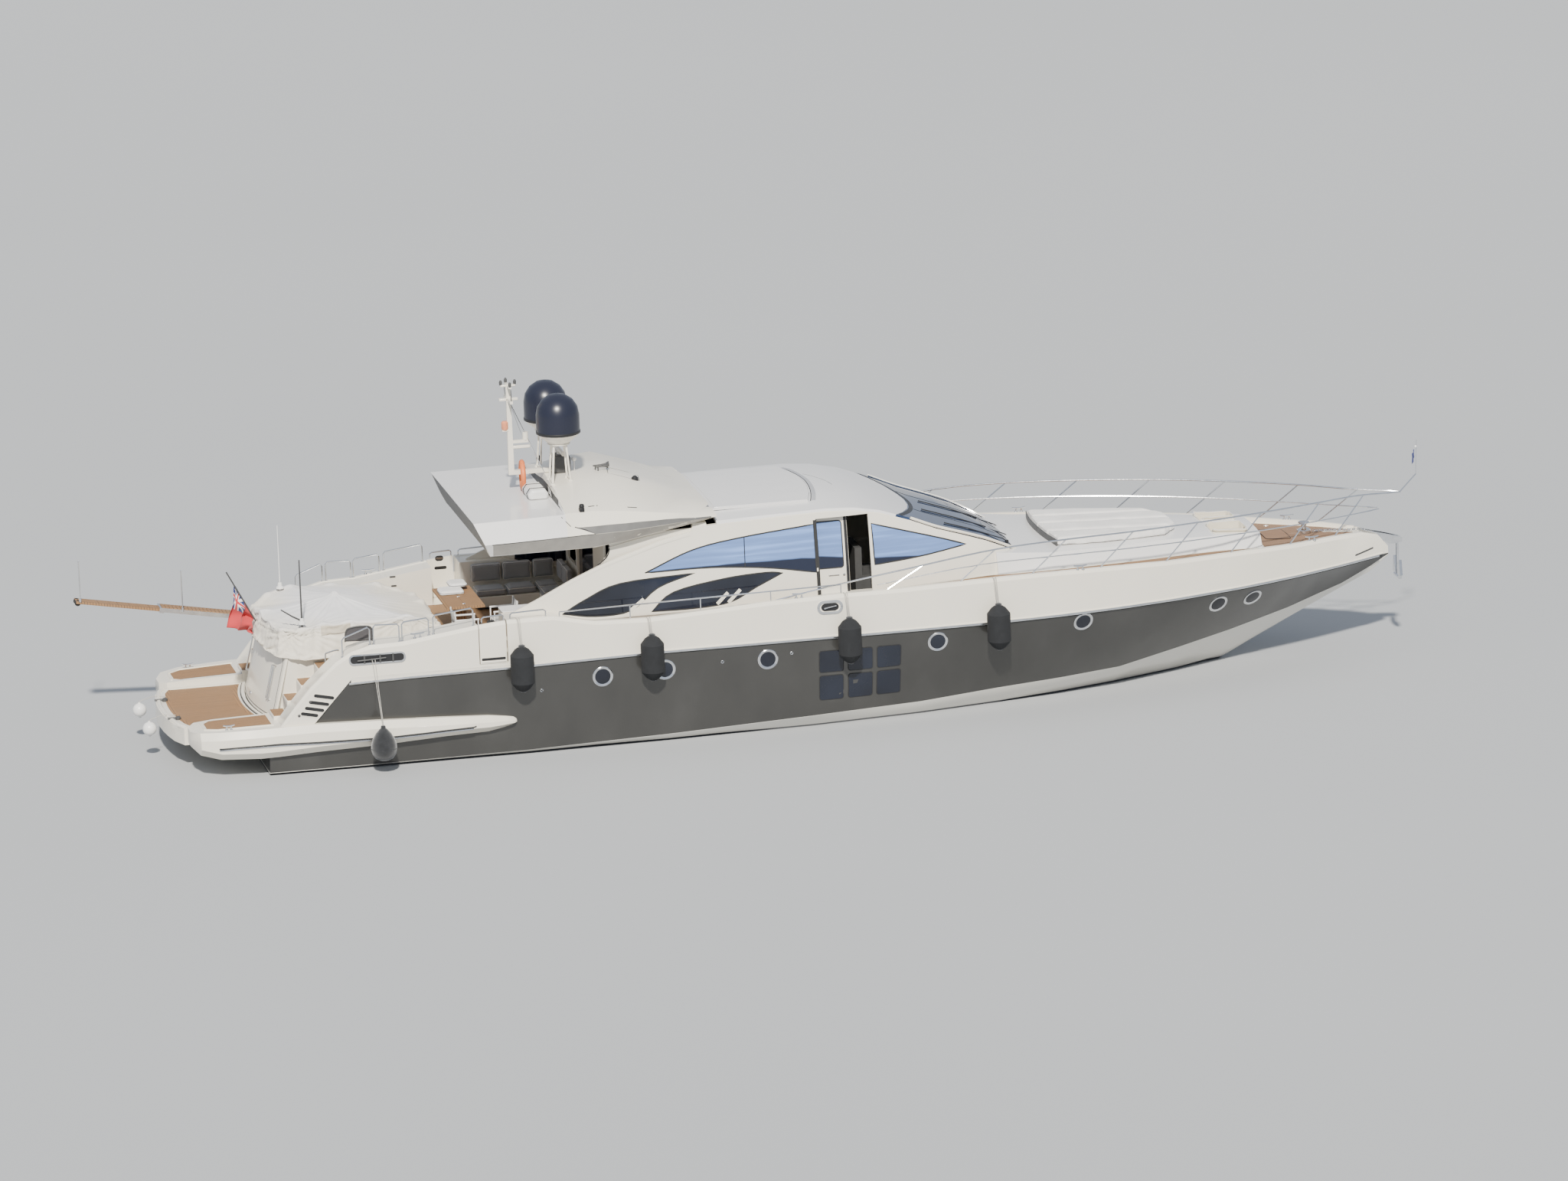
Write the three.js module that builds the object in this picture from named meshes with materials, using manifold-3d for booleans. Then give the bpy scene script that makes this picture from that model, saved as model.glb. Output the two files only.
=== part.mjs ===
// Motor yacht, afloat, in millimetres: +X to the bow, +Y to port, +Z up.
// The origin is on the centreline at the waterline, halfway along the hull.
import * as THREE from 'three';
import { mergeVertices } from 'three/addons/utils/BufferGeometryUtils.js';
import Module from 'manifold-3d';

const wasm = await Module();
wasm.setup();

// Driving dimensions
const GAP = 0.3;
const RUB_Z = 2000;
const HALF_BEAM = 3100;
const FULL_BEAM_X = 2000;
const BOW_X = 13350;
const STERN_X = -13350;
const TRANSOM_X = -11500;
const PLATFORM_TOP = 880;
const PLATFORM_HALF = 1700;
const LEDGE_Z = 700;
const WELL_HALF = 2350;
const SOLE_TOP = 2050;
const BULKHEAD_X = -4150;
const WALL = 55;
const DOOR_FRONT_X = 1500;
const DOOR_AFT_X = 350;
const DOOR_SHOWN_OPEN = 450;
const DOOR_TOP_Z = 4350;
const SIDES = { stb: -1, port: 1 };

const PAINT = {
  gelcoat: [0xe9e4d6, 0.25, 0.0],
  grey: [0x6d6c69, 0.3, 0.6],
  glass: [0x1b2a44, 0.08, 0.0],
  teak: [0xa9805a, 0.7, 0.0],
  steel: [0xc9cbcc, 0.2, 1.0],
  bronze: [0xa5803f, 0.35, 1.0],
  navy: [0x1a2130, 0.3, 0.0],
  rubber: [0x17181a, 0.8, 0.0],
  cloth: [0xe2ded3, 0.9, 0.0],
  mesh: [0x4d4d50, 0.9, 0.0],
  red: [0xb5282c, 0.9, 0.0],
};

const yacht = new THREE.Group();

// Solids, booleans and placing

function solidOf(geometry) {
  const bare = geometry.clone();
  bare.deleteAttribute('normal');
  bare.deleteAttribute('uv');
  const welded = mergeVertices(bare, 1e-3);
  const vertProperties = new Float32Array(welded.attributes.position.array);
  const triVerts = new Uint32Array(welded.index.array);
  return new wasm.Manifold(new wasm.Mesh({ numProp: 3, vertProperties, triVerts }));
}

function geometryOf(solid) {
  const pieces = solid.decompose().sort((a, b) => b.volume() - a.volume());
  const mesh = pieces[0].getMesh();
  const geometry = new THREE.BufferGeometry();
  geometry.setAttribute('position', new THREE.BufferAttribute(mesh.vertProperties, 3));
  geometry.setIndex(new THREE.BufferAttribute(mesh.triVerts, 1));
  geometry.computeVertexNormals();
  return geometry;
}

const joined = (...geometries) => geometries.map(solidOf).reduce((a, b) => a.add(b));
const cutBy = (solid, ...geometries) => geometries.map(solidOf).reduce((a, b) => a.subtract(b), solid);
const kept = (solid, geometry) => solid.intersect(solidOf(geometry));

function place(name, geometry, paint) {
  const [color, roughness, metalness] = PAINT[paint];
  const mesh = new THREE.Mesh(geometry, new THREE.MeshStandardMaterial({ color, roughness, metalness }));
  mesh.name = name;
  yacht.add(mesh);
  return mesh;
}

const placeSolid = (name, solid, paint) => place(name, geometryOf(solid), paint);

// Values of a table's columns at one station, straight between the rows

function stationAt(table, x) {
  if (x <= table[0][0]) return table[0];
  for (let i = 1; i < table.length; i += 1) {
    if (x <= table[i][0]) {
      const t = (x - table[i - 1][0]) / (table[i][0] - table[i - 1][0]);
      return table[i].map((value, k) => table[i - 1][k] + (value - table[i - 1][k]) * t);
    }
  }
  return table[table.length - 1];
}

// A closed solid through flat rings with the same number of points

function loft(rings, flat = (p) => [p[1], p[2]]) {
  const count = rings[0].length;
  const faces = [];
  for (let i = 0; i + 1 < rings.length; i += 1) {
    for (let j = 0; j < count; j += 1) {
      const a = i * count + j;
      const b = i * count + ((j + 1) % count);
      faces.push([a, b, b + count], [a, b + count, a + count]);
    }
  }
  for (const [ring, start, wanted] of [[rings[0], 0, -1], [rings.at(-1), (rings.length - 1) * count, 1]]) {
    const outline = ring.map((p) => new THREE.Vector2(...flat(p)));
    const turn = Math.sign(THREE.ShapeUtils.area(outline)) * wanted;
    for (const [a, b, c] of THREE.ShapeUtils.triangulateShape(outline, [])) {
      const sign = Math.sign(THREE.ShapeUtils.area([outline[a], outline[b], outline[c]]));
      faces.push(sign === turn ? [start + a, start + b, start + c] : [start + a, start + c, start + b]);
    }
  }
  const points = rings.flat();
  const corner = (k) => new THREE.Vector3(...points[k]);
  const volume = faces.reduce((sum, [a, b, c]) => sum + corner(a).dot(corner(b).cross(corner(c))), 0);
  const index = faces.map(([a, b, c]) => (volume > 0 ? [a, b, c] : [a, c, b])).flat();
  const geometry = new THREE.BufferGeometry();
  geometry.setAttribute('position', new THREE.Float32BufferAttribute(points.flat(), 3));
  geometry.setIndex(index);
  return geometry;
}

// A whole ring at one station from its port half, top centre first and bottom centre last

function mirroredRing(x, half) {
  const starboard = half.slice(1, -1).reverse().map(([y, z]) => [x, -y, z]);
  return [...half.map(([y, z]) => [x, y, z]), ...starboard];
}

// Prisms of a flat outline along one axis

const YZ_TO_XY = new THREE.Matrix4().set(0, 0, 1, 0, 1, 0, 0, 0, 0, 1, 0, 0, 0, 0, 0, 1);

function outlineShape(points) {
  return points instanceof THREE.Shape ? points : new THREE.Shape(points.map((p) => new THREE.Vector2(...p)));
}

function prismY(outline, y0, y1) {
  const options = { depth: y1 - y0, bevelEnabled: false, curveSegments: 6 };
  return new THREE.ExtrudeGeometry(outlineShape(outline), options).rotateX(Math.PI / 2).translate(0, y1, 0);
}

function prismZ(outline, z0, z1) {
  const options = { depth: z1 - z0, bevelEnabled: false, curveSegments: 6 };
  return new THREE.ExtrudeGeometry(outlineShape(outline), options).translate(0, 0, z0);
}

function prismX(outline, x0, x1) {
  const options = { depth: x1 - x0, bevelEnabled: false, curveSegments: 6 };
  return new THREE.ExtrudeGeometry(outlineShape(outline), options).applyMatrix4(YZ_TO_XY).translate(x0, 0, 0);
}

function box([x0, x1], [y0, y1], [z0, z1]) {
  const geometry = new THREE.BoxGeometry(x1 - x0, y1 - y0, z1 - z0);
  return geometry.translate((x0 + x1) / 2, (y0 + y1) / 2, (z0 + z1) / 2);
}

// Round bars, tubes along a curve and turned shapes

function rod(from, to, radius, sides = 8, endRadius = radius) {
  const a = new THREE.Vector3(...from);
  const b = new THREE.Vector3(...to);
  const along = b.clone().sub(a);
  const geometry = new THREE.CylinderGeometry(endRadius, radius, along.length(), sides);
  const turn = new THREE.Quaternion().setFromUnitVectors(new THREE.Vector3(0, 1, 0), along.normalize());
  const middle = a.add(b).multiplyScalar(0.5);
  return geometry.applyQuaternion(turn).translate(middle.x, middle.y, middle.z);
}

function tube(points, radius, steps, sides = 8) {
  const path = new THREE.CatmullRomCurve3(points.map((p) => new THREE.Vector3(...p)), false, 'centripetal');
  const section = new THREE.Shape();
  for (let i = 0; i < sides; i += 1) {
    const angle = (2 * Math.PI * i) / sides;
    const corner = [radius * Math.cos(angle), radius * Math.sin(angle)];
    if (i === 0) section.moveTo(...corner);
    else section.lineTo(...corner);
  }
  return new THREE.ExtrudeGeometry(section, { steps, extrudePath: path });
}

function turned(profile, sides = 24) {
  const points = profile.map(([r, z]) => new THREE.Vector2(r, z));
  return new THREE.LatheGeometry(points, sides).rotateX(Math.PI / 2);
}

function spline(points, samples) {
  return new THREE.SplineCurve(points.map((p) => new THREE.Vector2(...p))).getPoints(samples);
}

const mirroredY = (points) => points.map(([x, y, z]) => [x, -y, z]);

// Hull below the rub line: its half beam fills out aft of the bow and closes on the stem

function rubHalf(x) {
  const forward = Math.max(0, (x - FULL_BEAM_X) / (BOW_X - FULL_BEAM_X));
  const aft = Math.max(0, (-6000 - x) / 5500);
  return Math.max(30, HALF_BEAM * (1 - forward ** 2.4) - 130 * aft ** 1.5);
}

// Columns: station, keel height, lower knuckle half beam and height, chine half beam and height
const HULL_STATIONS = [
  [TRANSOM_X, -830, 2500, -80, 2860, 60],
  [-9700, -900, 2560, -80, 2900, 70],
  [-6000, -1020, 2600, -90, 2960, 110],
  [-3000, -1110, 2620, -80, 2960, 180],
  [0, -1150, 2600, -40, 2900, 280],
  [2400, -1080, 2380, 0, 2720, 340],
  [4100, -950, 2060, 0, 2500, 430],
  [5500, -780, 1700, 0, 2250, 450],
  [6900, -560, 1240, 0, 1900, 500],
  [8300, -290, 680, 20, 1450, 690],
  [9560, 0, 250, 160, 960, 850],
  [10300, 370, 190, 480, 640, 960],
  [11040, 730, 120, 810, 300, 1060],
  [11600, 1000, 60, 1060, 110, 1150],
  [12300, 1330, 40, 1380, 70, 1430],
  [12920, 1610, 30, 1650, 50, 1690],
  [BOW_X, 1940, 20, 1955, 25, 1970],
];

// The raked line that the grey hull ends on at the stern, and the ledge under the platform
const STERN_LINE = [[-9700, RUB_Z], [-10590, 1030], [-10900, LEDGE_Z], [TRANSOM_X, LEDGE_Z]];
const WELL_LINE = [[-9650, RUB_Z], [-9650, 1700], [-10900, LEDGE_Z]];

function hullSolid(grow) {
  const rings = HULL_STATIONS.map(([x, keel, lowHalf, lowZ, chineHalf, chineZ]) => mirroredRing(x, [
    [0, RUB_Z + grow],
    [rubHalf(x) + grow, RUB_Z + grow],
    [chineHalf + grow, chineZ],
    [lowHalf + grow, lowZ - grow],
    [0, keel - grow],
  ]));
  const above = [...STERN_LINE.map(([x, z]) => [x, z + grow]), [TRANSOM_X - 100, LEDGE_Z + grow]];
  const cut = prismY([...above, [TRANSOM_X - 100, 2200], [-9700, 2200]], -3300, 3300);
  const floor = WELL_LINE.map(([x, z]) => [x, z + grow]);
  const well = prismY([...floor, [-10900, 2200], [-9650, 2200]], -WELL_HALF, WELL_HALF);
  return cutBy(solidOf(loft(rings)), cut, well);
}

// Flat-faced bosses under the hull that the rudder stocks turn against
const RUDDER = { x: -10550, y: 1250, bossZ: -640, footZ: -1500 };
const bosses = Object.values(SIDES).map((side) => rod(
  [RUDDER.x, side * RUDDER.y, -300],
  [RUDDER.x, side * RUDDER.y, RUDDER.bossZ],
  90,
  16,
));
// The hull is built in two lengths that meet at the forward end of the well
const HULL_JOINT_X = WELL_LINE[0][0];
const wholeHull = hullSolid(0).add(solidOf(bosses[0])).add(solidOf(bosses[1]));
const hullLength = (from, to) => box([from, to], [-4000, 4000], [-2000, 3000]);
placeSolid('hull', kept(wholeHull, hullLength(HULL_JOINT_X, BOW_X + 100)), 'grey');
placeSolid('hull_stern', kept(wholeHull, hullLength(TRANSOM_X - 100, HULL_JOINT_X - GAP)), 'grey');

// White topsides: bulwarks and side decks above the rub line, with the stern quarters
// Columns: station, gunwale height, depth of the deck below the gunwale
const TOPSIDE_STATIONS = [
  [-11240, 1060, 15],
  [-10900, 1480, 15],
  [-10590, 1830, 15],
  [-10040, 2330, 15],
  [-9700, 2530, 15],
  [-9300, 2640, 15],
  [-8630, 2660, 15],
  [-7070, 2880, 15],
  [-6410, 2940, 15],
  [-5450, 2940, 15],
  [-4570, 2760, 100],
  [-3450, 2720, 150],
  [-940, 2850, 170],
  [730, 2890, 170],
  [2000, 2890, 170],
  [3900, 2930, 170],
  [4840, 2930, 160],
  [6340, 2890, 150],
  [7850, 2820, 130],
  [9600, 2760, 120],
  [10940, 2680, 110],
  [12000, 2640, 100],
  [12670, 2580, 80],
  [13100, 2440, 40],
  [BOW_X, 2150, 10],
];

function sternLineZ(x) {
  return stationAt([...STERN_LINE].reverse(), x)[1];
}

function topsideRing(x, gunwale, drop, lift, spread) {
  const half = rubHalf(x) + spread;
  const base = (x < -9700 ? sternLineZ(x) : RUB_Z) + GAP;
  const insets = [[70, 0.2], [170, 0.5], [190, 0.6]];
  const [lip, inner, deck] = insets.map(([widest, share]) => half - Math.min(widest, half * share));
  return mirroredRing(x, [
    [0, gunwale - drop + (drop > 15 ? 40 : 0) + lift],
    [deck, gunwale - drop + lift],
    [inner, gunwale + lift],
    [lip, gunwale + lift],
    [half - 10, gunwale - Math.min(70, (gunwale - base) / 3) + lift],
    [half, base],
    [0, base],
  ]);
}

function topsideLoft(lift, spread = 0) {
  return loft(TOPSIDE_STATIONS.map(([x, gunwale, drop]) => topsideRing(x, gunwale, drop, lift, spread)));
}

// The cabin: columns are station, half width at the deck, roof edge half width and height, centre height
const CABIN_STATIONS = [
  [-6300, 2600, 2400, 4350, 4480],
  [-4300, 2590, 2380, 4420, 4560],
  [-2000, 2570, 2330, 4480, 4640],
  [-700, 2540, 2290, 4510, 4660],
  [600, 2490, 2230, 4530, 4660],
  [1200, 2440, 2190, 4490, 4590],
  [1760, 2400, 2140, 4380, 4450],
  [2440, 2330, 2080, 4140, 4200],
  [3000, 2260, 2020, 3900, 3960],
  [3640, 2160, 1930, 3680, 3730],
  [4100, 2060, 1840, 3510, 3560],
  [4600, 1850, 1650, 3270, 3330],
  [5000, 1500, 1350, 3030, 3100],
  [5250, 1000, 900, 2890, 2930],
];
const CABIN_FOOT = 2500;

function cabinHalf(x, z) {
  const [, foot, edge, edgeZ] = stationAt(CABIN_STATIONS, x);
  const rise = Math.max(0, z - 2700) / (edgeZ - 2700);
  return foot + (edge - foot) * Math.min(1, rise) ** 1.4;
}

function cabinLoft(inset) {
  const rings = CABIN_STATIONS.map(([x, foot, edge, edgeZ, centreZ]) => {
    const level = (share) => 2700 + (edgeZ - 2700) * share;
    return mirroredRing(x, [
      [0, centreZ - inset],
      [edge * 0.55, centreZ - (centreZ - edgeZ) * 0.3 - inset],
      [edge - 60 - inset, edgeZ + 5 - inset],
      [edge - inset, edgeZ - 60 - inset],
      [cabinHalf(x, level(0.66)) - inset, level(0.66)],
      [cabinHalf(x, level(0.33)) - inset, level(0.33)],
      [foot - inset, 2700],
      [foot - inset, CABIN_FOOT],
      [0, CABIN_FOOT],
    ]);
  });
  return loft(rings);
}

const wells = [
  box([-11300, BULKHEAD_X], [-WELL_HALF, WELL_HALF], [600, 3200]),
  prismZ([
    [BULKHEAD_X - 100, -2200], [2000, -2150], [3600, -1850], [4300, -1400],
    [4300, 1400], [3600, 1850], [2000, 2150], [BULKHEAD_X - 100, 2200],
  ], RUB_Z - 100, 3200),
];

// Passages through the bulwarks that the two boarding doors close
const GATE = { x: [-7040, -6430], z: [SOLE_TOP, 3000] };
const gates = Object.values(SIDES).map((side) => {
  const ys = [side * 2300, side * 3200].sort((a, b) => a - b);
  return box(GATE.x, ys, GATE.z);
});

// The gangway turns on a round-headed bracket that stands on the port quarter
const GANGWAY = { y: 2660, pivotX: -10520, pivotZ: 1985, rise: 0.1765, half: 210, frame: 2400, reach: 4185 };
const GANGWAY_PIN = GANGWAY.half - 40 - GAP;
const gangwayBracket = joined(
  box(
    [GANGWAY.pivotX + 50, GANGWAY.pivotX + 330],
    [GANGWAY.y - 150, GANGWAY.y + 150],
    [GANGWAY.pivotZ - 240, GANGWAY.pivotZ + 50],
  ),
  box(
    [GANGWAY.pivotX - 20, GANGWAY.pivotX + 100],
    [GANGWAY.y - 90, GANGWAY.y + 90],
    [GANGWAY.pivotZ - 200, GANGWAY.pivotZ + 40],
  ),
  rod(
    [GANGWAY.pivotX, GANGWAY.y - GANGWAY_PIN, GANGWAY.pivotZ],
    [GANGWAY.pivotX, GANGWAY.y + GANGWAY_PIN, GANGWAY.pivotZ],
    15,
    12,
  ),
);

// Hinge line of each boarding door: pins on the bulwark above and below a knuckle on the door
const GATE_HINGE = { x: GATE.x[1] - 15, y: 2975, radius: 12, low: 2330, high: 2500, tail: 80 };
function gateKnuckle(side, low, high, toX) {
  const { x, radius } = GATE_HINGE;
  const y = side * GATE_HINGE.y;
  const lug = box([Math.min(x, toX), Math.max(x, toX)], [y - 9, y + 9].map((v) => v + side * 5), [low, high]);
  return joined(rod([x, y, low], [x, y, high], radius, 12), lug);
}
const gatePins = Object.values(SIDES).flatMap((side) => [
  gateKnuckle(side, GATE_HINGE.low - GATE_HINGE.tail, GATE_HINGE.low - GAP, GATE.x[1] + 5),
  gateKnuckle(side, GATE_HINGE.high + GAP, GATE_HINGE.high + GATE_HINGE.tail, GATE.x[1] + 5),
]);

// Runners that carry the sliding side doors
const DOOR_RUN = { aft: DOOR_AFT_X - 40 - 1150, y: [2285, 2310], foot: 2735 };
const doorRunners = Object.values(SIDES).map((side) => {
  const ys = DOOR_RUN.y.map((y) => side * y).sort((a, b) => a - b);
  return solidOf(box([DOOR_RUN.aft, DOOR_FRONT_X - 20], ys, [2600, DOOR_RUN.foot - GAP]));
});
const topsides = [gangwayBracket, ...gatePins, ...doorRunners].reduce(
  (sum, piece) => sum.add(piece),
  cutBy(solidOf(topsideLoft(0)), ...wells, ...gates),
);
placeSolid('topsides', topsides, 'gelcoat');

// Boarding doors in the bulwarks
for (const [name, side] of Object.entries(SIDES)) {
  const ys = [side * 2980, side * 3200].sort((a, b) => a - b);
  const inside = box([GATE.x[0] + 20, GATE_HINGE.x - 15], ys, [GATE.z[0] + 8, 3000]);
  const knuckle = gateKnuckle(side, GATE_HINGE.low, GATE_HINGE.high, GATE_HINGE.x - 20);
  placeSolid(`bulwark_door_${name}`, kept(solidOf(topsideLoft(0)), inside).add(knuckle), 'gelcoat');
}

// Cockpit sole with the cabinet that is moulded on it
const SOLE_HALF = WELL_HALF - 2;
placeSolid('cockpit_sole', joined(
  box([-9640, BULKHEAD_X - 10], [-SOLE_HALF, SOLE_HALF], [RUB_Z + GAP, SOLE_TOP]),
  box([-6380, -5700], [-2335, -1850], [SOLE_TOP - 10, 2930]),
), 'teak');

// Hardtop over the cockpit
// Columns: station, centre top, shoulder top, edge half width and top, knuckle half width and height, bottom
const HARDTOP_STATIONS = [
  [-6950, 4930, 4930, 2480, 4910, 2700, 4480, 4200],
  [-5600, 4950, 4950, 2470, 4930, 2690, 4500, 4200],
  [-5020, 4960, 4960, 2450, 4940, 2680, 4510, 4200],
  [-4960, 5300, 5180, 2420, 4950, 2680, 4510, 4200],
  [-4400, 5310, 5310, 2380, 4950, 2660, 4520, 4200],
  [-3730, 5320, 5370, 2350, 4890, 2640, 4530, 4280],
  [-3120, 5150, 5180, 2340, 4810, 2600, 4560, 4380],
  [-2240, 4790, 4830, 2320, 4700, 2500, 4610, 4500],
  [-1760, 4700, 4710, 2300, 4640, 2340, 4600, 4560],
];
const CEILING = [[-7100, 4080], [-6300, 4330], [-4250, 4370], [-1600, 4440], [-1600, 4000], [-7100, 4000]];
const ceilingCut = prismY(CEILING, -2380, 2380);
const AFT_RAKE = [[-7100, 5000], [-6950, 4930], [-6600, 4150], [-6600, 4000], [-7100, 4000]];
const sternRake = prismY(AFT_RAKE, -3000, 3000);
const SUNROOF = { half: 1650, tail: -2900, top: 4655, foot: 4568 };
const roofPocket = box([-4700, -1500], [-1760, 1760], [4540, 4690]);
const roofRunners = [-1480, -600, 600, 1480].map((y) => (
  box([-4600, -1780], [y - 15, y + 15], [4520, SUNROOF.foot - GAP])
));
const hardtopRings = HARDTOP_STATIONS.map(([x, centre, shoulder, edge, edgeZ, knuckle, knuckleZ, bottom]) => {
  const foot = knuckle - 160;
  return mirroredRing(x, [
    [0, centre], [1250, shoulder], [edge, edgeZ], [knuckle, knuckleZ], [foot, bottom], [0, bottom],
  ]);
});
const hardtopShell = cutBy(solidOf(loft(hardtopRings)), ceilingCut, sternRake, roofPocket);
const hardtop = hardtopShell.add(joined(...roofRunners));
placeSolid('hardtop', hardtop, 'gelcoat');

// Cabin shell split at its panels
const ARC_TAIL = [[-5720, 3180], [-4900, 3560], [-4250, 3820], [-3000, 4190]];
const browStations = CABIN_STATIONS.filter(([x]) => x > -1500);
const BROW = [[-1980, 4420], ...browStations.map(([x, , , edgeZ]) => [x, edgeZ - 40])];
const HARDTOP_SEAT = [[-2320, 4340], [-2220, 4600], [-1990, 4600]];
const sideOutline = [
  [-6250, CABIN_FOOT - 20],
  [-6250, 2960],
  ...ARC_TAIL,
  ...HARDTOP_SEAT,
  ...BROW,
  [5300, 2800],
  [5300, CABIN_FOOT - 20],
];

function leaf(start, over, end, under) {
  const shape = new THREE.Shape();
  shape.moveTo(...start);
  spline([start, ...over, end], 12).slice(1).forEach((p) => shape.lineTo(p.x, p.y));
  spline([end, ...under, start], 12).slice(1, -1).forEach((p) => shape.lineTo(p.x, p.y));
  return shape;
}

const aftWindow = new THREE.Shape();
aftWindow.moveTo(-3360, 3560);
spline([[-3360, 3560], [-2330, 3950], [-1250, 4120], [310, 4250]], 14).slice(1)
  .forEach((p) => aftWindow.lineTo(p.x, p.y));
spline([[310, 3250], [-760, 3440], [-1950, 3550], [-3360, 3560]], 10).slice(0, -1)
  .forEach((p) => aftWindow.lineTo(p.x, p.y));
const forwardWindow = new THREE.Shape();
forwardWindow.moveTo(1580, 3280);
forwardWindow.lineTo(1560, 4140);
spline([[1560, 4140], [2440, 3870], [3100, 3660], [3640, 3470]], 8).slice(1)
  .forEach((p) => forwardWindow.lineTo(p.x, p.y));
spline([[3640, 3470], [2590, 3350], [1580, 3280]], 6).slice(1, -1)
  .forEach((p) => forwardWindow.lineTo(p.x, p.y));
const gills = [
  leaf(
    [-5170, 2850],
    [[-4650, 3120], [-3900, 3390]],
    [-2300, 3470],
    [[-3100, 3230], [-3700, 2800], [-4450, 2740]],
  ),
  leaf(
    [-3270, 2740],
    [[-2780, 3110], [-1700, 3300], [-790, 3350]],
    [-420, 3310],
    [[-1000, 3060], [-1560, 2800], [-2300, 2730]],
  ),
];

const shellSolid = solidOf(cabinLoft(0)).subtract(solidOf(cabinLoft(WALL)));
const deckCut = solidOf(topsideLoft(GAP));
const hardtopRoom = hardtop.translate([0, 0, -GAP]);
for (const [name, side] of Object.entries(SIDES)) {
  const ys = side < 0 ? [-3300, -GAP] : [GAP, 3300];
  const doorway = box([DOOR_AFT_X, DOOR_FRONT_X], ys, [CABIN_FOOT - 50, DOOR_TOP_Z]);
  const windows = [aftWindow, forwardWindow, ...gills].map((outline) => prismY(outline, ...ys));
  const panel = kept(shellSolid, prismY(sideOutline, ...ys)).subtract(deckCut).subtract(hardtopRoom);
  const openAft = box([-6400, BULKHEAD_X - 400], ys, [CABIN_FOOT - 50, 2600]);
  placeSolid(`cabin_side_${name}`, cutBy(panel, doorway, openAft, ...windows), 'gelcoat');
}

// Glazing behind the window openings, sealed against the inner face of the side panels
const GLASS = 12;
const glazing = solidOf(cabinLoft(WALL + GAP)).subtract(solidOf(cabinLoft(WALL + GAP + GLASS)));
const PANES = {
  aft_side_glass: [
    [-5200, 2790], [-3200, 2690], [330, 2790], [330, 4330],
    [-1200, 4200], [-2450, 4000], [-3600, 3600], [-5200, 2960],
  ],
  forward_side_glass: [[1530, 3200], [3750, 3380], [3750, 3540], [2450, 3950], [1530, 4220]],
};

// Roof, sunroof and windscreen
const ROOF_AFT_X = HARDTOP_STATIONS.at(-1)[0] + GAP;
const screenEdge = [-1, -0.75, -0.5, -0.25, 0, 0.25, 0.5, 0.75, 1].map((t) => [2760 - 680 * t * t, 2150 * t]);
const aboveBrow = prismY([
  ...BROW.map(([x, z]) => [x, z + GAP]), [5300, 2850], [5400, 2850], [5400, 5000], [-1980, 5000],
], -3000, 3000);
const roofPlan = prismZ([[ROOF_AFT_X, -2600], ...screenEdge, [ROOF_AFT_X, 2600]], 4000, 5000);
const screenFront = [[2080, 2600], [5400, 2600], [5400, -2600], [2080, -2600]];
const screenPlan = prismZ([...screenEdge.map(([x, y]) => [x + GAP, y]), ...screenFront], 2800, 5000);

const sunroofFront = [-1, -0.6, -0.2, 0.2, 0.6, 1].map((t) => [600 - 250 * t * t, SUNROOF.half * t]);
const sunroofPlan = (grow) => [
  [SUNROOF.tail - grow, -600 - grow],
  [ROOF_AFT_X - 60, -SUNROOF.half - grow],
  ...sunroofFront.map(([x, y]) => [x + grow, y + Math.sign(y) * grow]),
  [ROOF_AFT_X - 60, SUNROOF.half + grow],
  [SUNROOF.tail - grow, 600 + grow],
];
const cabinUpper = kept(shellSolid, aboveBrow);
const aperture = prismZ(sunroofPlan(6), 4400, 5000);
placeSolid('cabin_roof', cutBy(kept(cabinUpper, roofPlan), aperture), 'gelcoat');
const screenShell = solidOf(cabinLoft(0)).subtract(solidOf(cabinLoft(18)));
placeSolid('windscreen', kept(kept(screenShell, aboveBrow), screenPlan), 'glass');

const sunroofCrown = [-1, -0.6, -0.2, 0.2, 0.6, 1].map((t) => [t * 1700, SUNROOF.top - 42 * t * t]);
const sunroofSlab = prismX([...sunroofCrown, [1700, SUNROOF.foot], [-1700, SUNROOF.foot]], -3000, 700);
placeSolid('sunroof_panel', kept(solidOf(sunroofSlab), prismZ(sunroofPlan(0), 4400, 5000)), 'gelcoat');

// Side glazing and the sliding side doors
for (const [name, side] of Object.entries(SIDES)) {
  const ys = side < 0 ? [-3300, -10] : [10, 3300];
  const doorInner = 2275;
  const doorOuter = 2320;
  const lean = (z) => cabinHalf(DOOR_FRONT_X, z) - cabinHalf(DOOR_FRONT_X, 2700);
  const heights = [2735, 3270, 3800, 4330];
  const face = (offset) => heights.map((z) => [side * (offset + lean(z)), z]);
  const section = [...face(doorOuter), ...face(doorInner).reverse()];
  const doorX = [DOOR_AFT_X - 40 - DOOR_SHOWN_OPEN, DOOR_FRONT_X - DOOR_SHOWN_OPEN];
  place(`side_door_${name}`, prismX(side > 0 ? section.reverse() : section, ...doorX), 'gelcoat');
  for (const [pane, outline] of Object.entries(PANES)) {
    const glass = kept(glazing, prismY(outline, ...ys)).subtract(deckCut);
    placeSolid(`${pane}_${name}`, glass, 'glass');
  }
}

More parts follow.
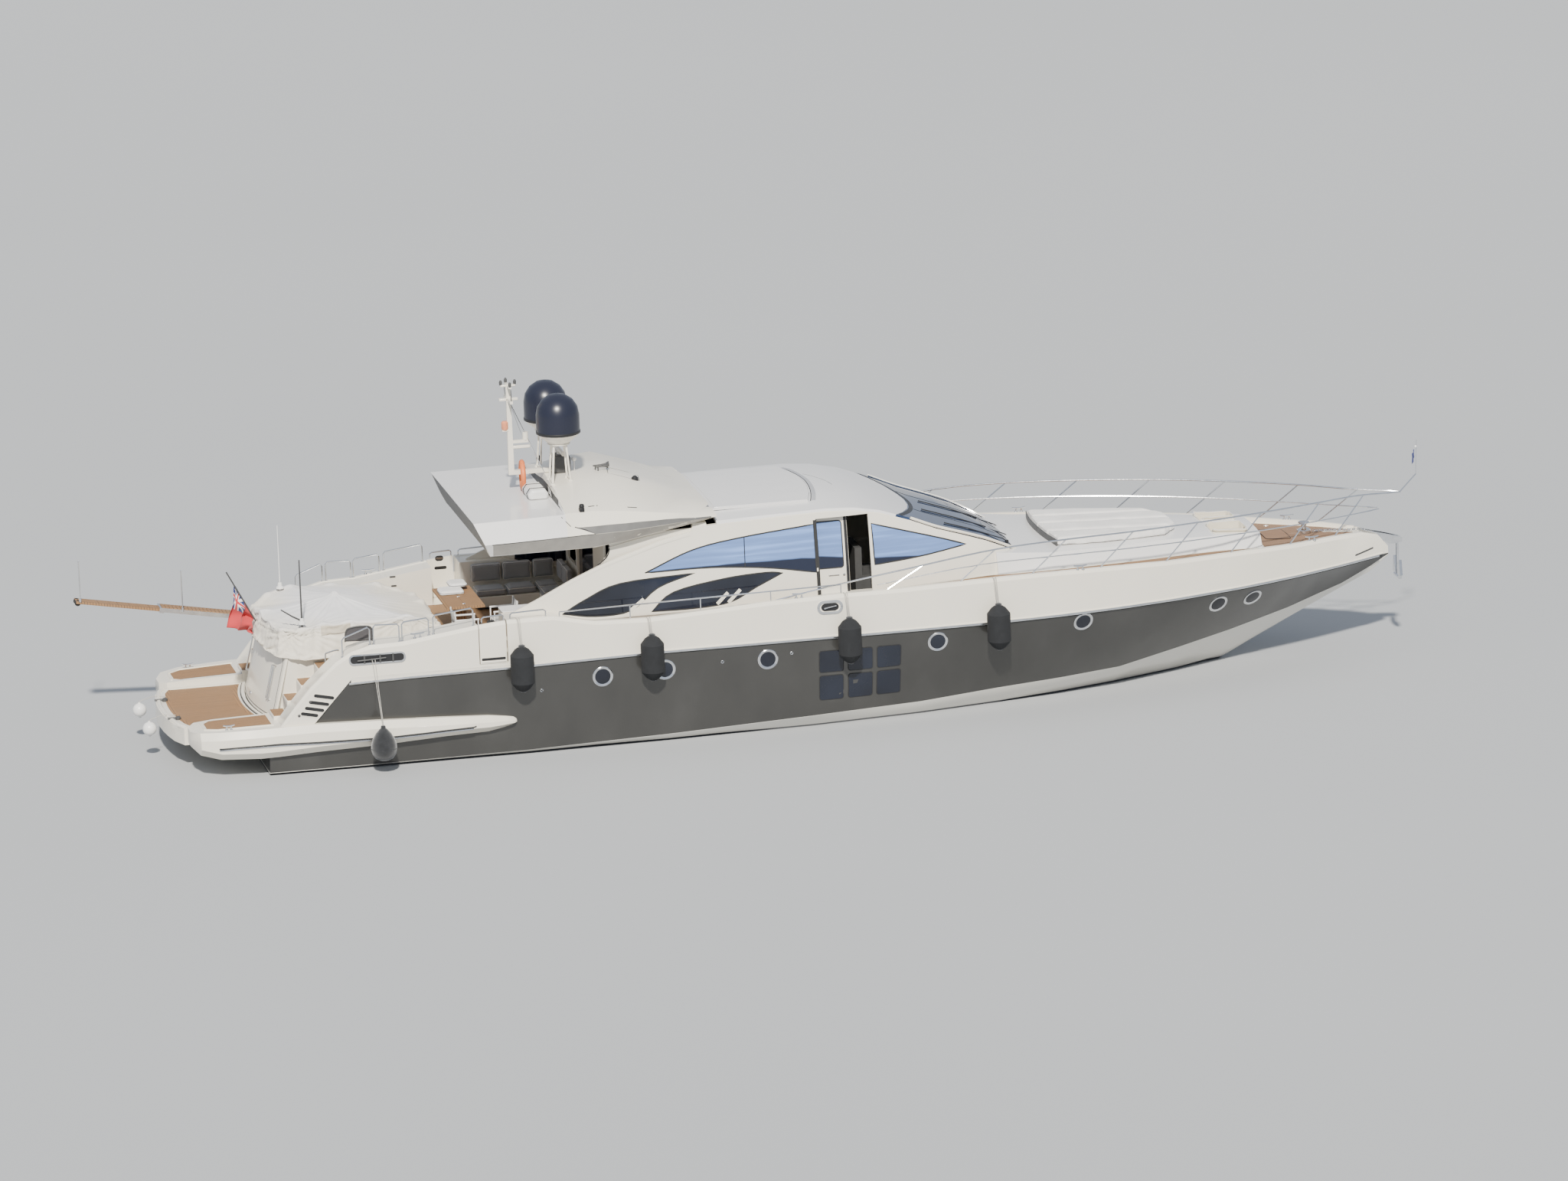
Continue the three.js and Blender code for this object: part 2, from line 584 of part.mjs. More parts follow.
// Bulkhead between cockpit and saloon, with its sliding glass door
const BULKHEAD_TOP = 4360;
const bulkheadHalf = [[2190, RUB_Z + GAP], [2190, 3200], [2060, BULKHEAD_TOP]];
const bulkheadOutline = [...bulkheadHalf, ...bulkheadHalf.map(([y, z]) => [-y, z]).reverse()];
const SALOON_DOOR_FOOT = RUB_Z + 6;
const sillZ = [RUB_Z + GAP, SALOON_DOOR_FOOT - GAP];
const doorSill = box([BULKHEAD_X + 40, BULKHEAD_X + 100], [-1000, 1900], sillZ);
const bulkhead = cutBy(
  solidOf(prismX(bulkheadOutline, BULKHEAD_X, BULKHEAD_X + 50)),
  box([BULKHEAD_X - 10, BULKHEAD_X + 60], [-900, 900], [RUB_Z - 10, 4150]),
  box([BULKHEAD_X - 10, BULKHEAD_X + 60], [1050, 1950], [2950, 4150]),
);
placeSolid('saloon_bulkhead', bulkhead.add(solidOf(doorSill)), 'gelcoat');
place('saloon_door', box([BULKHEAD_X + 56, BULKHEAD_X + 96], [-950, 950], [SALOON_DOOR_FOOT, 4180]), 'glass');

// Stern: swim platform, side pods, steps, tender garage with its lifting lid
const garageFoot = (y) => -11450 + 83 * (y / 1000) ** 2;
const garageHead = (y) => garageFoot(y) + 340;
const across = [-1, -0.75, -0.5, -0.25, 0, 0.25, 0.5, 0.75, 1];
const aftEdge = (y) => STERN_X + 70 * (y / 1000) ** 2 + (Math.abs(y) > 1500 ? 60 : 0);
const platformPlan = (forward) => [
  ...across.map((t) => [aftEdge(t * PLATFORM_HALF), t * PLATFORM_HALF]),
  ...across.map((t) => [forward(-t * PLATFORM_HALF), -t * PLATFORM_HALF]),
];
placeSolid('swim_platform', joined(
  prismZ(platformPlan((y) => garageFoot(y) - 6), LEDGE_Z + GAP, PLATFORM_TOP),
  prismZ(platformPlan(() => TRANSOM_X - GAP), 520, LEDGE_Z + 50),
), 'teak');

// Columns: station, inner and outer half width, top and bottom
const POD_STATIONS = [
  [-13050, 1950, 2450, 960, 640],
  [-12900, 1760, 2800, 1000, 520],
  [-12500, PLATFORM_HALF + 25, 3000, 1030, 440],
  [-11700, PLATFORM_HALF + 25, 3110, 1050, 420],
  [-11300, PLATFORM_HALF + 25, 3130, 1060, 430],
  [-10500, 2600, 3180, 1080, 480],
  [-9000, 2600, 3200, 1040, 520],
  [-7800, 2600, 3190, 990, 580],
  [-6900, 2600, 3160, 930, 640],
  [-6340, 2900, 3020, 820, 750],
];

function podLoft(side) {
  return loft(POD_STATIONS.map(([x, inner, outer, top, bottom]) => {
    const bevel = Math.min(150, (outer - inner) * 0.35);
    const drop = Math.min(150, (top - bottom) * 0.35);
    return [
      [x, side * inner, bottom],
      [x, side * (outer - bevel), bottom],
      [x, side * outer, bottom + drop],
      [x, side * outer, top - drop],
      [x, side * (outer - bevel * 0.7), top],
      [x, side * inner, top],
    ];
  }));
}

const STEP_COUNT = 5;
const STEPS = { foot: -11290, run: 300, from: 1725, to: 2345 };
const stepRise = (SOLE_TOP - PLATFORM_TOP) / (STEP_COUNT + 1);
const treads = [...Array(STEP_COUNT).keys()].flatMap((i) => {
  const z = PLATFORM_TOP + stepRise * (i + 1);
  return [[STEPS.foot + STEPS.run * i, z], [STEPS.foot + STEPS.run * (i + 1), z]];
});
const stepOutline = [
  ...treads,
  [STEPS.foot + STEPS.run * STEP_COUNT, SOLE_TOP],
  [-9645, SOLE_TOP],
  [-9645, RUB_Z + GAP],
  ...WELL_LINE.map(([x, z]) => [x - GAP, z + GAP]),
  [STEPS.foot, LEDGE_Z + GAP],
];
const sternRoom = topsideLoft(GAP, 1);
const lowRoom = sternRoom.clone().translate(-GAP, 0, -3 * GAP);
for (const [name, side] of Object.entries(SIDES)) {
  const ys = [side * (STEPS.from - 30), side * (STEPS.to + 4)].sort((a, b) => a - b);
  const stepsRoom = box([STEPS.foot - 1, -9000], ys, [LEDGE_Z, 2200]);
  const pod = solidOf(podLoft(side)).subtract(hullSolid(GAP));
  const clear = cutBy(pod, topsideLoft(GAP), sternRoom, lowRoom, stepsRoom);
  placeSolid(`side_pod_${name}`, clear, 'gelcoat');
}

const GARAGE = { half: 1715, top: 2290, front: -7650, doorThick: 60, lidTop: 2380 };
const garageRing = (y) => [
  [garageFoot(y) + GARAGE.doorThick + 6, y, LEDGE_Z + GAP],
  [garageHead(y) + GARAGE.doorThick + 6, y, GARAGE.top],
  [GARAGE.front, y, GARAGE.top],
  [GARAGE.front, y, SOLE_TOP + GAP],
  [-9651, y, SOLE_TOP + GAP],
  [-9651, y, 1700],
  [-10900, y, LEDGE_Z + GAP + 0.2],
];
const inXZ = (p) => [p[0], p[2]];
const garageHollow = prismY([
  [-11700, 790], [-10920, 790], [-9720, 1760], [-9720, 2130], [-8000, 2130], [-8000, 2225], [-11700, 2225],
], -1560, 1560);
const HINGE = { x: -7625, z: 2330, radius: 14 };
const hingePin = rod([HINGE.x, -1500, HINGE.z], [HINGE.x, 1500, HINGE.z], HINGE.radius, 12);
const hingeFeet = [-1200, 0, 1200].map((y) => (
  box([HINGE.x - 10, HINGE.x + 10], [y - 60, y + 60], [2200, HINGE.z])
));
const hingeRoom = rod([HINGE.x, -1600, HINGE.z], [HINGE.x, 1600, HINGE.z], HINGE.radius + 1, 24);
const hingeBase = box([GARAGE.front - 10, GARAGE.front + 60], [-1500, 1500], [SOLE_TOP + GAP, 2260]);
const garageBody = solidOf(loft(across.map((t) => garageRing(t * GARAGE.half)), inXZ));
const steps = Object.values(SIDES).map((side) => {
  const ys = [side * (GARAGE.half - 5), side * STEPS.to].sort((a, b) => a - b);
  return prismY(stepOutline, ...ys);
});
const sternMoulding = garageBody.add(joined(...steps));
const lidHinge = joined(hingePin, ...hingeFeet, hingeBase);
placeSolid('stern_moulding', cutBy(sternMoulding, garageHollow).add(lidHinge), 'gelcoat');

const doorRing = (y) => [
  [garageFoot(y) + 6, y, 905],
  [garageFoot(y) + GARAGE.doorThick, y, 905],
  [garageHead(y) + GARAGE.doorThick, y, GARAGE.top + 5],
  [garageHead(y) + 6, y, GARAGE.top + 5],
];
const garageDoor = solidOf(loft(across.map((t) => doorRing(t * (GARAGE.half - 5))), inXZ));
const lidPlan = [
  ...across.map((t) => [garageHead(t * GARAGE.half), t * GARAGE.half]),
  [HINGE.x + 2, GARAGE.half], [HINGE.x + 2, -GARAGE.half],
];
placeSolid('garage_lid', cutBy(
  garageDoor.add(solidOf(prismZ(lidPlan, GARAGE.top + 5, GARAGE.lidTop))),
  hingeRoom,
  box([HINGE.x - 16, HINGE.x + 20], [-1600, 1600], [2200, HINGE.z]),
), 'gelcoat');

// Cloth cover over the sunbed; columns are station, half width, bottom, side shoulder and crest heights
const COVER_STATIONS = [
  [-11070, 1250, 2400, 2500, 2580],
  [-10900, 1680, 2340, 2600, 2860],
  [-10450, 1880, 2260, 2820, 3220],
  [-9330, 1920, 2240, 2860, 3200],
  [-8230, 1880, 2240, 2760, 3110],
  [-7800, 1800, 2260, 2560, 2850],
  [-7560, 1600, 2385, 2440, 2560],
];
const coverLoft = loft(COVER_STATIONS.map(([x, half, bottom, shoulder, crest]) => mirroredRing(x, [
  [0, crest],
  [half * 0.6, crest - (crest - shoulder) * 0.25],
  [half * 0.93, shoulder],
  [half, bottom],
  [0, bottom],
])));
const lidRoom = prismZ([
  ...across.map((t) => [garageHead(t * GARAGE.half) - 2, t * (GARAGE.half + 8)]),
  [-7400, GARAGE.half + 8], [-7400, -GARAGE.half - 8],
], 2000, GARAGE.lidTop + GAP);
placeSolid('sunbed_cover', cutBy(solidOf(coverLoft), lidRoom), 'cloth');

// Cockpit furniture
placeSolid('cockpit_table', joined(
  box([-7300, -6500], [-950, 850], [2735, 2780]),
  box([-7000, -6800], [-350, -200], [SOLE_TOP + GAP, 2740]),
  box([-7000, -6800], [150, 300], [SOLE_TOP + GAP, 2740]),
  box([-7100, -6700], [-450, 400], [SOLE_TOP + GAP, 2080]),
), 'teak');
placeSolid('cockpit_sofa', joined(
  box([-6250, -4200], [1500, 2335], [SOLE_TOP + GAP, 2480]),
  box([-6250, -4200], [2120, 2335], [2400, 2930]),
  box([-4900, -4200], [950, 1600], [SOLE_TOP + GAP, 2480]),
  box([-4400, -4200], [950, 2200], [2400, 2930]),
), 'cloth');

function chair(x, y, facing) {
  const at = (dx) => [x + Math.min(...dx.map((d) => d * facing)), x + Math.max(...dx.map((d) => d * facing))];
  const legs = [[-240, -240], [-240, 240], [240, -240], [240, 240]].map(([dx, dy]) => rod(
    [x + dx, y + dy, SOLE_TOP + GAP],
    [x + dx, y + dy, 2500],
    20,
  ));
  return joined(
    ...legs,
    box([x - 270, x + 270], [y - 270, y + 270], [2480, 2530]),
    box(at([230, 270]), [y - 270, y + 270], [2500, 2930]),
  );
}
placeSolid('deck_chair_aft', chair(-7050, -1650, -1), 'mesh');
placeSolid('deck_chair_forward', chair(-6150, -1150, 1), 'cloth');

// Helm
const WHEEL = { x: 2330, y: -950, z: 2930, radius: 190 };
placeSolid('helm_station', joined(
  box([1300, 3100], [-1550, -350], [RUB_Z + GAP, 2250]),
  box([2500, 3100], [-1550, -350], [2200, 2980]),
  prismY([[2350, 2700], [3100, 2700], [3100, 3080], [2560, 3080]], -1550, -350),
  box([1350, 1900], [-1450, -450], [2200, 2850]),
  box([1350, 1500], [-1450, -450], [2800, 3450]),
  rod([WHEEL.x + 25 + GAP, WHEEL.y, WHEEL.z], [2600, WHEEL.y, WHEEL.z], 30, 12),
), 'rubber');
const wheelRim = new THREE.TorusGeometry(WHEEL.radius, 16, 8, 24);
const wheelSpokes = [0, 1, 2].map((i) => {
  const angle = (2 * Math.PI * i) / 3 + Math.PI / 2;
  return rod([0, 0, 0], [WHEEL.radius * Math.cos(angle), WHEEL.radius * Math.sin(angle), 0], 12, 6);
});
const wheelHub = new THREE.CylinderGeometry(40, 40, 50, 12).rotateX(Math.PI / 2);
const wheel = place('helm_wheel', geometryOf(joined(wheelRim, ...wheelSpokes, wheelHub)), 'rubber');
wheel.position.set(WHEEL.x, WHEEL.y, WHEEL.z);
wheel.rotation.set(0, Math.PI / 2, 0);

// Foredeck trunk, sunpad and the two locker lids
// Columns: station, half width at the deck, half width and height of its edge, centre height
const TRUNK_STATIONS = [
  [4300, 2150, 1900, 3200, 3240],
  [5500, 2080, 1820, 3090, 3150],
  [7000, 1800, 1560, 3040, 3100],
  [8200, 1480, 1240, 3010, 3060],
  [9400, 1200, 1000, 2940, 2990],
  [10300, 1100, 900, 2900, 2950],
];
const trunkFull = (grow) => loft(TRUNK_STATIONS.map(([x, foot, edge, edgeZ, centre]) => mirroredRing(x, [
  [0, centre + grow],
  [edge * 0.6, centre - (centre - edgeZ) * 0.35 + grow],
  [edge + grow, edgeZ + grow],
  [foot + grow, 2600],
  [0, 2600],
])));
const LOCKERS = { x: [9250, 10050], y: [180, 900], floor: 2800 };
const lockerHoles = Object.values(SIDES).map((side) => {
  const ys = [side * (LOCKERS.y[0] + 30), side * (LOCKERS.y[1] - 90)].sort((a, b) => a - b);
  return box([LOCKERS.x[0] + 30, LOCKERS.x[1] - 30], ys, [LOCKERS.floor, 3200]);
});
placeSolid('foredeck_trunk', cutBy(
  solidOf(trunkFull(0)).subtract(deckCut).subtract(solidOf(cabinLoft(-GAP))),
  ...lockerHoles,
), 'gelcoat');
const padHalf = [[5650, 900], [5750, 1430], [6800, 1330], [8250, 1000], [8600, 500]];
const padPlan = [[5600, 0], ...padHalf, ...padHalf.map(([x, y]) => [x, -y]).reverse()];
const padTop = loft(TRUNK_STATIONS.slice(0, 5).map(([x, , , , centre]) => mirroredRing(x, [
  [0, centre + 170],
  [1600, centre + 130],
  [1600, 2700],
  [0, 2700],
])));
const sunpad = kept(solidOf(padTop), prismZ(padPlan, 2700, 3500)).subtract(solidOf(trunkFull(GAP)));
placeSolid('foredeck_sunpad', sunpad, 'cloth');
for (const [name, side] of Object.entries(SIDES)) {
  const ys = [side * LOCKERS.y[0], side * LOCKERS.y[1]].sort((a, b) => a - b);
  const lid = kept(solidOf(trunkFull(110)), box(LOCKERS.x, ys, [2700, 3300]));
  placeSolid(`bow_locker_lid_${name}`, lid.subtract(solidOf(trunkFull(GAP))), 'cloth');
}

// Windlass, bow roller and anchor
const deckAt = (x) => {
  const [, gunwale, drop] = stationAt(TOPSIDE_STATIONS, x);
  return gunwale - drop + 40;
};
const WINDLASS = { x: 11500 };
const DRUM = [[0, 0], [150, 0], [150, 60], [110, 90], [60, 110], [60, 180], [120, 210], [120, 235], [0, 235]];
const windlass = turned(DRUM, 20).translate(WINDLASS.x, 0, deckAt(WINDLASS.x - 150) + GAP);
placeSolid('windlass', solidOf(windlass), 'steel');

const ROLLER = { x: 13560, z: 2290, radius: 40 };
const CHEEK = [
  [12700, 2590], [13350, 2420], [13650, 2330], [13650, 2230], [13400, 2200], [13340, 2230], [12700, 2575],
];
const rollerCheek = (y) => prismY(CHEEK, y, y + 14);
const rollerFrame = joined(
  rollerCheek(-84),
  rollerCheek(70),
  box([13360, 13480], [-84, 84], [2205, 2225]),
  rod([ROLLER.x, -84, ROLLER.z], [ROLLER.x, 84, ROLLER.z], 14),
  rod([ROLLER.x, -60, ROLLER.z], [ROLLER.x, 60, ROLLER.z], ROLLER.radius, 12),
);
placeSolid('bow_roller', rollerFrame.subtract(deckCut).subtract(solidOf(topsideLoft(GAP, GAP))), 'steel');
const ANCHOR = { x: ROLLER.x, top: ROLLER.z - ROLLER.radius - GAP, crown: 1450 };
const FLUKE = [[30, 0], [300, 90], [230, 420], [60, 60]];
const fluke = (side) => prismX(
  FLUKE.map(([y, z]) => [side * y, ANCHOR.crown + z]),
  ANCHOR.x - 30,
  ANCHOR.x + 30,
);
placeSolid('anchor', joined(
  rod([ANCHOR.x, 0, ANCHOR.crown], [ANCHOR.x, 0, ANCHOR.top], 32, 8),
  rod([ANCHOR.x, -180, ANCHOR.crown + 30], [ANCHOR.x, 180, ANCHOR.crown + 30], 50, 10),
  fluke(-1),
  fluke(1),
), 'steel');

// Bow rail: top rail, middle rail and stanchions in one piece
// Columns: station, inset from the rub half beam, height
const TOP_RAIL = [
  [-700, 200, 2830],
  [600, 200, 3050],
  [2300, 165, 3300],
  [4030, 160, 3520],
  [5650, 160, 3570],
  [7150, 155, 3555],
  [8740, 155, 3530],
  [10200, 150, 3490],
  [11600, 140, 3440],
  [12700, 110, 3380],
];
const MID_RAIL = [
  [1500, 165, 2990],
  [3600, 160, 3220],
  [5270, 155, 3240],
  [6780, 150, 3210],
  [8270, 150, 3170],
  [9800, 150, 3120],
  [11200, 140, 3060],
  [12400, 110, 3010],
];
const RAIL_TIP = [13650, 0, 3310];
const STANCHION_FEET = [1700, 3270, 4840, 6360, 7870, 9400, 10850, 12000];
const STANCHION_LEAN = 780;
const railPoints = (table) => table.map(([x, inset, z]) => [x, -(rubHalf(x) - inset), z]);
const topRail = railPoints(TOP_RAIL);
const midRail = railPoints(MID_RAIL);
const gunwaleAt = (x) => stationAt(TOPSIDE_STATIONS, x)[1];
const bowRails = (mirror) => [
  tube([...mirror(midRail), mirror([[13150, -60, 2990]])[0]], 13, 22, 6),
  ...STANCHION_FEET.map((x) => {
    const [, inset, z] = stationAt(TOP_RAIL, x + STANCHION_LEAN);
    const reach = x + STANCHION_LEAN;
    const foot = [x, -(rubHalf(x) - Math.min(120, rubHalf(x) * 0.3)), gunwaleAt(x) + GAP];
    return rod(...mirror([foot, [reach, -(rubHalf(reach) - inset), z]]), 14, 6);
  }),
  rod(...mirror([[-690, -2910, gunwaleAt(-690) + GAP], [-690, -2910, 2850]]), 14, 6),
];
placeSolid('bow_rail', joined(
  tube([...topRail, RAIL_TIP, ...mirroredY(topRail).reverse()], 19, 80, 8),
  ...bowRails((points) => points),
  ...bowRails(mirroredY),
  rod([RAIL_TIP[0] - 10, 0, RAIL_TIP[2]], [14010, 0, 3680], 15, 6),
  rod([14000, 0, 3670], [14030, 0, 4420], 11, 6),
).subtract(deckCut), 'steel');

// Handrails beside the gills
for (const [name, side] of Object.entries(SIDES)) {
  const posts = [-5300, -3800, -2300, -800, 700];
  const railY = side * 2965;
  const top = (x) => 3000 + (x + 5300) * 0.012;
  placeSolid(`side_handrail_${name}`, joined(
    rod([posts[0], railY, top(posts[0])], [posts.at(-1), railY, top(posts.at(-1))], 16, 8),
    ...posts.map((x) => rod([x, railY, gunwaleAt(x) - 20], [x, railY, top(x)], 14, 6)),
  ).subtract(deckCut), 'steel');
}

// Mast and satellite domes
const MAST = { x: -5650, front: -4550, foot: stationAt(HARDTOP_STATIONS, -4550)[1] + GAP, top: 7260 };
placeSolid('mast', joined(
  box([MAST.x - 60, MAST.front], [-55, 55], [MAST.foot, MAST.foot + 90]),
  prismY([
    [MAST.x - 60, MAST.foot], [MAST.x + 60, MAST.foot], [MAST.x + 45, MAST.top], [MAST.x - 45, MAST.top],
  ], -50, 50),
  box([MAST.x - 30, MAST.x + 30], [-380, 380], [6900, 6960]),
  box([MAST.x - 30, MAST.x + 30], [-260, 260], [7200, 7240]),
  box([MAST.x, MAST.x + 380], [-45, 45], [5980, 6040]),
  rod([MAST.x + 330, 0, 6030], [MAST.x + 330, 0, 6200], 60, 12),
), 'gelcoat');
const DOME = { x: -4740, y: 680, radius: 460, rim: 6290, top: 7130, cone: 6060, foot: 5250, stance: 190 };
const domeSeat = solidOf(loft(hardtopRings.map((ring) => ring.map(([x, y, z]) => [x, y, z + GAP]))));
for (const [name, side] of Object.entries(SIDES)) {
  const cap = [0.25, 0.5, 0.75].map((t) => {
    const angle = (t * Math.PI) / 2;
    return [DOME.radius * Math.cos(angle), DOME.top - DOME.radius + DOME.radius * Math.sin(angle)];
  });
  const shell = turned([
    [0, DOME.cone],
    [210, DOME.cone],
    [440, DOME.rim - 30],
    [DOME.radius, DOME.rim],
    [DOME.radius, DOME.top - DOME.radius],
    ...cap,
    [0, DOME.top],
  ], 24).translate(DOME.x, side * DOME.y, 0);
  const legs = [[-1, -1], [-1, 1], [1, -1], [1, 1]].map(([i, j]) => rod(
    [DOME.x + i * DOME.stance, side * DOME.y + j * DOME.stance, DOME.foot],
    [DOME.x + i * 130, side * DOME.y + j * 130, DOME.cone + 20],
    22,
    8,
  ));
  placeSolid(`satellite_dome_${name}`, joined(shell, ...legs).subtract(domeSeat), 'navy');
}

// Gangway on the port quarter, drawn level and then raised about its root
const GANGWAY_ROOT = [GANGWAY.pivotX, GANGWAY.y, GANGWAY.pivotZ];
function gangwayBar([r0, r1], [s0, s1], [u0, u1]) {
  const geometry = box([-r1, -r0], [s0, s1], [u0, u1]);
  return geometry.rotateY(GANGWAY.rise).translate(...GANGWAY_ROOT);
}
placeSolid('passerelle', joined(
  gangwayBar([-40, GANGWAY.frame], [-GANGWAY.half, -GANGWAY.half + 40], [-30, 60]),
  gangwayBar([-40, GANGWAY.frame], [GANGWAY.half - 40, GANGWAY.half], [-30, 60]),
  gangwayBar([140, GANGWAY.frame], [-GANGWAY.half, GANGWAY.half], [35, 60]),
  gangwayBar([GANGWAY.frame - 100, GANGWAY.frame], [-GANGWAY.half, GANGWAY.half], [-50, -25 - GAP]),
), 'steel');
const plankHalf = GANGWAY.half - 46;
place('passerelle_slide', gangwayBar([820, GANGWAY.reach], [-plankHalf, plankHalf], [-25, 29]), 'teak');

// Shafts, propellers and rudders
const SHAFT = { fromX: -5600, fromZ: -560, toX: -9480, toZ: -1140, radius: 42, y: 1250 };
const shaftAngle = Math.atan2(SHAFT.fromZ - SHAFT.toZ, SHAFT.fromX - SHAFT.toX);
const hullRoom = hullSolid(GAP);
const PROPELLER = { radius: 440, hub: 75, length: 190, blades: 4, pitch: 0.62 };
for (const [name, side] of Object.entries(SIDES)) {
  const y = side * SHAFT.y;
  const shaft = rod([SHAFT.fromX, y, SHAFT.fromZ], [SHAFT.toX, y, SHAFT.toZ], SHAFT.radius, 12);
  const barrel = rod([-9130, y, SHAFT.toZ + 52], [-9430, y, SHAFT.toZ + 8], 70, 12);
  const strut = box([-9400, -9200], [y - 30, y + 30], [SHAFT.toZ + 30, -300]);
  placeSolid(`shaft_${name}`, joined(shaft, barrel, strut).subtract(hullRoom), 'steel');

  const blades = [...Array(PROPELLER.blades).keys()].map((i) => {
    const outline = new THREE.Shape();
    outline.moveTo(50, -50);
    outline.quadraticCurveTo(260, -260, 430, -60);
    outline.quadraticCurveTo(450, 20, 400, 80);
    outline.quadraticCurveTo(220, 150, 50, 50);
    const blade = new THREE.ExtrudeGeometry(outline, { depth: 18, bevelEnabled: false, curveSegments: 5 });
    blade.translate(0, 0, -9).rotateX(side * PROPELLER.pitch).applyMatrix4(YZ_TO_XY);
    return blade.rotateX((2 * Math.PI * i) / PROPELLER.blades);
  });
  const cone = new THREE.CylinderGeometry(PROPELLER.hub * 0.7, PROPELLER.hub, PROPELLER.length, 16);
  const hub = cone.rotateZ(Math.PI / 2);
  const propeller = place(`propeller_${name}`, geometryOf(joined(hub, ...blades)), 'bronze');
  const along = PROPELLER.length / 2 + GAP;
  const hubX = SHAFT.toX - along * Math.cos(shaftAngle);
  propeller.position.set(hubX, y, SHAFT.toZ - along * Math.sin(shaftAngle));
  propeller.rotation.y = -shaftAngle;

  const ry = side * RUDDER.y;
  const foil = [[180, 0], [60, 34], [-150, 26], [-420, 5], [-420, -5], [-150, -26], [60, -34]];
  const rudder = prismZ(foil, RUDDER.footZ, -720).translate(RUDDER.x, ry, 0);
  const stock = rod([RUDDER.x, ry, -800], [RUDDER.x, ry, RUDDER.bossZ - GAP], 40, 12);
  placeSolid(`rudder_${name}`, joined(rudder, stock), 'steel');
}

// Fenders hung along the starboard side, and ball fenders at the stern
const FENDER = { radius: 250, low: 1470, high: 2430 };
const FENDER_XS = { aft: -6190, midaft: -3430, midforward: 780, forward: 3990 };
const rubChord = (table, x) => stationAt(table.map(([at]) => [at, rubHalf(at)]), x)[1];
for (const [name, x] of Object.entries(FENDER_XS)) {
  const sideHalf = Math.max(rubChord(TOPSIDE_STATIONS, x), rubChord(HULL_STATIONS, x));
  const y = -(sideHalf + FENDER.radius + GAP);
  const { low, high } = FENDER;
  const body = turned([
    [0, low],
    [60, low],
    [150, low + 60],
    [FENDER.radius, low + 190],
    [FENDER.radius, high - 190],
    [150, high - 60],
    [60, high],
    [0, high],
  ], 16).translate(x, y, 0);
  const edge = [x, -(rubHalf(x) + 14), gunwaleAt(x) - 60];
  placeSolid(`fender_${name}`, joined(
    body,
    rod([x, y, high - 30], edge, 9, 6),
    rod(edge, [x, -(rubHalf(x) - 60), gunwaleAt(x) + 6], 9, 6),
  ).subtract(deckCut).subtract(solidOf(topsideLoft(GAP, GAP))), 'rubber');
}
const BALL = { x: -9190, radius: 270, z: 730 };
const ballY = -(stationAt(POD_STATIONS, BALL.x)[2] + BALL.radius + GAP);
placeSolid('fender_ball_quarter', joined(
  new THREE.SphereGeometry(BALL.radius, 16, 10).rotateX(Math.PI / 2).translate(BALL.x, ballY, BALL.z),
  rod([BALL.x, ballY, BALL.z], [BALL.x, -3120, 2560], 9, 6),
), 'rubber');

// Ensign on its raked staff
const STAFF = { footX: -11094, foot: GARAGE.lidTop + 7.7, topX: -11790, top: 3720, radius: 16 };
const staff = rod([STAFF.footX, 0, STAFF.foot], [STAFF.topX, 0, STAFF.top], STAFF.radius, 8);
place('ensign_staff', staff, 'steel');
const hoistY = STAFF.radius - 0.7 + GAP;
const ensignOutline = [
  [-11745, 3620], [-11480, 3380], [-11230, 2960], [-11330, 2720],
  [-11560, 2520], [-11640, 2800], [-11700, 3200],
];
place('ensign', prismY(ensignOutline, hoistY, hoistY + 16), 'red');

export default yacht;
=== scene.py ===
import math

import bmesh
import bpy
from mathutils import Matrix, Vector
from mathutils.bvhtree import BVHTree


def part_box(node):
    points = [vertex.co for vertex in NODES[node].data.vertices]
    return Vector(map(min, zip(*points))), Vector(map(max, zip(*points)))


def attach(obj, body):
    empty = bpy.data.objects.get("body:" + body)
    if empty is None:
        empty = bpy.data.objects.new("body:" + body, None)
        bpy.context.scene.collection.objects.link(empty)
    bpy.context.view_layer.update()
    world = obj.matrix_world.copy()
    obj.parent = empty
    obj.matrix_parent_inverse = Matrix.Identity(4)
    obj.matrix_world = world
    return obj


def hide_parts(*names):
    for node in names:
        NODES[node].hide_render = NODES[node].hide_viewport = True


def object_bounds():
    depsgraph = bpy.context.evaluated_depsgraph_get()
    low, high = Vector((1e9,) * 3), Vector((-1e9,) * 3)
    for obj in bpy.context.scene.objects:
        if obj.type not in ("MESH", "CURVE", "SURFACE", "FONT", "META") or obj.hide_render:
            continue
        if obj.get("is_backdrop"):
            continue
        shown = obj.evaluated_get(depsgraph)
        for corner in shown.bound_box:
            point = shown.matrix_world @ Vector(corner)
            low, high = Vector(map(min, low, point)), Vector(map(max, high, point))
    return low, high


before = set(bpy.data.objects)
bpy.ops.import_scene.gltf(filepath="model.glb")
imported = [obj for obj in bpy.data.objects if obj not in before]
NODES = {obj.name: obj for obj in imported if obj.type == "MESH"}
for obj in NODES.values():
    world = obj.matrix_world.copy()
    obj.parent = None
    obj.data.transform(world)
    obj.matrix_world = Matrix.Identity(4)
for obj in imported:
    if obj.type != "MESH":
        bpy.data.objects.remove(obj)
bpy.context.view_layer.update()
SIDES = {"stb": -1, "port": 1}

# Camera at the photograph's viewing angle

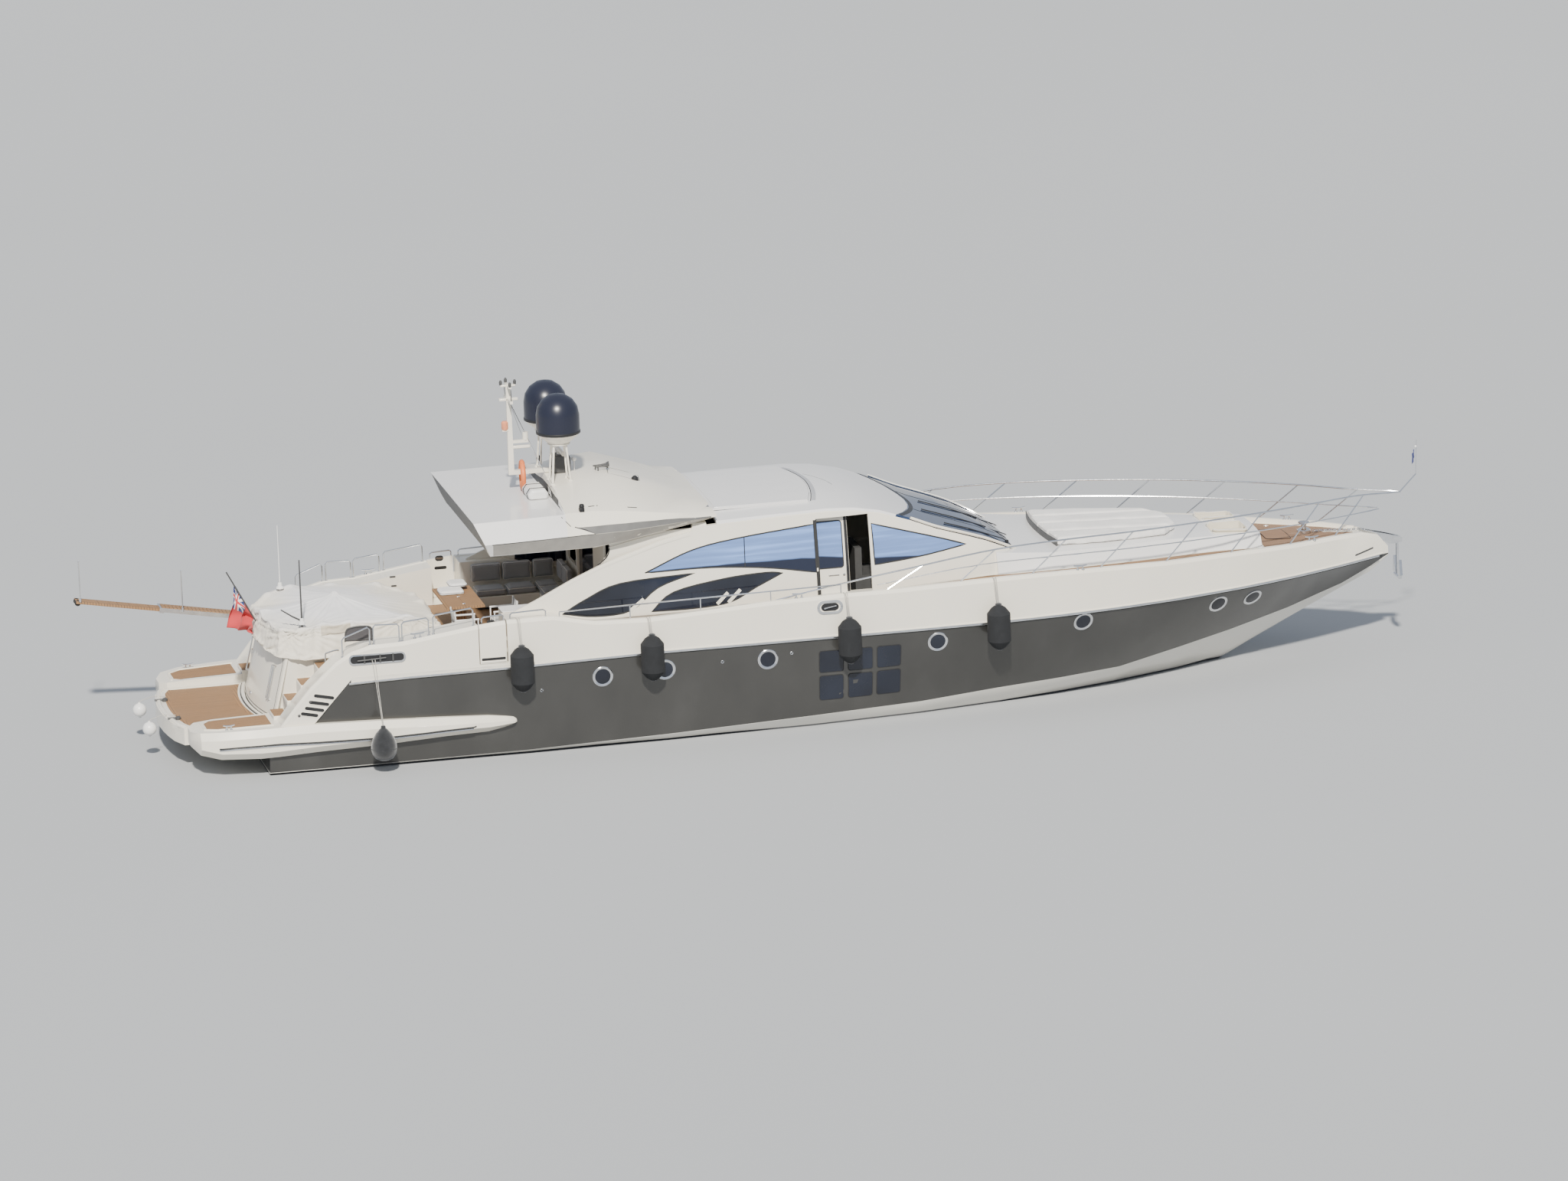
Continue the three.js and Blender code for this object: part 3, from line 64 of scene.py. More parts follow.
CAMERA_AT = Vector((-42.72, -205.71, 54.26))
BEARING, DIP, ROLL = math.radians(11.76), math.radians(13.89), math.radians(2.04)
FOCAL_PX, IMAGE_PX, SENSOR = 13350.0, 2048.0, 36.0


def add_object(name, data):
    made = bpy.data.objects.new(name, data)
    bpy.context.scene.collection.objects.link(made)
    return made


def make_camera():
    look = Vector((math.sin(BEARING) * math.cos(DIP), math.cos(BEARING) * math.cos(DIP), -math.sin(DIP)))
    level = Vector((math.cos(BEARING), -math.sin(BEARING), 0))
    up = level.cross(look)
    right = level * math.cos(ROLL) - up * math.sin(ROLL)
    top = up * math.cos(ROLL) + level * math.sin(ROLL)
    data = bpy.data.cameras.new("view")
    data.sensor_width = SENSOR
    data.lens = FOCAL_PX / IMAGE_PX * SENSOR
    data.clip_start, data.clip_end = 10, 1000
    camera = add_object("view", data)
    turn = Matrix((right, top, -look)).transposed().to_4x4()
    camera.matrix_world = Matrix.Translation(CAMERA_AT) @ turn
    bpy.context.scene.camera = camera


make_camera()

# Materials


class Look:
    """A material under construction: its node tree, its shader and shorthand for the nodes it needs."""

    def __init__(self, name, color, rough, metal=0.0, coat=0.0, sheen=0.0):
        self.mat = bpy.data.materials.new(name)
        self.mat.use_nodes = True
        self.tree = self.mat.node_tree
        self.shader = self.tree.nodes["Principled BSDF"]
        self.set("Base Color", (*color, 1))
        self.set("Roughness", rough)
        self.set("Metallic", metal)
        if coat:
            self.set("Coat Weight", coat)
            self.set("Coat Roughness", 0.08)
        if sheen:
            self.set("Sheen Weight", sheen)
        self.coords = self.node("ShaderNodeTexCoord").outputs["Object"]

    def set(self, socket, value):
        self.shader.inputs[socket].default_value = value

    def node(self, kind, **fields):
        made = self.tree.nodes.new(kind)
        for key, value in fields.items():
            setattr(made, key, value)
        return made

    def feed(self, target, value):
        if isinstance(value, bpy.types.NodeSocket):
            self.tree.links.new(value, target)
        else:
            target.default_value = value

    def axes(self):
        split = self.node("ShaderNodeSeparateXYZ")
        self.feed(split.inputs[0], self.coords)
        return split.outputs

    def math(self, op, a, b=0.0):
        made = self.node("ShaderNodeMath", operation=op)
        self.feed(made.inputs[0], a)
        self.feed(made.inputs[1], b)
        return made.outputs[0]

    def stretched(self, scale):
        made = self.node("ShaderNodeMapping")
        self.feed(made.inputs["Vector"], self.coords)
        made.inputs["Scale"].default_value = scale
        return made.outputs[0]

    def noise(self, scale, detail=3.0, vector=None, rough=0.5):
        made = self.node("ShaderNodeTexNoise")
        self.feed(made.inputs["Vector"], vector or self.coords)
        made.inputs["Scale"].default_value = scale
        made.inputs["Detail"].default_value = detail
        made.inputs["Roughness"].default_value = rough
        return made.outputs["Fac"]

    def ramp(self, factor, *stops):
        made = self.node("ShaderNodeValToRGB")
        self.feed(made.inputs[0], factor)
        band = made.color_ramp
        band.elements[0].position, band.elements[0].color = stops[0][0], (*stops[0][1], 1)
        band.elements[1].position, band.elements[1].color = stops[-1][0], (*stops[-1][1], 1)
        for at, color in stops[1:-1]:
            band.elements.new(at).color = (*color, 1)
        return made.outputs[0]

    def mix(self, factor, a, b):
        made = self.node("ShaderNodeMix", data_type="RGBA")
        self.feed(made.inputs[0], factor)
        for socket, value in ((made.inputs[6], a), (made.inputs[7], b)):
            self.feed(socket, value if isinstance(value, bpy.types.NodeSocket) else (*value, 1))
        return made.outputs[2]

    def spread(self, value, low, high, start=0.0, end=1.0):
        made = self.node("ShaderNodeMapRange")
        for socket, given in zip(made.inputs, (value, start, end, low, high)):
            self.feed(socket, given)
        return made.outputs[0]

    def threads(self, scale):
        made = self.node("ShaderNodeTexWave", wave_type="BANDS", bands_direction="DIAGONAL")
        self.feed(made.inputs["Vector"], self.coords)
        made.inputs["Scale"].default_value = scale
        return made.outputs["Fac"]

    def color(self, value):
        self.feed(self.shader.inputs["Base Color"], value)

    def rough(self, value):
        self.feed(self.shader.inputs["Roughness"], value)

    def bump(self, height, strength, distance):
        made = self.node("ShaderNodeBump")
        made.inputs["Strength"].default_value = strength
        made.inputs["Distance"].default_value = distance
        self.feed(made.inputs["Height"], height)
        self.feed(self.shader.inputs["Normal"], made.outputs[0])

    def gel_surface(self):
        self.rough(self.spread(self.noise(3.0), 0.24, 0.36))
        self.bump(self.noise(60.0, 2), 0.03, 0.001)
        return self.mat


# The cool white is painted shade: the cream gelcoat as it looks where the sun falls at a lower angle, used on
# the cabin roof, sunroof, foredeck trunk and the hardtop's low deck
CREAM, SHADED_WHITE, HULL_GREY = (0.80, 0.755, 0.65), (0.74, 0.73, 0.72), (0.062, 0.061, 0.058)
HARDTOP_STEP, PLANK = -4.99, 0.06
# Station and height of the spray chine, where the grey starts
CHINE = [(-11.5, 0.07), (-9.0, 0.08), (-6.0, 0.11), (-3.0, 0.185), (0.0, 0.285), (2.4, 0.345), (4.1, 0.435),
         (6.9, 0.505), (8.3, 0.695), (9.56, 0.855), (11.04, 1.065), (12.3, 1.435), (13.35, 1.975)]


def tinted(color, share):
    """A colour made darker or lighter by a share."""
    return tuple(c * share for c in color)


def gelcoat(name, color):
    look = Look(name, color, 0.28, coat=0.35)
    cloud = look.noise(0.7, 4)
    streak = look.noise(1.0, 3, look.stretched((5.0, 5.0, 0.5)))
    base = look.ramp(cloud, (0.3, tinted(color, 0.965)), (0.7, color))
    look.color(look.mix(look.spread(streak, 0.0, 0.10), base, tinted(color, 0.80)))
    return look.gel_surface()


def hardtop_finish():
    """Cream gelcoat on the raised part of the hardtop and cool white on the low deck behind it: painted shade
    where the sun falls at a lower angle.
    """
    look = Look("hardtop_gelcoat_painted_shade", CREAM, 0.28, coat=0.35)
    x, _, _ = look.axes()
    raised = look.math("GREATER_THAN", x, HARDTOP_STEP)
    cloud = look.noise(0.7, 4)
    # Painted shade: the low deck aft of the step in cool white
    aft = look.ramp(cloud, (0.3, tinted(SHADED_WHITE, 0.97)), (0.7, SHADED_WHITE))
    fore = look.ramp(cloud, (0.3, tinted(CREAM, 0.965)), (0.7, CREAM))
    streak = look.noise(1.0, 3, look.stretched((0.6, 5.0, 5.0)))
    look.color(look.mix(look.spread(streak, 0.0, 0.08), look.mix(raised, aft, fore), tinted(CREAM, 0.8)))
    return look.gel_surface()


def hull_paint():
    """Grey metallic sides, white below the spray chine and dark antifouling at the waterline."""
    grey, flakes, boot_top = HULL_GREY, 0.55, 0.045
    look = Look("grey_hull", grey, 0.32, metal=flakes, coat=0.5)
    x, _, z = look.axes()
    aft, length, tall = CHINE[0][0], CHINE[-1][0] - CHINE[0][0], 2.0
    curve = look.node("ShaderNodeFloatCurve")
    look.feed(curve.inputs[1], look.math("DIVIDE", look.math("SUBTRACT", x, aft), length))
    points = curve.mapping.curves[0].points
    points[0].location = (0.0, CHINE[0][1] / tall)
    points[1].location = (1.0, CHINE[-1][1] / tall)
    for at, level in CHINE[1:-1]:
        points.new((at - aft) / length, level / tall).handle_type = "VECTOR"
    curve.mapping.update()
    below_chine = look.math("LESS_THAN", z, look.math("MULTIPLY", curve.outputs[0], tall))
    below_water = look.math("LESS_THAN", z, boot_top)
    cloud = look.noise(0.9, 5, look.stretched((1.0, 1.0, 0.6)))
    shade = look.ramp(cloud, (0.3, tinted(grey, 0.84)), (0.55, grey), (0.75, tinted(grey, 1.25)))
    flake = look.noise(700.0, 1)
    shade = look.mix(look.spread(flake, 0.0, 0.25), shade, tinted(grey, 1.6))
    white = look.mix(below_chine, shade, (0.70, 0.68, 0.62))
    look.color(look.mix(below_water, white, (0.018, 0.022, 0.03)))
    look.feed(look.shader.inputs["Metallic"],
              look.math("MULTIPLY", look.math("SUBTRACT", 1.0, below_chine), flakes))
    look.rough(look.spread(look.noise(2.0), 0.26, 0.4))
    look.bump(look.noise(0.8, 2), 0.06, 0.03)
    return look.mat


def teak(name, axis, tone=(0.27, 0.14, 0.055), liner_above=None):
    """Caulked planks side by side across an axis, grain along them, under a cream liner above a height."""
    look = Look(name, tone, 0.7)
    sockets = look.axes()
    place = look.math("DIVIDE", sockets[axis], PLANK)
    plank = look.math("FLOOR", place)
    inside = look.math("SUBTRACT", place, plank)
    seam = look.math("LESS_THAN", look.math("ABSOLUTE", look.math("SUBTRACT", inside, 0.5)), 0.43)
    tint = look.node("ShaderNodeTexWhiteNoise", noise_dimensions="1D")
    look.feed(tint.inputs["W"], plank)
    along = (0.8, 14.0, 14.0) if axis == 1 else (14.0, 0.8, 14.0)
    grain = look.noise(6.0, 5, look.stretched(along), 0.6)
    cloud = look.noise(1.3, 3)
    wood = look.ramp(grain, (0.3, tinted(tone, 0.78)), (0.7, tinted(tone, 1.18)))
    wood = look.mix(look.spread(tint.outputs["Value"], 0.0, 0.35), wood, tinted(tone, 1.35))
    wood = look.mix(look.spread(cloud, 0.0, 0.3), wood, (0.31, 0.225, 0.145))
    deck = look.mix(seam, (0.05, 0.04, 0.035), wood)
    relief = look.math("ADD", seam, look.math("MULTIPLY", grain, 0.2))
    if liner_above is not None:
        liner = look.math("GREATER_THAN", sockets[2], liner_above)
        deck = look.mix(liner, deck, look.ramp(cloud, (0.3, tinted(CREAM, 0.94)), (0.7, CREAM)))
        relief = look.math("MULTIPLY", relief, look.math("SUBTRACT", 1.0, liner))
        look.rough(look.math("SUBTRACT", 0.7, look.math("MULTIPLY", liner, 0.4)))
    look.color(deck)
    look.bump(relief, 0.35, 0.002)
    return look.mat


def steel():
    look = Look("polished_steel", (0.74, 0.75, 0.76), 0.16, metal=1.0)
    look.rough(look.spread(look.noise(25.0), 0.1, 0.24))
    look.color(look.ramp(look.noise(6.0), (0.3, (0.66, 0.67, 0.69)), (0.7, (0.8, 0.81, 0.82))))
    return look.mat


def glass_with_painted_reflection(name, sill, dark, light, fall=0.0, shine=1.0):
    """Tinted glass with painted reflections: deep navy up to a wavy height that falls towards the bow, the
    glass's own tint with the shore's reflection painted in, and painted sky reflection in blue bands above
    it.
    """
    look = Look(name, light, 0.06, coat=shine)
    x, _, z = look.axes()
    forward = look.math("MAXIMUM", x, 0.0)
    level = look.math("ADD", z, look.math("MULTIPLY", forward, fall))
    # The wavy line is the painted reflection of the shore's silhouette
    shore_reflection_wave = look.noise(0.9, 3, look.stretched((0.5, 0.5, 1.0)))
    reflection_line = look.math("ADD", level, look.math("MULTIPLY", shore_reflection_wave, 0.14))
    rise = look.spread(reflection_line, 0.0, 1.0, sill + 0.055, sill + 0.085)
    # Painted reflection of the sky, in bands
    sky_reflection_bands = look.noise(1.3, 3, look.stretched((0.35, 0.35, 7.0)))
    sky = look.ramp(sky_reflection_bands, (0.36, tinted(light, 0.9)), (0.52, light), (0.7, tinted(light, 1.45)))
    look.color(look.mix(rise, dark, sky))
    return look.mat


def black_glass():
    look = Look("black_glass", (0.008, 0.01, 0.018), 0.06, coat=0.15)
    look.color(look.ramp(look.noise(0.6, 3), (0.3, (0.004, 0.005, 0.009)), (0.7, (0.014, 0.018, 0.032))))
    look.rough(look.spread(look.noise(4.0), 0.04, 0.1))
    return look.mat


def cloth(name, color, weave):
    look = Look(name, color, 0.88, sheen=0.25)
    look.color(look.ramp(look.noise(2.2, 5), (0.3, tinted(color, 0.9)), (0.7, tinted(color, 1.05))))
    look.bump(look.math("MULTIPLY", look.threads(weave), 0.15), 0.4, 0.004)
    return look.mat


def cover_finish():
    """Boat canvas: cool white on its flat top panels and creamier down its sides."""
    look = Look("cover_canvas", (0.72, 0.71, 0.7), 0.9, sheen=0.2)
    _, _, z = look.axes()
    high = look.spread(z, 0.0, 1.0, 2.72, 2.92)
    cloud = look.noise(2.0, 5)
    side = look.ramp(cloud, (0.3, (0.7, 0.65, 0.55)), (0.7, (0.77, 0.72, 0.62)))
    top = look.ramp(cloud, (0.3, (0.67, 0.66, 0.66)), (0.7, (0.74, 0.73, 0.73)))
    look.color(look.mix(high, side, top))
    creases = look.noise(4.5, 4, look.stretched((1.0, 1.0, 2.2)))
    look.bump(look.math("ADD", look.math("MULTIPLY", look.threads(300.0), 0.12), creases), 0.3, 0.01)
    return look.mat


def plastic(name, color, rough, coat=0.0, speckle=0.1):
    look = Look(name, color, rough, coat=coat)
    look.color(look.ramp(look.noise(5.0, 4), (0.3, tinted(color, 1 - speckle)),
                         (0.7, tinted(color, 1 + speckle))))
    look.rough(look.spread(look.noise(9.0), rough * 0.85, min(1.0, rough * 1.2)))
    look.bump(look.noise(90.0, 2), 0.05, 0.001)
    return look.mat


def knitted():
    look = Look("knitted_cover", (0.011, 0.012, 0.014), 0.93, sheen=0.5)
    cells = look.node("ShaderNodeTexVoronoi")
    look.feed(cells.inputs["Vector"], look.coords)
    cells.inputs["Scale"].default_value = 90
    look.color(look.ramp(look.noise(7.0, 4), (0.3, (0.008, 0.009, 0.011)), (0.7, (0.02, 0.021, 0.024))))
    look.bump(cells.outputs["Distance"], 0.5, 0.004)
    return look.mat


def bronze():
    look = Look("cast_bronze", (0.45, 0.31, 0.13), 0.38, metal=1.0)
    look.color(look.ramp(look.noise(8.0, 5), (0.3, (0.33, 0.22, 0.1)), (0.7, (0.55, 0.4, 0.18))))
    look.bump(look.noise(40.0, 3), 0.15, 0.002)
    return look.mat


M = {
    "cream": gelcoat("cream_gelcoat", CREAM),
    # Cool white gelcoat: painted shade of the cream one
    "cool": gelcoat("shaded_white_gelcoat", SHADED_WHITE),
    "hardtop": hardtop_finish(),
    # Grey gelcoat that paints shade: in the sunroof's recess, and with the non-slip face on the stair risers
    "grey_shade": gelcoat("grey_gelcoat_painted_shade", (0.42, 0.42, 0.43)),
    "sole": teak("cockpit_sole_finish", 1, liner_above=2.051),
    "navy_cloth": cloth("navy_piping", (0.02, 0.025, 0.06), 300.0),
    "hull": hull_paint(),
    "taupe": plastic("taupe_metallic_band", (0.3, 0.285, 0.26), 0.36, coat=0.4, speckle=0.08),
    "grey": plastic("grey_metallic_band", (0.125, 0.122, 0.116), 0.42, coat=0.4, speckle=0.08),
    "teak": teak("teak_fore_and_aft", 1),
    "teak_across": teak("teak_athwart", 0),
    "teak_dark": teak("teak_wet", 1, (0.24, 0.13, 0.07)),
    "steel": steel(),
    # Window and windscreen glass with painted sky and shore reflections
    "blue_glass": glass_with_painted_reflection("window_painted_reflection", 3.58, (0.009, 0.012, 0.028), (0.15, 0.25, 0.52), fall=0.085),
    "screen": glass_with_painted_reflection("windscreen_painted_reflection", 3.3, (0.01, 0.016, 0.04), (0.018, 0.034, 0.08), shine=0.25),
    "black_glass": black_glass(),
    "black": plastic("black_trim", (0.012, 0.012, 0.013), 0.45),
    "dark": plastic("dark_grey_trim", (0.06, 0.06, 0.06), 0.5),
    "navy": plastic("navy_shell", (0.012, 0.014, 0.028), 0.3, coat=0.6),
    "knit": knitted(),
    "cover": cover_finish(),
    "flap": cloth("cover_flap", (0.56, 0.5, 0.4), 300.0),
    "sofa": cloth("sofa_cloth", (0.26, 0.255, 0.25), 240.0),
    "pad": cloth("pad_cloth", (0.74, 0.72, 0.69), 240.0),
    "beige": cloth("beige_pad_cloth", (0.6, 0.54, 0.42), 240.0),
    "mesh": cloth("dark_woven_mesh", (0.07, 0.065, 0.07), 400.0),
    "chair_mesh": cloth("light_woven_mesh", (0.42, 0.42, 0.41), 400.0),
    "red": cloth("red_bunting", (0.5, 0.04, 0.045), 500.0),
    "blue_cloth": cloth("blue_bunting", (0.03, 0.04, 0.16), 500.0),
    "white_cloth": cloth("white_bunting", (0.75, 0.74, 0.72), 500.0),
    "rope": cloth("grey_rope", (0.42, 0.4, 0.36), 60.0),
    "bronze": bronze(),
    "rubber": plastic("black_rubber", (0.02, 0.02, 0.02), 0.75),
    "lamp": plastic("lamp_lens", (0.7, 0.25, 0.12), 0.2, coat=0.6),
    "white": plastic("white_paint", (0.78, 0.77, 0.75), 0.35, coat=0.3, speckle=0.04),
    "orange": plastic("orange_buoy", (0.72, 0.18, 0.05), 0.5, speckle=0.12),
}

# Finish of each family of CAD nodes
NODE_LOOKS = {family: look for look, families in {
    "hull": "hull",
    "cream": "topsides bulwark_door cabin_side side_door saloon_bulkhead swim_platform side_pod"
             " stern_moulding garage_lid mast",
    "cool": "cabin_roof sunroof_panel foredeck_trunk",
    "hardtop": "hardtop",
    "sole": "cockpit_sole",
    "screen": "windscreen",
    "blue_glass": "aft_side_glass forward_side_glass",
    "black_glass": "saloon_door",
    "cover": "sunbed_cover",
    "teak_across": "cockpit_table passerelle_slide",
    "pad": "cockpit_sofa foredeck_sunpad",
    "beige": "bow_locker_lid",
    "white": "deck_chair",
    "dark": "helm_station ensign_staff",
    "black": "helm_wheel",
    "steel": "windlass bow_roller anchor bow_rail side_handrail passerelle shaft rudder",
    "navy": "satellite_dome",
    "bronze": "propeller",
    "knit": "fender",
    "red": "ensign",
}.items() for family in families.split()}


def look_of(node):
    names = [key for key in NODE_LOOKS if node == key or node.startswith(key + "_")]
    return NODE_LOOKS[max(names, key=len)]


NODE_BEND, PIECE_BEND = math.radians(28), math.radians(32)
for node_name, node_object in NODES.items():
    node_object.data.materials.clear()
    node_object.data.materials.append(M[look_of(node_name)])
    node_object.data.shade_smooth()
    node_object.modifiers.new("weld", "WELD").merge_threshold = 0.00005
    node_object.modifiers.new("crease", "EDGE_SPLIT").split_angle = NODE_BEND

# Geometry helpers, in metres: shapes are (vertices, faces) of a closed shell


def piece(name, look, *parts, body="boat", bevel=0.0):
    """One object of closed shells in one finish, riding on a body."""
    verts, faces = [], []
    for part_verts, part_faces in parts:
        start = len(verts)
        verts += [tuple(v) for v in part_verts]
        faces += [tuple(start + i for i in face) for face in part_faces]
    mesh = bpy.data.meshes.new(name)
    mesh.from_pydata(verts, [], faces)
    work = bmesh.new()
    work.from_mesh(mesh)
    bmesh.ops.recalc_face_normals(work, faces=work.faces[:])
    work.to_mesh(mesh)
    work.free()
    mesh.shade_smooth()
    mesh.set_sharp_from_angle(angle=PIECE_BEND)
    mesh.materials.append(M[look])
    made = add_object(name, mesh)
    if bevel:
        edge = made.modifiers.new("edge", "BEVEL")
        edge.width, edge.segments, edge.limit_method = bevel, 2, "ANGLE"
    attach(made, body)
    return made


def frame_of(axis):
    """Two directions square to an axis, and the axis itself."""
    n = Vector(axis).normalized()
    u = (Vector((0, 0, 1)) if abs(n.z) < 0.9 else Vector((1, 0, 0))).cross(n).normalized()
    return u, n.cross(u), n


def loft(rings):
    """A skin over rings of points, closed at both ends."""
    count = len(rings[0])
    verts = [Vector(p) for ring in rings for p in ring]
    faces = [tuple(reversed(range(count))), tuple(range(len(verts) - count, len(verts)))]
    for i in range(len(rings) - 1):
        for j in range(count):
            a, b = i * count + j, i * count + (j + 1) % count
            faces.append((a, b, b + count, a + count))
    return verts, faces


def block(low, high):
    (x0, y0, z0), (x1, y1, z1) = low, high
    return loft([[(x, y0, z0), (x, y1, z0), (x, y1, z1), (x, y0, z1)] for x in (x0, x1)])


def prism(outline, axis, low, high):
    """A flat outline drawn out from one level to another along an axis."""
    order = {"x": (2, 0, 1), "y": (0, 2, 1), "z": (0, 1, 2)}[axis]
    return loft([[tuple((u, v, w)[k] for k in order) for u, v in outline] for w in (low, high)])


def lathe(profile, at, axis=(0, 0, 1), sides=24):
    """A turned shape: profile points are radius and height along the axis from its foot."""
    u, v, n = frame_of(axis)
    at = Vector(at)
    verts, rings, faces = [], [], []
    for radius, height in profile:
        start = len(verts)
        if radius < 1e-6:
            verts.append(at + n * height)
        else:
            turns = [2 * math.pi * k / sides for k in range(sides)]
            verts += [at + n * height + (u * math.cos(t) + v * math.sin(t)) * radius for t in turns]
        rings.append(list(range(start, len(verts))))
    pairs = list(zip(rings, rings[1:]))
    if profile[0][0] > 1e-6:
        pairs.append((rings[-1], rings[0]))
    for low, high in pairs:
        for j in range(sides):
            k = (j + 1) % sides
            quad = (low[j % len(low)], low[k % len(low)], high[k % len(high)], high[j % len(high)])
            faces.append(tuple(dict.fromkeys(quad)))
    return verts, faces


def ball(at, radius, sides=24):
    steps = 12
    profile = [(radius * math.sin(math.pi * i / steps), -radius * math.cos(math.pi * i / steps))
               for i in range(steps + 1)]
    profile[0], profile[-1] = (0, -radius), (0, radius)
    return lathe(profile, at, sides=sides)


def spline(points, per=6):
    """A smooth line through points, with so many steps from each to the next."""
    points = [Vector(p) for p in points]
    padded = [points[0] * 2 - points[1], *points, points[-1] * 2 - points[-2]]
    made = []
    for i in range(1, len(padded) - 2):
        p0, p1, p2, p3 = padded[i - 1 : i + 3]
        for k in range(per):
            t = k / per
            made.append(0.5 * (2 * p1 + (p2 - p0) * t + (2 * p0 - 5 * p1 + 4 * p2 - p3) * t**2
                               + (3 * p1 - p0 - 3 * p2 + p3) * t**3))
    return [*made, points[-1]]


def pipe(points, radius, sides=8, smooth=False, closed=False):
    """A round bar along a path; radius may be a function of the share of the path."""
    path = spline(points) if smooth else [Vector(p) for p in points]
    count = len(path)
    width = radius if callable(radius) else lambda share: radius
    rings, u = [], None
    for i, at in enumerate(path):
        before, after = path[max(0, i - 1)], path[min(count - 1, i + 1)]
        if closed:
            before, after = path[i - 1], path[(i + 1) % count]
        along = (after - before).normalized()
        u = frame_of(along)[0] if u is None else (u - along * u.dot(along)).normalized()
        v = along.cross(u)
        turns = [2 * math.pi * k / sides for k in range(sides)]
        rings.append([at + (u * math.cos(t) + v * math.sin(t)) * width(i / max(1, count - 1))
                      for t in turns])
    verts, faces = loft(rings)
    if closed:
        last = len(verts) - sides
        faces = faces[2:] + [(last + j, last + (j + 1) % sides, (j + 1) % sides, j) for j in range(sides)]
    return verts, faces


# Search trees of CAD surfaces by the names of their nodes, and two of the ways they are looked at: the axis
# and the side of it that the viewer is on
TREES = {}
ABOVE, ASTERN = ("z", 1), ("x", -1)


def surface(names):
    """The search tree of one or more CAD nodes."""
    if names not in TREES:
        verts, faces = [], []
        for name in names:
            mesh = NODES[name].data
            start = len(verts)
            verts += [v.co.copy() for v in mesh.vertices]
            faces += [[start + i for i in p.vertices] for p in mesh.polygons]
        TREES[names] = BVHTree.FromPolygons(verts, faces)
    return TREES[names]


def onto(names, u, v, facing):
    """The point of CAD nodes first met from outside along an axis, its normal, and the way out."""
    axis, sign = facing
    start = {"y": (u, sign * 9, v), "z": (u, v, sign * 9), "x": (sign * 20, u, v)}[axis]
    out = Vector({"y": (0, sign, 0), "z": (0, 0, sign), "x": (sign, 0, 0)}[axis])
    hit, normal, _, _ = surface(names).ray_cast(Vector(start), -out)
    if hit is None:
        raise ValueError(f"nothing of {names} at {u:.3f}, {v:.3f} seen along {axis}")
    return hit, normal, out


def slab(outline, head, foot, step=0.25):
    """A closed sheet under a flat outline, between two surfaces that are functions of its plane."""
    work = bmesh.new()
    work.faces.new([work.verts.new((u, v, 0)) for u, v in outline])
    bmesh.ops.triangulate(work, faces=work.faces[:], ngon_method="BEAUTY")
    for axis in (0, 1):
        values = [p[axis] for p in outline]
        for k in range(1, int((max(values) - min(values)) / step) + 1):
            at, normal = Vector(), Vector()
            at[axis], normal[axis] = min(values) + k * step, 1
            everything = work.verts[:] + work.edges[:] + work.faces[:]
            bmesh.ops.bisect_plane(work, geom=everything, plane_co=at, plane_no=normal)
    work.verts.index_update()
    top = [Vector(head(v.co.x, v.co.y)) for v in work.verts]
    base = [Vector(foot(v.co.x, v.co.y)) for v in work.verts]
    count = len(top)
    faces = [tuple(v.index for v in f.verts) for f in work.faces]
    faces += [tuple(count + i for i in reversed(face)) for face in faces]
    for edge in work.edges:
        if len(edge.link_faces) == 1:
            a, b = (v.index for v in edge.verts)
            faces.append((a, b, count + b, count + a))
    work.free()
    return top + base, faces


def patch(outline, names, facing, lift=0.004, thick=0.012, step=0.25):
    """A thin shell that lies on CAD nodes under a flat outline."""

    def raised(height):
        def level(u, v):
            hit, _, out = onto(names, u, v, facing)
            return hit + out * height

        return level

    return slab(outline, raised(lift), raised(lift - thick), step)


def ribbon(points, width, names, facing, lift=0.004, thick=0.012, step=0.25, closed=False):
    """A thin band of one width along a path on CAD nodes."""
    path = [Vector((*p, 0)) for p in points]
    dense = []
    for a, b in zip(path, path[1:] + path[:1] if closed else path[1:]):
        parts = max(1, math.ceil((b - a).length / step))
        dense += [a.lerp(b, k / parts) for k in range(parts)]
    if not closed:
        dense.append(path[-1])
    rings = []
    for i, at in enumerate(dense):
        last = len(dense) - 1
        before = dense[i - 1] if closed or i else at
        after = dense[(i + 1) % len(dense)] if closed or i < last else at
        along = (after - before).normalized()
        across = Vector((-along.y, along.x, 0)) * (width / 2)
        sides = [onto(names, *(at + across * s).to_2d(), facing) for s in (1, -1)]
        rings.append([h + o * lift for h, _, o in sides]
                     + [h + o * (lift - thick) for h, _, o in reversed(sides)])
    verts, faces = loft(rings)
    if closed:
        last = len(verts) - 4
        faces = faces[2:] + [(last + j, last + (j + 1) % 4, (j + 1) % 4, j) for j in range(4)]
    return verts, faces


def rounded(x0, x1, z0, z1, radius, per=4):
    """The outline of a rectangle with round corners."""
    corners = [(x1 - radius, z1 - radius, 0), (x0 + radius, z1 - radius, 90),
               (x0 + radius, z0 + radius, 180), (x1 - radius, z0 + radius, 270)]
    made = []
    for cx, cz, start in corners:
        for k in range(per + 1):
            turn = math.radians(start + 90 * k / per)
            made.append((cx + radius * math.cos(turn), cz + radius * math.sin(turn)))
    return made


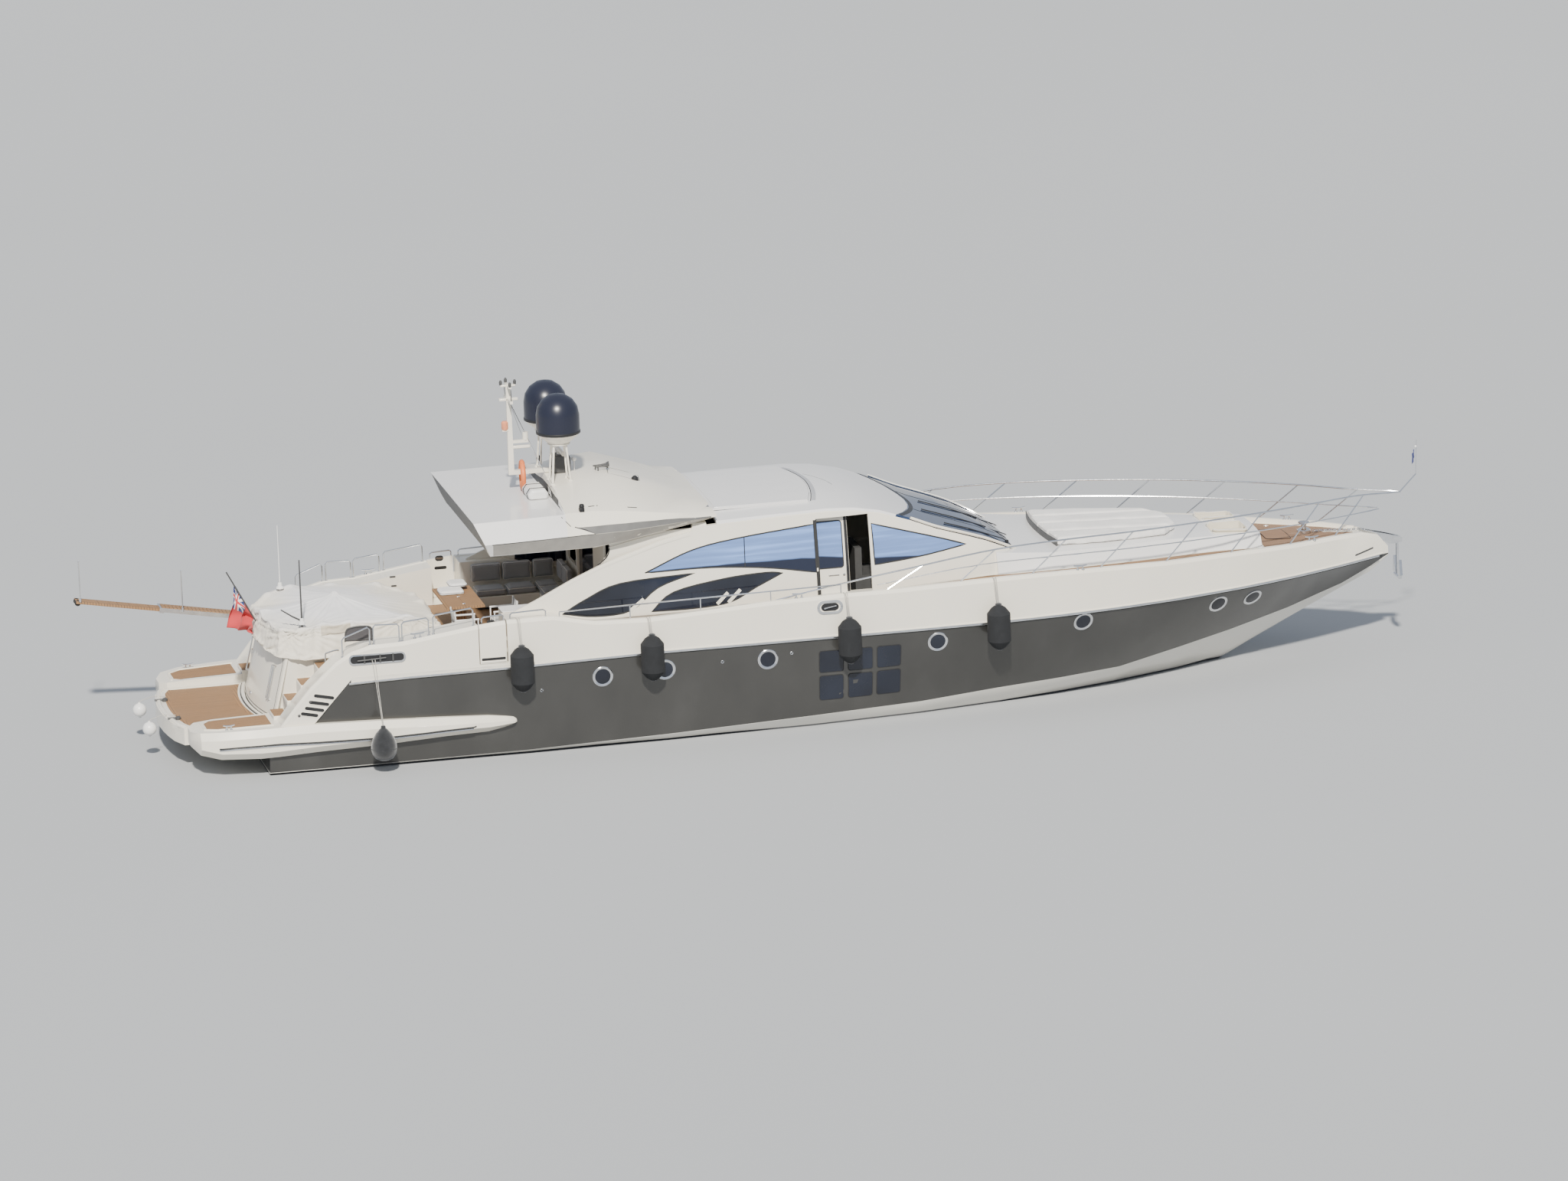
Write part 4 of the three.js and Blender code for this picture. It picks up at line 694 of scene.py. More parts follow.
def capsule(a, b, radius):
    """The outline of a slot with round ends about two points."""
    start = math.atan2(b[1] - a[1], b[0] - a[0])
    made = []
    for (cx, cz), turn in ((b, -math.pi / 2), (a, math.pi / 2)):
        for t in (start + turn + math.pi * k / 6 for k in range(7)):
            made.append((cx + radius * math.cos(t), cz + radius * math.sin(t)))
    return made


def at_station(table, x):
    """Values of a table's columns at one station, straight between its rows."""
    if x <= table[0][0]:
        return table[0]
    for before, after in zip(table, table[1:]):
        if x <= after[0]:
            share = (x - before[0]) / (after[0] - before[0])
            return tuple(p + (q - p) * share for p, q in zip(before, after))
    return table[-1]


def stretch(low, high, count):
    """So many numbers at even steps from one to another."""
    return [low + (high - low) * k / (count - 1) for k in range(count)]


def rub_half(x):
    """Half the beam over the rub rail."""
    forward = max(0.0, (x - 2.0) / 11.35)
    aft = max(0.0, (-6.0 - x) / 5.5)
    return max(0.03, 3.1 * (1 - forward**2.4) - 0.13 * aft**1.5)


# Station and height of the gunwale
GUNWALE = [
    (-11.24, 1.06), (-10.9, 1.48), (-10.59, 1.83), (-10.04, 2.33), (-9.7, 2.53), (-9.3, 2.64), (-8.63, 2.66),
    (-7.07, 2.88), (-6.41, 2.94), (-5.45, 2.94), (-4.57, 2.76), (-3.45, 2.72), (-0.94, 2.85), (0.73, 2.89),
    (2.0, 2.89), (3.9, 2.93), (4.84, 2.93), (6.34, 2.89), (7.85, 2.82), (9.6, 2.76), (10.94, 2.68),
    (12.0, 2.64), (12.67, 2.58), (13.1, 2.44), (13.35, 2.15),
]


def gunwale(x):
    return at_station(GUNWALE, x)[1]


# Hull and topsides: portholes, square windows, strake, louvers, fairleads, bands on the pods

SIDE_NODES = ("hull", "hull_stern", "topsides")
# Centres on the hull's side, as station and height
PORTHOLES = [(-4.45, 1.57), (-3.12, 1.60), (-0.93, 1.63), (2.73, 1.68), (5.94, 1.77), (9.1, 1.67),
             (9.95, 1.65)]
DRAINS = [(-5.75, 1.38), (-1.9, 1.66), (-0.42, 1.72)]
# Turned profiles, as radius and height above the skin
PORTHOLE_RIM = [(0.218, -0.02), (0.218, 0.012), (0.205, 0.022), (0.165, 0.006), (0.165, -0.02)]
PORTHOLE_GLASS = [(0, -0.02), (0.168, -0.02), (0.168, 0.001), (0.1, 0.006), (0, 0.008)]
DRAIN = [(0.035, -0.01), (0.035, 0.01), (0.028, 0.016), (0.018, 0.006), (0.018, -0.01)]
# Spans of the square windows along the hull and in height
WINDOW_COLUMNS = [(0.18, 0.68), (0.80, 1.31), (1.42, 1.92)]
WINDOW_ROWS = [(0.62, 1.14), (1.23, 1.69)]
# Station and height of the groove along each pod, and the stations where it is laid on the pod's skin
POD_GROOVE = [(-12.7, 0.7), (-11.4, 0.74), (-10.3, 0.715), (-8.9, 0.7), (-7.8, 0.738), (-7.24, 0.752),
              (-7.18, 0.772)]
POD_KNOTS = (-12.55, -12.5, -12.1, -11.7, -11.3, -10.9, -10.5, -10.0, -9.5, -9.0, -8.6)
# Columns: station, outer half width, top and bottom of the blunt nose over the end of each pod
POD_NOSE = [(-8.42, 3.197, 1.018, 0.547), (-7.8, 3.194, 0.994, 0.577), (-6.9, 3.188, 0.948, 0.6),
            (-6.55, 3.15, 0.9, 0.655), (-6.36, 3.11, 0.865, 0.69), (-6.3, 3.06, 0.84, 0.72)]
LOUVERS = [((-10.5, 1.67), (-10.15, 1.60)), ((-10.61, 1.54), (-10.26, 1.47)),
           ((-10.70, 1.42), (-10.37, 1.35)), ((-10.79, 1.31), (-10.50, 1.25))]
# Station and height of the steel strake, which sweeps down towards the stern
STRAKE_LINE = [(-9.75, 1.865), (-8.6, 1.9), (-6.5, 1.925), (-5.2, 1.95), (-3.4, 1.985), (13.4, 1.985)]
STRAKE_STATIONS = stretch(-9.745, -3.3, 20)
BUTTON = [(0, -0.01), (0.03, -0.01), (0.03, 0.008), (0.018, 0.014), (0, 0.014)]


def add_hull_windows(side_name, side):
    """Portholes, drains and the square windows with their gaskets."""
    seen = ("y", side)
    for name, look, spots, profile, sides in (
        ("porthole_rims", "steel", PORTHOLES, PORTHOLE_RIM, 36),
        ("porthole_glass", "black_glass", PORTHOLES, PORTHOLE_GLASS, 36),
        ("hull_drains", "steel", DRAINS, DRAIN, 16),
    ):
        seats = [onto(("hull",), x, z, seen) for x, z in spots]
        piece(f"{name}_{side_name}", look, *(lathe(profile, at, normal, sides) for at, normal, _ in seats))
    panes = [rounded(*column, *row, 0.05) for column in WINDOW_COLUMNS for row in WINDOW_ROWS]
    piece(f"hull_window_panes_{side_name}", "black_glass",
          *(patch(pane, ("hull",), seen, 0.007, 0.02) for pane in panes))
    edges = [rounded(c[0] - 0.018, c[1] + 0.018, r[0] - 0.018, r[1] + 0.018, 0.06)
             for c in WINDOW_COLUMNS for r in WINDOW_ROWS]
    piece(f"hull_window_gaskets_{side_name}", "rubber",
          *(patch(edge, ("hull",), seen, 0.003, 0.012) for edge in edges))


def add_strake(side_name, side):
    """The steel strake with the moulding above it, and the topsides' apron down to it."""
    seen = ("y", side)
    apron = [(x, 2.005) for x in STRAKE_STATIONS]
    apron += [(x, at_station(STRAKE_LINE, x)[1]) for x in reversed(STRAKE_STATIONS)]
    piece(f"topside_apron_{side_name}", "cream", patch(apron, SIDE_NODES, seen, 0.004, 0.012))
    line = [onto(("topsides",), x, 2.02, seen)[0] + Vector((0, side * 0.002, 0))
            for x in stretch(-3.4, 13.2, 60)]
    piece(f"rub_moulding_{side_name}", "cream", pipe(line, 0.02, 10))
    line = [onto(SIDE_NODES, x, at_station(STRAKE_LINE, x)[1], seen)[0] + Vector((0, side * 0.006, 0))
            for x in stretch(-9.79, 13.1, 90)]
    piece(f"rub_strake_{side_name}", "steel", pipe(line, 0.027, 12))
    piece(f"strake_shadow_line_{side_name}", "black",
          pipe([p - Vector((0, side * 0.008, 0.036)) for p in line], 0.009, 6))


def add_louvers(side_name, side):
    """The louvers in the quarter and the slot in the bow."""
    seen = ("y", side)
    slots = [patch(capsule(a, b, 0.036), ("topsides",), seen, 0.004, 0.02) for a, b in LOUVERS]
    piece(f"quarter_louvers_{side_name}", "black", *slots)
    lips = [ribbon(capsule(a, b, 0.043), 0.014, ("topsides",), seen, 0.009, 0.014, closed=True)
            for a, b in LOUVERS]
    piece(f"louver_lips_{side_name}", "cream", *lips)
    piece(f"bow_slot_{side_name}", "dark",
          patch(capsule((12.5, 2.13), (12.95, 2.19), 0.018), ("topsides",), seen, 0.003, 0.012, 0.1))


def add_midship_fairlead(side_name, side):
    """An oval ring in the bulwark with a horned bar across it."""
    seen = ("y", side)
    x, z = 0.43, 2.64
    oval = rounded(-0.25, 0.25, -0.12, 0.12, 0.12, 8)
    ring = [(x + u, z + v) for u, v in oval]
    middle = [(x + u * 0.75, z + v * 0.68) for u, v in oval]
    piece(f"midship_fairlead_{side_name}", "steel",
          ribbon(ring, 0.055, ("topsides",), seen, 0.016, 0.03, closed=True))
    piece(f"midship_fairlead_mouth_{side_name}", "black",
          patch(middle, ("topsides",), seen, 0.005, 0.015, 0.1))
    horn = onto(("topsides",), x, z, seen)[0] + Vector((0, side * 0.012, 0))
    bar = [horn + Vector((dx, side * 0.012, dz)) for dx, dz in ((-0.13, -0.02), (0.0, 0.0), (0.13, 0.02))]
    piece(f"midship_fairlead_bar_{side_name}", "steel", pipe(bar, 0.016))


def add_quarter_fairlead(side_name, side):
    """A long frame in the quarter with three rollers and a bar across them."""
    seen = ("y", side)
    frame_line = rounded(-9.76, -8.6, 2.27, 2.46, 0.09, 6)
    piece(f"quarter_fairlead_{side_name}", "steel",
          ribbon(frame_line, 0.035, ("topsides",), seen, 0.02, 0.035, closed=True))
    piece(f"quarter_fairlead_mouth_{side_name}", "black",
          patch(rounded(-9.74, -8.62, 2.285, 2.445, 0.075, 6), ("topsides",), seen, 0.006, 0.02))
    bars = []
    for x in (-9.45, -9.12, -8.85):
        at = onto(("topsides",), x, 2.365, seen)[0]
        bars.append(pipe([at + Vector((0, side * 0.022, dz)) for dz in (-0.085, 0.085)], 0.022, 12))
    at = onto(("topsides",), -9.3, 2.36, seen)[0]
    bars.append(pipe([at + Vector((dx, side * 0.04, dz))
                      for dx, dz in ((-0.3, -0.01), (0.0, 0.0), (0.3, 0.015))], 0.017))
    piece(f"quarter_fairlead_rollers_{side_name}", "dark", *bars)


def add_pod_nose(side_name, side):
    """The blunt nose over the end of a pod, and the groove and band along the pod."""
    seen = ("y", side)
    pod = (f"side_pod_{side_name}",)
    sections = []
    for x, outer, top, bottom in POD_NOSE:
        turn, drop = min(0.15, (outer - 2.6) * 0.35), min(0.15, (top - bottom) * 0.35)
        sections.append([(x, side * y, z) for y, z in (
            (2.6, bottom), (outer - turn, bottom), (outer, bottom + drop), (outer, top - drop),
            (outer - turn * 0.7, top), (2.6, top))])
    piece(f"pod_nose_{side_name}", "cream", loft(sections), bevel=0.004)
    groove = [onto(pod, x, at_station(POD_GROOVE, x)[1], seen)[0] for x in POD_KNOTS]
    groove += [Vector((x, side * at_station(POD_NOSE, x)[1], z))
               for x, z in ((-8.3, 0.718), *POD_GROOVE[-3:])]
    out = Vector((0, side * 0.003, 0))
    piece(f"pod_groove_{side_name}", "black", pipe([p + out for p in groove], 0.014, 10))
    piece(f"pod_band_{side_name}", "steel",
          pipe([p + out - Vector((0, 0, 0.034)) for p in groove[:-1]], 0.017, 10))


def add_courtesy_lights(side_name, side):
    """Two round lights in the quarter beside the louvers."""
    seats = [onto(("topsides",), x, z, ("y", side)) for x, z in ((-10.62, 1.55), (-10.86, 1.27))]
    piece(f"quarter_courtesy_lights_{side_name}", "dark",
          *(lathe(BUTTON, at, normal, 14) for at, normal, _ in seats))


for side_name, side in SIDES.items():
    for add in (add_hull_windows, add_strake, add_louvers, add_midship_fairlead, add_quarter_fairlead,
                add_pod_nose, add_courtesy_lights):
        add(side_name, side)

# Cabin: flush panes, gaskets, gill fins, door fittings, windscreen, roof seams

# Columns: station, half width at the deck, roof edge half width and height, centre height
CABIN = [
    (-6.3, 2.6, 2.4, 4.35, 4.48), (-4.3, 2.59, 2.38, 4.42, 4.56), (-2.0, 2.57, 2.33, 4.48, 4.64),
    (-0.7, 2.54, 2.29, 4.51, 4.66), (0.6, 2.49, 2.23, 4.53, 4.66), (1.2, 2.44, 2.19, 4.49, 4.59),
    (1.76, 2.4, 2.14, 4.38, 4.45), (2.44, 2.33, 2.08, 4.14, 4.2), (3.0, 2.26, 2.02, 3.9, 3.96),
    (3.64, 2.16, 1.93, 3.68, 3.73), (4.1, 2.06, 1.84, 3.51, 3.56), (4.6, 1.85, 1.65, 3.27, 3.33),
    (5.0, 1.5, 1.35, 3.03, 3.1), (5.25, 1.0, 0.9, 2.89, 2.93),
]
CABIN_FOOT = 2.7


def cabin_half(x, z):
    """Half the cabin's width at a station and a height."""
    _, foot, edge, edge_z, _ = at_station(CABIN, x)
    rise = max(0.0, z - CABIN_FOOT) / (edge_z - CABIN_FOOT)
    return foot + (edge - foot) * min(1.0, rise) ** 1.4


def cabin_ring(x, foot, edge, edge_z, centre_z):
    levels = [CABIN_FOOT + (edge_z - CABIN_FOOT) * share for share in (0.66, 0.33)]
    half = [(0, centre_z), (edge * 0.55, centre_z - (centre_z - edge_z) * 0.3),
            (edge - 0.06, edge_z + 0.005), (edge, edge_z - 0.06),
            *((cabin_half(x, z), z) for z in levels), (foot, CABIN_FOOT), (foot, 2.5), (0, 2.5)]
    return [(x, y, z) for y, z in half] + [(x, -y, z) for y, z in reversed(half[1:-1])]


# The cabin's outside without its openings, so that panes can be laid over them
SHELL = ("cabin_shell",)
TREES[SHELL] = BVHTree.FromPolygons(*loft([cabin_ring(*row) for row in CABIN]))


def flat_spline(points, per=4):
    """A smooth line through points of a plane."""
    return [(p.x, p.y) for p in spline([(u, v, 0) for u, v in points], per)]


def leaf(start, over, end, under):
    """A leaf-shaped outline: its upper line one way and its lower line back."""
    return flat_spline([start, *over, end]) + flat_spline([end, *under, start])[1:-1]


AFT_WINDOW = (flat_spline([(-3.36, 3.56), (-2.33, 3.95), (-1.25, 4.12), (0.31, 4.25)], 5)
              + flat_spline([(0.31, 3.25), (-0.76, 3.44), (-1.95, 3.55), (-3.36, 3.56)], 5)[:-1])
FORWARD_WINDOW = ([(1.58, 3.28)] + flat_spline([(1.56, 4.14), (2.44, 3.87), (3.1, 3.66), (3.64, 3.47)])
                  + flat_spline([(3.64, 3.47), (2.59, 3.35), (1.58, 3.28)])[1:-1])
GILLS = [
    leaf((-5.17, 2.85), [(-4.65, 3.12), (-3.9, 3.39)], (-2.3, 3.47),
         [(-3.1, 3.23), (-3.7, 2.8), (-4.45, 2.74)]),
    leaf((-3.27, 2.74), [(-2.78, 3.11), (-1.7, 3.3), (-0.79, 3.35)], (-0.42, 3.31),
         [(-1.0, 3.06), (-1.56, 2.8), (-2.3, 2.73)]),
]
FINS = [((-3.42, 3.02), (-3.72, 2.80)), ((-1.62, 3.0), (-1.86, 2.78)), ((-1.35, 3.04), (-1.62, 2.79))]


def shrunk(outline, by):
    """An outline moved inwards, for panes that sit inside their openings."""
    area = sum(a[0] * b[1] - b[0] * a[1] for a, b in zip(outline, outline[1:] + outline[:1]))
    turn = 1 if area > 0 else -1
    made = []
    for i, p in enumerate(outline):
        a, b = Vector(outline[i - 1]), Vector(outline[(i + 1) % len(outline)])
        along = (b - a).normalized()
        made.append((p[0] - along.y * by * turn, p[1] + along.x * by * turn))
    return made


def add_cabin_panes(side_name, side):
    """Window and gill panes with their gaskets and seams, and the fins over the gills."""
    seen = ("y", side)
    windows = [shrunk(o, 0.004) for o in (AFT_WINDOW, FORWARD_WINDOW)]
    gills = [shrunk(o, 0.004) for o in GILLS]
    piece(f"side_window_panes_{side_name}", "blue_glass",
          *(patch(o, SHELL, seen, -0.004, 0.012) for o in windows))
    piece(f"gill_panes_{side_name}", "black_glass", *(patch(o, SHELL, seen, -0.006, 0.012) for o in gills))
    edges = [ribbon(shrunk(o, 0.002), 0.026, SHELL, seen, 0.003, 0.012, closed=True)
             for o in (AFT_WINDOW, FORWARD_WINDOW, *GILLS)]
    piece(f"window_gaskets_{side_name}", "rubber", *edges)
    seams = [ribbon([(-1.22, 3.49), (-1.2, 4.12)], 0.02, SHELL, seen, -0.001, 0.006),
             ribbon([(0.345, 2.74), (0.335, 4.33)], 0.075, SHELL, seen, 0.002, 0.006)]
    piece(f"window_seams_{side_name}", "rubber", *seams)
    fins = [ribbon([a, b], 0.07, SHELL, seen, 0.004, 0.02, 0.08) for a, b in FINS]
    piece(f"gill_fins_{side_name}", "cream", *fins)


def add_side_door(side_name, side):
    """The sliding door's pane with its gasket, edge and handle."""
    seen = ("y", side)
    door, door_body = (f"side_door_{side_name}",), f"side_door_{side_name}"
    pane = rounded(-0.08, 0.93, 3.27, 4.24, 0.06)
    piece(f"door_pane_{side_name}", "blue_glass", patch(pane, door, seen, 0.006, 0.014), body=door_body)
    piece(f"door_gasket_{side_name}", "rubber", ribbon(pane, 0.022, door, seen, 0.009, 0.014, closed=True),
          body=door_body)
    post = patch([(0.985, 2.75), (1.045, 2.75), (1.045, 4.32), (0.985, 4.32)], door, seen, 0.004, 0.01)
    piece(f"door_edge_{side_name}", "black", post, body=door_body)
    grip = [onto(door, x, 3.12, seen)[0] for x in (0.6, 0.82)]
    out = Vector((0, side * 0.02, 0))
    bar = pipe([grip[0], grip[0] + out, grip[1] + out, grip[1]], 0.009, 8)
    lock = lathe([(0, -0.005), (0.028, -0.005), (0.028, 0.008), (0.012, 0.014), (0, 0.014)],
                 onto(door, 0.93, 3.11, seen)[0], (0, side, 0), 16)
    piece(f"door_handle_{side_name}", "steel", bar, lock, body=door_body)


def add_door_frame(side_name, side):
    """The doorway's jamb and sill."""
    jamb = []
    for z in (2.74, 3.27, 3.8, 4.33):
        inner = 2.372 + cabin_half(1.5, z) - cabin_half(1.5, CABIN_FOOT)
        outer = cabin_half(0.31, z) - 0.07
        corners = ((0.3, inner), (0.345, inner), (0.345, outer), (0.3, outer))
        jamb.append([(x, side * y, z) for x, y in corners])
    piece(f"door_jamb_{side_name}", "cream", loft(jamb))
    near, far = sorted((side * 2.33, side * 2.46))
    sill = block((0.36, near, 2.725), (1.49, far, 2.738))
    piece(f"door_sill_{side_name}", "steel", sill, bevel=0.003)


for side_name, side in SIDES.items():
    for add in (add_cabin_panes, add_side_door, add_door_frame):
        add(side_name, side)

# Windscreen: border, mullions, wipers and the spars along its edges
EDGE = [(2.76 - 0.68 * t * t, 2.15 * t) for t in stretch(-0.93, 0.93, 15)]
screen = ("windscreen",)
piece("windscreen_head_band", "black",
      ribbon([(x + 0.07, y) for x, y in EDGE], 0.09, screen, ABOVE, 0.003, 0.01))
mullions = [ribbon([(x, side * y) for x, y in ((2.78, 0.86), (3.9, 0.78), (4.95, 0.62))], 0.028, screen,
                   ABOVE, 0.004, 0.01) for side in (-1, 1)]
piece("windscreen_mullions", "black", *mullions)
for side_name, side in SIDES.items():
    rows = [row for row in CABIN if 2.0 < row[0] < 5.2]
    spar = [(x, side * (edge - 0.02), edge_z + 0.012) for x, _, edge, edge_z, _ in rows]
    piece(f"windscreen_spar_{side_name}", "cream", pipe(spar, 0.03, 10, smooth=True))
    trim = [(x, side * (edge - 0.075), edge_z + 0.02) for x, _, edge, edge_z, _ in rows]
    piece(f"windscreen_trim_{side_name}", "steel", pipe(trim, 0.011, 8, smooth=True))
WIPERS = [((4.98, -0.35), (3.0, -0.62)), ((4.95, 0.55), (3.15, 0.35)), ((4.7, -1.2), (3.3, -1.45))]
arms, blades, pivots = [], [], []
for base, tip in WIPERS:
    foot, head = (onto(screen, *p, ABOVE)[0] for p in (base, tip))
    lift = Vector((0.02, 0, 0.05))
    arms.append(pipe([foot + Vector((0, 0, 0.02)), foot.lerp(head, 0.08) + lift,
                      foot.lerp(head, 0.62) + lift * 0.7], 0.011, 6))
    middle = [foot.lerp(head, share) for share in (0.28, 0.62, 1.0)]
    on_glass = [onto(screen, p.x, p.y, ABOVE)[0] + Vector((0, 0, 0.018)) for p in middle]
    blades.append(pipe(on_glass, 0.013, 6))
    pivots.append(lathe([(0, -0.01), (0.04, -0.01), (0.034, 0.05), (0, 0.055)], foot, (0, 0, 1), 14))
piece("wiper_arms", "black", *arms, *pivots)
piece("wiper_blades", "rubber", *blades)

# The closing panel between the hardtop and the cabin's arc, its rib, and a lip along the arc's upper edge
CLOSING = [(-4.2, 4.35), (-4.12, 4.27), (-4.07, 4.16), (-4.07, 4.04), (-4.12, 3.93), (-4.22, 3.84),
           (-4.32, 3.77), (-3.0, 4.12), (-2.36, 4.27), (-2.3, 4.36), (-2.3, 4.39)]
ARC = [(-5.62, 3.215), (-4.9, 3.545), (-4.25, 3.8), (-3.0, 4.165), (-2.36, 4.3)]
for side_name, side in SIDES.items():
    near, far = sorted((side * 2.26, side * 2.3))
    rim = [(x, side * 2.305, z) for x, z in CLOSING[:7]]
    piece(f"arc_closing_panel_{side_name}", "cream", prism(CLOSING, "y", near, far), bevel=0.004)
    rib = [(x, side * 2.302, z) for x, z in ((-4.07, 4.12), (-3.4, 4.26), (-2.7, 4.36))]
    piece(f"arc_closing_rib_{side_name}", "cream", pipe(rib, 0.016, 8, smooth=True))
    piece(f"arc_opening_trim_{side_name}", "rubber", pipe(rim, 0.012, 8, smooth=True))
    lip = [(x, z - 0.03) for x, z in ARC]
    piece(f"arc_lip_{side_name}", "cream", ribbon(lip, 0.045, SHELL, ("y", side), 0.007, 0.014, 0.12))


def roof_arc(x, half, reach):
    """A line across the roof that bows forward in its middle."""
    return [(x - 0.25 * t * t, half * t) for t in stretch(-reach, reach, 15)]


# The roof's seams, and the sunroof panel's skin, which stands a little proud of the roof
roof_seam = [(0.75, 0.72), (0.89, 0.51), (1.04, 0.2), (1.12, -0.1), (1.16, -0.3)]
piece("roof_seam_forward", "dark", ribbon(roof_seam, 0.01, ("cabin_roof",), ABOVE, 0.002, 0.006))
skin = [(-1.66, -1.63), *roof_arc(0.585, 1.63, 1.0), (-1.66, 1.63)]
piece("sunroof_skin", "cool", patch(skin, ("sunroof_panel",), ABOVE, 0.014, 0.018), body="sunroof",
      bevel=0.006)
piece("sunroof_gap", "black",
      ribbon(roof_arc(0.633, 1.69, 0.95), 0.02, ("cabin_roof",), ABOVE, 0.003, 0.012, 0.12))
# A grey band painted as the shade in the recess in front of the sunroof panel
piece("sunroof_gutter_painted_shade", "grey_shade",
      ribbon(roof_arc(0.688, 1.72, 0.92), 0.085, ("cabin_roof",), ABOVE, 0.003, 0.01, 0.12))

# Teak on the side decks, bow, platform, wings and steps; cleats and deck fittings


def deck_inner(x):
    """Inner edge of the side deck's teak, beside the cabin and the trunk."""
    trunk = at_station([(4.3, 2.15), (5.5, 2.08), (7.0, 1.8), (8.2, 1.48), (9.4, 1.2), (10.3, 1.1)], x)[1]
    return (at_station(CABIN, x)[1] if x < 4.3 else trunk) + 0.04


deck, MARGIN = ("topsides",), 0.235
for side_name, side in SIDES.items():
    stations = stretch(-3.9, 10.3, 26)
    inner = [(x, side * deck_inner(x)) for x in stations]
    outer = [(x, side * (rub_half(x) - MARGIN)) for x in reversed(stations)]
    piece(f"side_deck_teak_{side_name}", "teak", patch(inner + outer, deck, ABOVE, 0.006, 0.02))
stations = stretch(10.36, 12.55, 9)
bow = [(x, rub_half(x) - MARGIN) for x in stations]
outline = bow + [(x, -y) for x, y in reversed(bow)]
piece("bow_deck_teak", "teak_dark", patch(outline, deck, ABOVE, 0.006, 0.02))
hatch = rounded(10.55, 11.1, -0.45, 0.45, 0.05)
piece("chain_locker_hatch", "teak_dark", patch(hatch, deck, ABOVE, 0.02, 0.02))
piece("chain_locker_seam", "black", ribbon(hatch, 0.012, deck, ABOVE, 0.022, 0.01, closed=True))

platform, PLATFORM_LEVEL = ("swim_platform",), 0.885


def aft_edge(y):
    """Station of the platform's after edge, bowed and stepped back at its ends."""
    return -13.35 + 0.07 * y * y + (0.06 if abs(y) > 1.5 else 0)


def garage_foot(y):
    """Station of the garage door's foot."""
    return -11.45 + 0.083 * y * y


across = stretch(-1.56, 1.56, 13)
main = [(aft_edge(y) + 0.22, y) for y in across] + [(garage_foot(y) - 0.16, y) for y in reversed(across)]
piece("platform_teak", "teak", patch(main, platform, ABOVE, 0.008, 0.02))
margins = [ribbon([(aft_edge(y) + 0.26, y) for y in across], 0.09, platform, ABOVE, 0.011, 0.02),
           ribbon([(garage_foot(y) - 0.2, y) for y in across], 0.09, platform, ABOVE, 0.011, 0.02)]
piece("platform_teak_margins", "teak_across", *margins)
rim = [(aft_edge(y) + 0.07, y, 0.875) for y in stretch(-1.68, 1.68, 17)]
piece("platform_aft_rim", "cream", pipe(rim, 0.05, 10))
foot_line = [(garage_foot(y) - 0.05, y) for y in stretch(-1.64, 1.64, 15)]
piece("garage_foot_moulding", "cream", ribbon(foot_line, 0.06, platform, ABOVE, 0.03, 0.04))
piece("garage_foot_seal", "black",
      ribbon([(x - 0.045, y) for x, y in foot_line], 0.02, platform, ABOVE, 0.012, 0.02))
wells = []
for y in (0.68, -0.93):
    seat = Vector((aft_edge(y) + 0.2, y, PLATFORM_LEVEL))
    wells.append(lathe([(0, 0), (0.06, 0), (0.06, 0.05), (0.03, 0.07), (0, 0.075)], seat, sides=16))
    wells.append(pipe([seat + Vector((0, 0, 0.04)), seat + Vector((-0.22, 0.03, 0.03))], 0.022, 8))
piece("platform_bollards", "dark", *wells)
for side_name, side in SIDES.items():
    pod = (f"side_pod_{side_name}",)
    strip = [(x, side * y) for x, y in (
        (-12.72, 2.0), (-12.72, 2.46), (-12.5, 2.6), (-11.4, 2.68), (-11.4, 1.86), (-12.6, 1.86))]
    piece(f"wing_teak_{side_name}", "teak", patch(strip, pod, ABOVE, 0.007, 0.02))
    edge_line = [(x, side * y) for x, y in ((-12.78, 1.9), (-12.78, 2.48), (-12.53, 2.66), (-11.36, 2.74))]
    piece(f"wing_lip_{side_name}", "cream", ribbon(edge_line, 0.03, pod, ABOVE, 0.02, 0.03))

